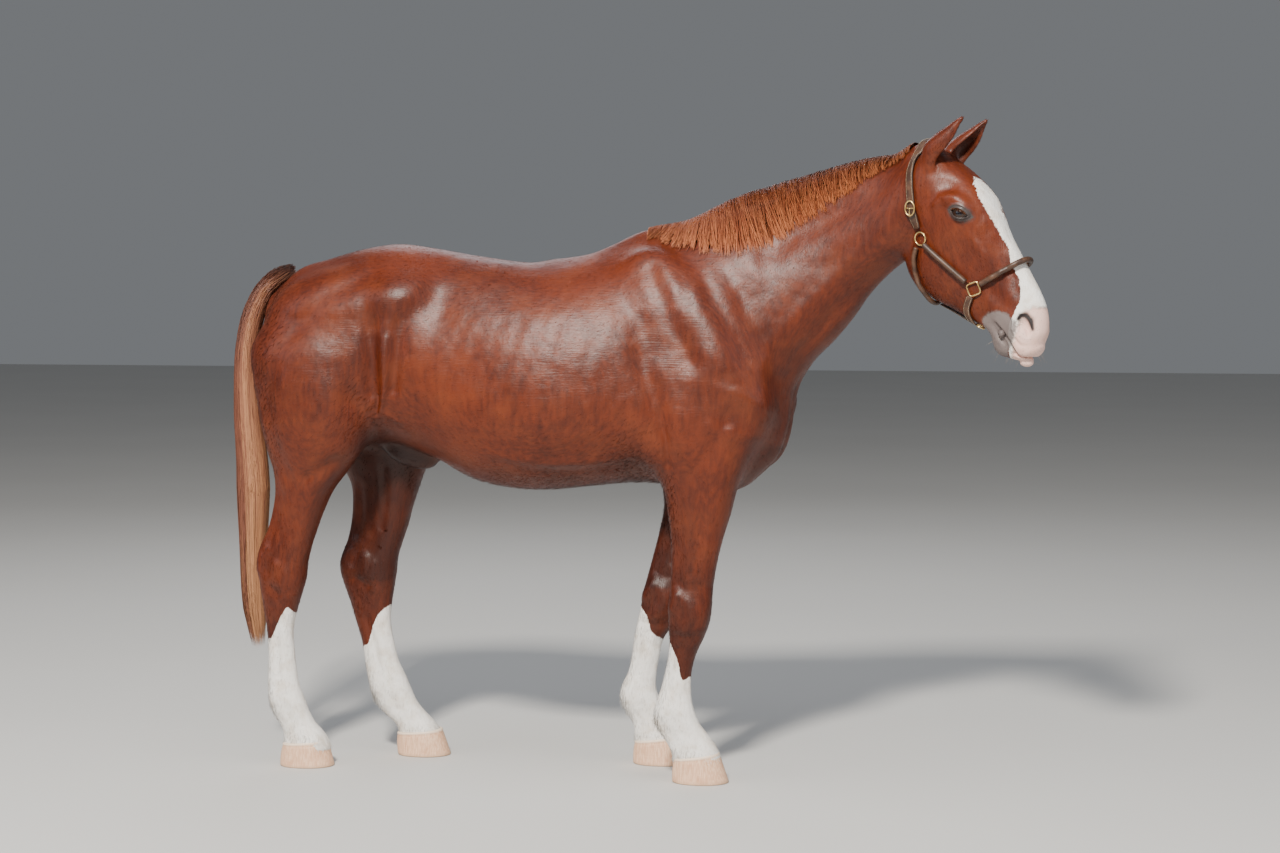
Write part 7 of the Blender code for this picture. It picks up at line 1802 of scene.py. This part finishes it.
def tail_locks(name, count, replaces):
    """Locks that start along the dock, keep their place in the section and draw a little into clumps."""
    steps = 12
    t = np.linspace(0, 1, steps)[None]
    clumps = 60
    a, r = rng.uniform(0, 2 * np.pi, clumps), np.sqrt(rng.random(clumps))
    clump_p, clump_q = r * np.cos(a), r * np.sin(a)
    a, r = rng.uniform(0, 2 * np.pi, count), rng.random(count) ** 0.35
    p0, q0 = r * np.cos(a), r * np.sin(a)
    mine = np.hypot(p0[:, None] - clump_p, q0[:, None] - clump_q).argmin(1)
    start = 0.3 * rng.random(count) ** 1.1
    end = np.clip(np.where(rng.random(count) < 0.72, rng.uniform(0.8, 1.0, count),
        rng.uniform(0.45, 0.85, count)), start + 0.2, 1.0)
    s = start[:, None] + (end - start)[:, None] * t
    pull = 0.45 * t**1.2
    wave = 0.07 * np.sin(t * rng.uniform(5, 11, count)[:, None]
        + rng.uniform(0, 6.3, count)[:, None]) * np.minimum(1, 3 * t)
    p = p0[:, None] + (clump_p[mine] - p0)[:, None] * pull + wave
    q = q0[:, None] + (clump_q[mine] - q0)[:, None] * pull + 0.8 * wave[:, ::-1]
    size = np.maximum(1, np.hypot(p, q) / 0.96)
    p, q = p / size, q / size
    path = tail_place(s, p, q)
    heart = tail_place(s, 0 * p, 0 * q)
    up = level_lengths(path - heart + 1e-5)
    side = level_lengths(np.cross(np.gradient(path, axis=1), up))
    up = level_lengths(np.cross(side, np.gradient(path, axis=1)))
    swell = (0.5 + 0.7 * np.sin(np.pi * np.clip(t, 0, 0.9))) * (1 - 0.4 * t)
    width = rng.uniform(0.0009, 0.0023, count)[:, None] * swell
    thick = rng.uniform(0.0007, 0.0012, count)[:, None] * swell
    inner = ramp(p0, -0.75, 0.75)
    shade = np.clip(0.6 * inner + 0.42 * rng.random(count) + 0.45 * (rng.random(clumps)[mine] - 0.5), 0, 1)
    # painted shade in the tail's core: depth is largest at the middle of the section
    depth = np.clip(1.3 * (1 - np.hypot(p0, q0)), 0, 1)
    root_uv = unwrap(path[:, 0])
    return lay_hair(name, path + SHIFT, side, up, width, thick, shade, depth, tail_finish,
        root_uv, replaces)

for part in (1, 2):
    tail_locks("tail_%d" % part, 2900, ("tail",) if part == 1 else ())

# %% [markdown]
# ## Hooves
# A hoof is a leaning cone cut by the ground. Rings of growth run parallel to the coronet, fine tubes run
# down the wall, and the soft periople makes a pale band under the hair. The heels end in two bulbs.

# %% Hooves
HOOF_HALF_FLOOR, HOOF_HALF_TOP = 0.064, 0.054
HOOF_FLOOR = {("fore", "right"): (0.294, 0.124), ("fore", "left"): (0.133, -0.042),
    ("hind", "right"): (-0.934, -1.102), ("hind", "left"): (-0.627, -0.794)}
CORONETS = {("fore", "right"): ((0.263, 0.09), (0.13, 0.07)),
    ("fore", "left"): ((0.102, 0.088), (-0.036, 0.07)),
    ("hind", "right"): ((-0.955, 0.08), (-1.092, 0.07)),
    ("hind", "left"): ((-0.655, 0.082), (-0.796, 0.07))}
horn = Finish("horn", Roughness=0.42, Specular_IOR_Level=0.45)
at = horn.place()
up_wall, low = horn.attribute("up_wall"), horn.attribute("sole")
tubes = horn.noise(horn.place((300, 300, 7)), 1.0, 2.0)
colour = horn.mix(tubes.rise(0.3, 0.75), (0.7, 0.395, 0.245), (0.88, 0.6, 0.4))
colour = horn.mix(horn.noise(at, 22.0, 4.0).rise(0.5, 0.72) * 0.35, colour, (0.54, 0.27, 0.15))
colour = horn.mix((up_wall + 0.05 * horn.noise(at, 60.0)).rise(0.9, 1.0), colour, (0.9, 0.72, 0.56))
colour = horn.mix((0.16 - up_wall).rise(0.0, 0.16) * (0.4 + 0.6 * horn.noise(at, 30.0, 3.0)), colour,
    (0.52, 0.36, 0.24))
colour = horn.mix(low, colour, (0.26, 0.19, 0.14))
rings_bump = horn.bump(horn.noise(horn.place((12, 12, 330)), 1.0, 2.0), 0.0012, 0.35)
horn.show(Base_Color=colour, Roughness=0.36 + 0.22 * horn.noise(at, 40.0, 3.0),
    Normal=horn.bump(tubes, 0.0008, 0.4, rings_bump))

def hoof(key, loft):
    """Rings round the wall from the floor to the coronet, closed with a sole and a top."""
    (fx, fz), (bx, bz) = CORONETS[key]
    toe, heel = HOOF_FLOOR[key]
    middle_y = float(np.ravel(loft.section(np.array([0.08]))["side"])[0])
    t = np.array([0, 0.004, 0.02, 0.05] + list(np.linspace(0.1, 0.9, 21))
        + [0.94, 0.97, 0.99, 1.0])[:, None]
    a = once_round(96)[None]
    ca, sa = np.cos(a), np.sin(a)
    tuck = (-0.003 * np.exp(-t / 0.006) + 0.001 * np.exp(-((t - 0.95) / 0.035) ** 2)
        - 0.0012 * np.exp(-((t - 0.87) / 0.03) ** 2))
    growth = (0.0003 * np.sin(2 * np.pi * (9.0 * t + 0.25 * np.sin(3 * a) + 0.3 * t**2))
        * np.clip(1 - t, 0, 1) ** 0.4)
    tuck = tuck + growth
    front, back = toe + (fx - toe) * t + tuck, heel + (bx - heel) * t - tuck
    middle = (front + back) / 2
    half = HOOF_HALF_FLOOR + (HOOF_HALF_TOP - HOOF_HALF_FLOOR) * t + tuck
    x = middle + np.where(ca > 0, (front - middle) * ca, (middle - back) * np.sign(ca) * np.abs(ca) ** 0.8)
    bulb = np.exp(-((np.abs(a - np.pi) - 0.42) / 0.3) ** 2) * np.sin(np.pi * np.clip(t, 0, 1)) ** 0.7
    cleft = np.exp(-((a - np.pi) / 0.16) ** 2)
    x = x - 0.0035 * bulb + 0.01 * cleft * (0.4 + 0.6 * t)
    y = middle_y + half * np.sign(sa) * np.abs(sa) ** 0.92
    z = t * (bz + (fz - bz) * (x - bx) / (fx - bx) - 0.0006)
    wall = np.stack([x, y, z], -1)
    hub = lambda ring, share: ring.mean(0) + (ring - ring.mean(0)) * share
    sole = [hub(wall[0], s) + [0, 0, lift]
        for s, lift in ((0.03, 0.006), (0.55, 0.006), (0.86, 0.004), (0.9, 0.0))]
    top = [hub(wall[-1], s) for s in (0.97, 0.5, 0.03)]
    P = np.stack(sole + list(wall) + top)
    n = P.shape[1]
    up_value = np.concatenate([np.zeros(len(sole)), t[:, 0], np.ones(len(top))])
    sole_value = np.concatenate([np.ones(len(sole)), np.zeros(len(wall) + len(top))])
    return P.reshape(-1, 3) + SHIFT, len(P), n, np.repeat(up_value, n), np.repeat(sole_value, n)

for (loft, sign, _), key in zip(SOCKS,
        (("fore", "right"), ("fore", "left"), ("hind", "right"), ("hind", "left"))):
    V, rings, n, up_value, sole_value = hoof(key, loft)
    V[:, 2] = np.maximum(V[:, 2], 0.0)
    ends = [np.arange(n)[None, ::-1], (rings - 1) * n + np.arange(n)[None]]
    make_mesh("horn_" + "_".join(key), V, [tube_faces(rings, n, False)] + ends, horn.material,
        {"up_wall": up_value, "sole": sole_value}, replaces=("hoof_" + "_".join(key),))

# %% [markdown]
# ## Halter
# Straps follow lines laid on the skin, with a section carried along: a rounded oblong for flat leather, a
# circle for rolled leather. Rings are circles of wire standing on the hair. The lead isn't part of it.

# %% Halter lines and finishes
STRAP_GAP = 0.004
CROWN = [(0.892, 0.087, 1.634), (0.884, 0.088, 1.693), (0.881, 0.086, 1.756), (0.881, 0.078, 1.796),
    (0.882, 0.062, 1.836), (0.892, 0.03, 1.872), (0.898, 0.0, 1.885)]
CHEEK = [(0.92, 0.085, 1.588), (0.982, 0.08, 1.537), (1.045, 0.07, 1.482)]
NOSEBAND = [(1.087, 0.066, 1.477), (1.12, 0.062, 1.495), (1.153, 0.055, 1.514), (1.19, 0.036, 1.537),
    (1.206, 0.0, 1.548)]
CHIN = [(1.052, 0.06, 1.44), (1.036, 0.05, 1.404), (1.04, 0.035, 1.372), (1.048, 0.018, 1.358)]
THROAT = [(0.889, 0.085, 1.58), (0.876, 0.08, 1.54), (0.881, 0.07, 1.489), (0.906, 0.046, 1.446),
    (0.918, 0.0, 1.425)]
UNDER_JAW = [(0.935, 0, 1.42), (0.98, 0, 1.395), (1.028, 0, 1.365)]

leather = Finish("leather", Roughness=0.42, Specular_IOR_Level=0.5)
at = leather.place()
worn = leather.noise(at, 38.0, 5.0)
colour = leather.mix(worn.rise(0.35, 0.7), (0.04, 0.018, 0.01), (0.098, 0.044, 0.022))
colour = leather.mix(leather.attribute("edge") * 0.6, colour, (0.02, 0.01, 0.007))
grain = leather.noise(at, 900.0, 2.0)
leather.show(Base_Color=colour, Roughness=0.34 + 0.26 * worn,
    Normal=leather.bump(grain, 0.0004, 0.35, leather.bump(worn, 0.0015, 0.2)))
thread = Finish("thread", Roughness=0.7)
thread.show(Base_Color=thread.mix(thread.noise(thread.place(), 60.0), (0.5, 0.38, 0.24), (0.72, 0.6, 0.42)))
brass = Finish("brass", Roughness=0.24, Metallic=1.0)
tarnish = brass.noise(brass.place(), 70.0, 4.0)
brass.show(Base_Color=brass.mix(tarnish.rise(0.4, 0.75), (0.78, 0.56, 0.24), (0.52, 0.35, 0.15)),
    Roughness=0.18 + 0.26 * tarnish)

def on_line(c):
    """Tangent, sideways and outward directions along a line lying on the skin."""
    t = level_lengths(np.gradient(c, axis=0))
    n = level_lengths(slope(c))
    s = level_lengths(np.cross(t, n))
    return t, s, np.cross(s, t)

def both_sides(points):
    """A strap's line given on the left, run from the right side over the middle to the left."""
    return [(x, -y, z) for x, y, z in points] + [(x, y, z) for x, y, z in points[::-1][1:]]

def strap(name, points, width, thick, count, replaces=(), rolled=False):
    """Leather along a line: its section is |a|^q + |b|^q = 1 scaled to half width and half thickness."""
    c = laid(points, STRAP_GAP + thick / 2, count)
    t, s, n = on_line(c)
    k = 20
    angle = 2 * np.pi * np.arange(k) / k
    q = 2.0 if rolled else 5.0
    r = (np.abs(np.cos(angle)) ** q + np.abs(np.sin(angle)) ** q) ** (-1 / q)
    a, b = r * np.cos(angle) * width / 2, r * np.sin(angle) * thick / 2
    rings = c[:, None] + a[None, :, None] * s[:, None] + b[None, :, None] * n[:, None]
    tips = [c[[0]] + (rings[0] - c[0]) * 0.6 - t[0] * 0.0012,
        c[[-1]] + (rings[-1] - c[-1]) * 0.6 + t[-1] * 0.0012]
    P = np.concatenate([tips[0][None], rings, tips[1][None]])
    edge = np.tile(np.clip(np.abs(a) / (width / 2) * 6 - 5, 0, 1), len(P)) * (not rolled)
    faces = [tube_faces(len(P), k, False)[:, ::-1], np.arange(k)[None],
        ((len(P) - 1) * k + np.arange(k))[None, ::-1]]
    make_mesh(name, place(P.reshape(-1, 3)), faces, leather.material, {"edge": edge},
        replaces=replaces)
    if not rolled:
        stitches(name + "_stitches", c, s, n, width / 2 - 0.003, thick / 2)

def stitches(name, c, s, n, off, height):
    """Two rows of short round stitches along a strap."""
    length = np.concatenate([[0], np.cumsum(np.linalg.norm(np.diff(c, axis=0), axis=1))])
    at_length = np.arange(0.004, length[-1] - 0.004, 0.0042)
    pick = lambda A, u: between_rows(A, length, u)
    rows = []
    for side_way in (-1, 1):
        ends = [pick(c, at_length + step) + side_way * off * pick(s, at_length)
            + (height + lift) * pick(n, at_length)
            for step, lift in ((0.0, -0.0001), (0.0009, 0.0003), (0.0019, 0.0003), (0.0028, -0.0001))]
        rows.append(np.stack(ends, 1))
    path = np.concatenate(rows)
    flat = place(path.reshape(-1, 3)).reshape(path.shape)
    up = level_lengths(place_direction(path[:, 0], np.tile(pick(n, at_length), (2, 1))))
    up = up[:, None].repeat(4, 1)
    side = level_lengths(np.cross(np.gradient(flat, axis=1), up))
    half = np.full(path.shape[:2], 0.00038)
    V, faces, *_ = strands(flat, side, up, half, half, 4)
    make_mesh(name, V, faces, thread.material)

WIRE_TURNS, WIRE_SIDES = 72, 16

def wire_ring(name, centre, gap, radius, wire, stretch=(1.0, 1.0), turn=0.0, corners=2.0, towards=(0, 0, 1),
        replaces=()):
    """A ring of round wire lying on the skin; corners above 2 make it square."""
    c = on_skin([centre], gap + wire)[0]
    n = level_lengths(slope(c[None]))[0]
    u = unit(np.asarray(towards, float) - n * (np.asarray(towards, float) @ n))
    v = np.cross(n, u)
    a = once_round(WIRE_TURNS)[:, None]
    r = radius * (np.abs(np.cos(a)) ** corners + np.abs(np.sin(a)) ** corners) ** (-1 / corners)
    path = c + r * (np.cos(a + turn) * u * stretch[0] + np.sin(a + turn) * v * stretch[1])
    t = level_lengths(np.roll(path, -1, 0) - np.roll(path, 1, 0))
    out = np.cross(t, n)
    b = once_round(WIRE_SIDES)
    P = path[:, None] + wire * (np.cos(b)[None, :, None] * out[:, None] + np.sin(b)[None, :, None] * n)
    faces = tube_faces(WIRE_TURNS, WIRE_SIDES, True)[:, ::-1]
    make_mesh(name, place(P.reshape(-1, 3)), [faces], brass.material, replaces=replaces)
    return c, n, u, v

def bar(name, start, end, radius, material):
    """A short round bar between two points."""
    path = np.stack([start, start + 0.1 * (end - start), start + 0.5 * (end - start),
        start + 0.9 * (end - start), end])[None]
    way = unit(end - start)
    side = unit(np.cross(way, [0.1, 0.9, 0.3]))
    side = np.tile(side, (1, 5, 1))
    half = np.full((1, 5), radius)
    V, faces, *_ = strands(path, side, np.cross(side, way), half, half, 10)
    make_mesh(name, place(V), faces, material)

# %% Straps
def roll(name, points, width, count, replaces):
    """Leather rolled round a cord: as thick as it is wide."""
    strap(name, points, width, width, count, replaces, rolled=True)

FLAT = 0.0045           # how thick the flat straps are
strap("crown_strap", both_sides(CROWN), 0.025, FLAT, 130, ("halter_crown",))
roll("nose_roll", both_sides(NOSEBAND), 0.017, 110, ("halter_noseband",))
roll("throat_roll", both_sides(THROAT), 0.014, 110, ("halter_throat",))
strap("jaw_strap", UNDER_JAW, 0.02, FLAT, 40, ("halter_under_jaw",))
for side_name, sign in SIDES:
    own = lambda points: [(x, sign * y, z) for x, y, z in points]
    roll("cheek_roll_" + side_name, own(CHEEK), 0.017, 60, ("halter_cheek_" + side_name,))
    strap("chin_strap_" + side_name, own(CHIN), 0.021, FLAT, 50, ("halter_chin_" + side_name,))
    wire_ring("cheek_ring_" + side_name, (0.902, sign * 0.09, 1.604), STRAP_GAP, 0.0185, 0.0026,
        replaces=("ring_" + side_name,))
    wire_ring("nose_square_" + side_name, (1.066, sign * 0.07, 1.463), STRAP_GAP, 0.0175, 0.0026,
        turn=0.35, corners=5.0, replaces=("square_" + side_name,))
c, n, u, v = wire_ring("buckle_frame", (0.884, -0.09, 1.693), STRAP_GAP + 0.007, 0.017, 0.0026,
    (1.22, 0.86), replaces=("buckle",))
bar("buckle_bar", c - 0.0146 * v, c + 0.0146 * v, 0.0018, brass.material)
bar("buckle_tongue", c + 0.0022 * n, c - 0.0205 * u + 0.0022 * n, 0.0014, brass.material)
wire_ring("chin_wire", (1.05, 0.0, 1.345), STRAP_GAP, 0.013, 0.0024, towards=(1, 0, 0),
    replaces=("chin_ring",))

# %% [markdown]
# ## Floor, light, and air
# A sun from the camera's side and a pale sky: one warm lamp beside and above the camera, broad cool ones
# overhead and at both ends, and a soft rim from behind. The floor is a plain pale plane.

# %% Floor and lights
floor_finish = Finish("floor", Roughness=0.9)
floor_finish.show(Base_Color=floor_finish.mix(floor_finish.noise(floor_finish.place(), 0.6, 2.0),
    (0.56, 0.55, 0.53), (0.6, 0.59, 0.57)))
FLOOR_HALF, FLOOR_DROP = 30.0, 0.0005        # it lies a hair under the hooves
corners = [(a * FLOOR_HALF, b * FLOOR_HALF, -FLOOR_DROP) for a, b in ((-1, -1), (1, -1), (1, 1), (-1, 1))]
mesh = bpy.data.meshes.new("floor")
mesh.from_pydata(corners, [], [(0, 1, 2, 3)])
mesh.materials.append(floor_finish.material)
floor = bpy.data.objects.new("floor", mesh)
bpy.context.scene.collection.objects.link(floor)

def lamp(name, spot, target, size, power, colour):
    """A square area lamp looking at a target."""
    light = bpy.data.lights.new(name, "AREA")
    light.shape, light.size, light.energy, light.color = "SQUARE", size, power, colour
    made = bpy.data.objects.new(name, light)
    made.location = spot
    made.rotation_euler = (Vector(target) - Vector(spot)).to_track_quat("-Z", "Y").to_euler()
    bpy.context.scene.collection.objects.link(made)
    return made

lamp("sun_side", (-0.4, -7.3, 6.9), (0, 0, 1.0), 1.1, 1750, (1.0, 0.95, 0.87))
lamp("sky_left", (-5.5, -3.5, 4.0), (-0.4, 0, 1.1), 4.0, 110, (0.84, 0.91, 1.0))
lamp("sky_front", (5.5, -2.5, 3.5), (0.4, 0, 1.2), 4.0, 100, (0.88, 0.93, 1.0))
lamp("sky_top", (0.0, -1.5, 7.5), (0, 0, 1.2), 5.0, 90, (0.86, 0.9, 1.0))
lamp("rim", (-1.5, 5.0, 5.0), (0, 0, 1.2), 3.0, 90, (0.92, 0.95, 1.0))

world = bpy.data.worlds.new("air")
bpy.context.scene.world = world
world.use_nodes = True
backdrop = world.node_tree.nodes["Background"]
backdrop.inputs["Color"].default_value = (0.86, 0.9, 0.95, 1)
backdrop.inputs["Strength"].default_value = 0.2
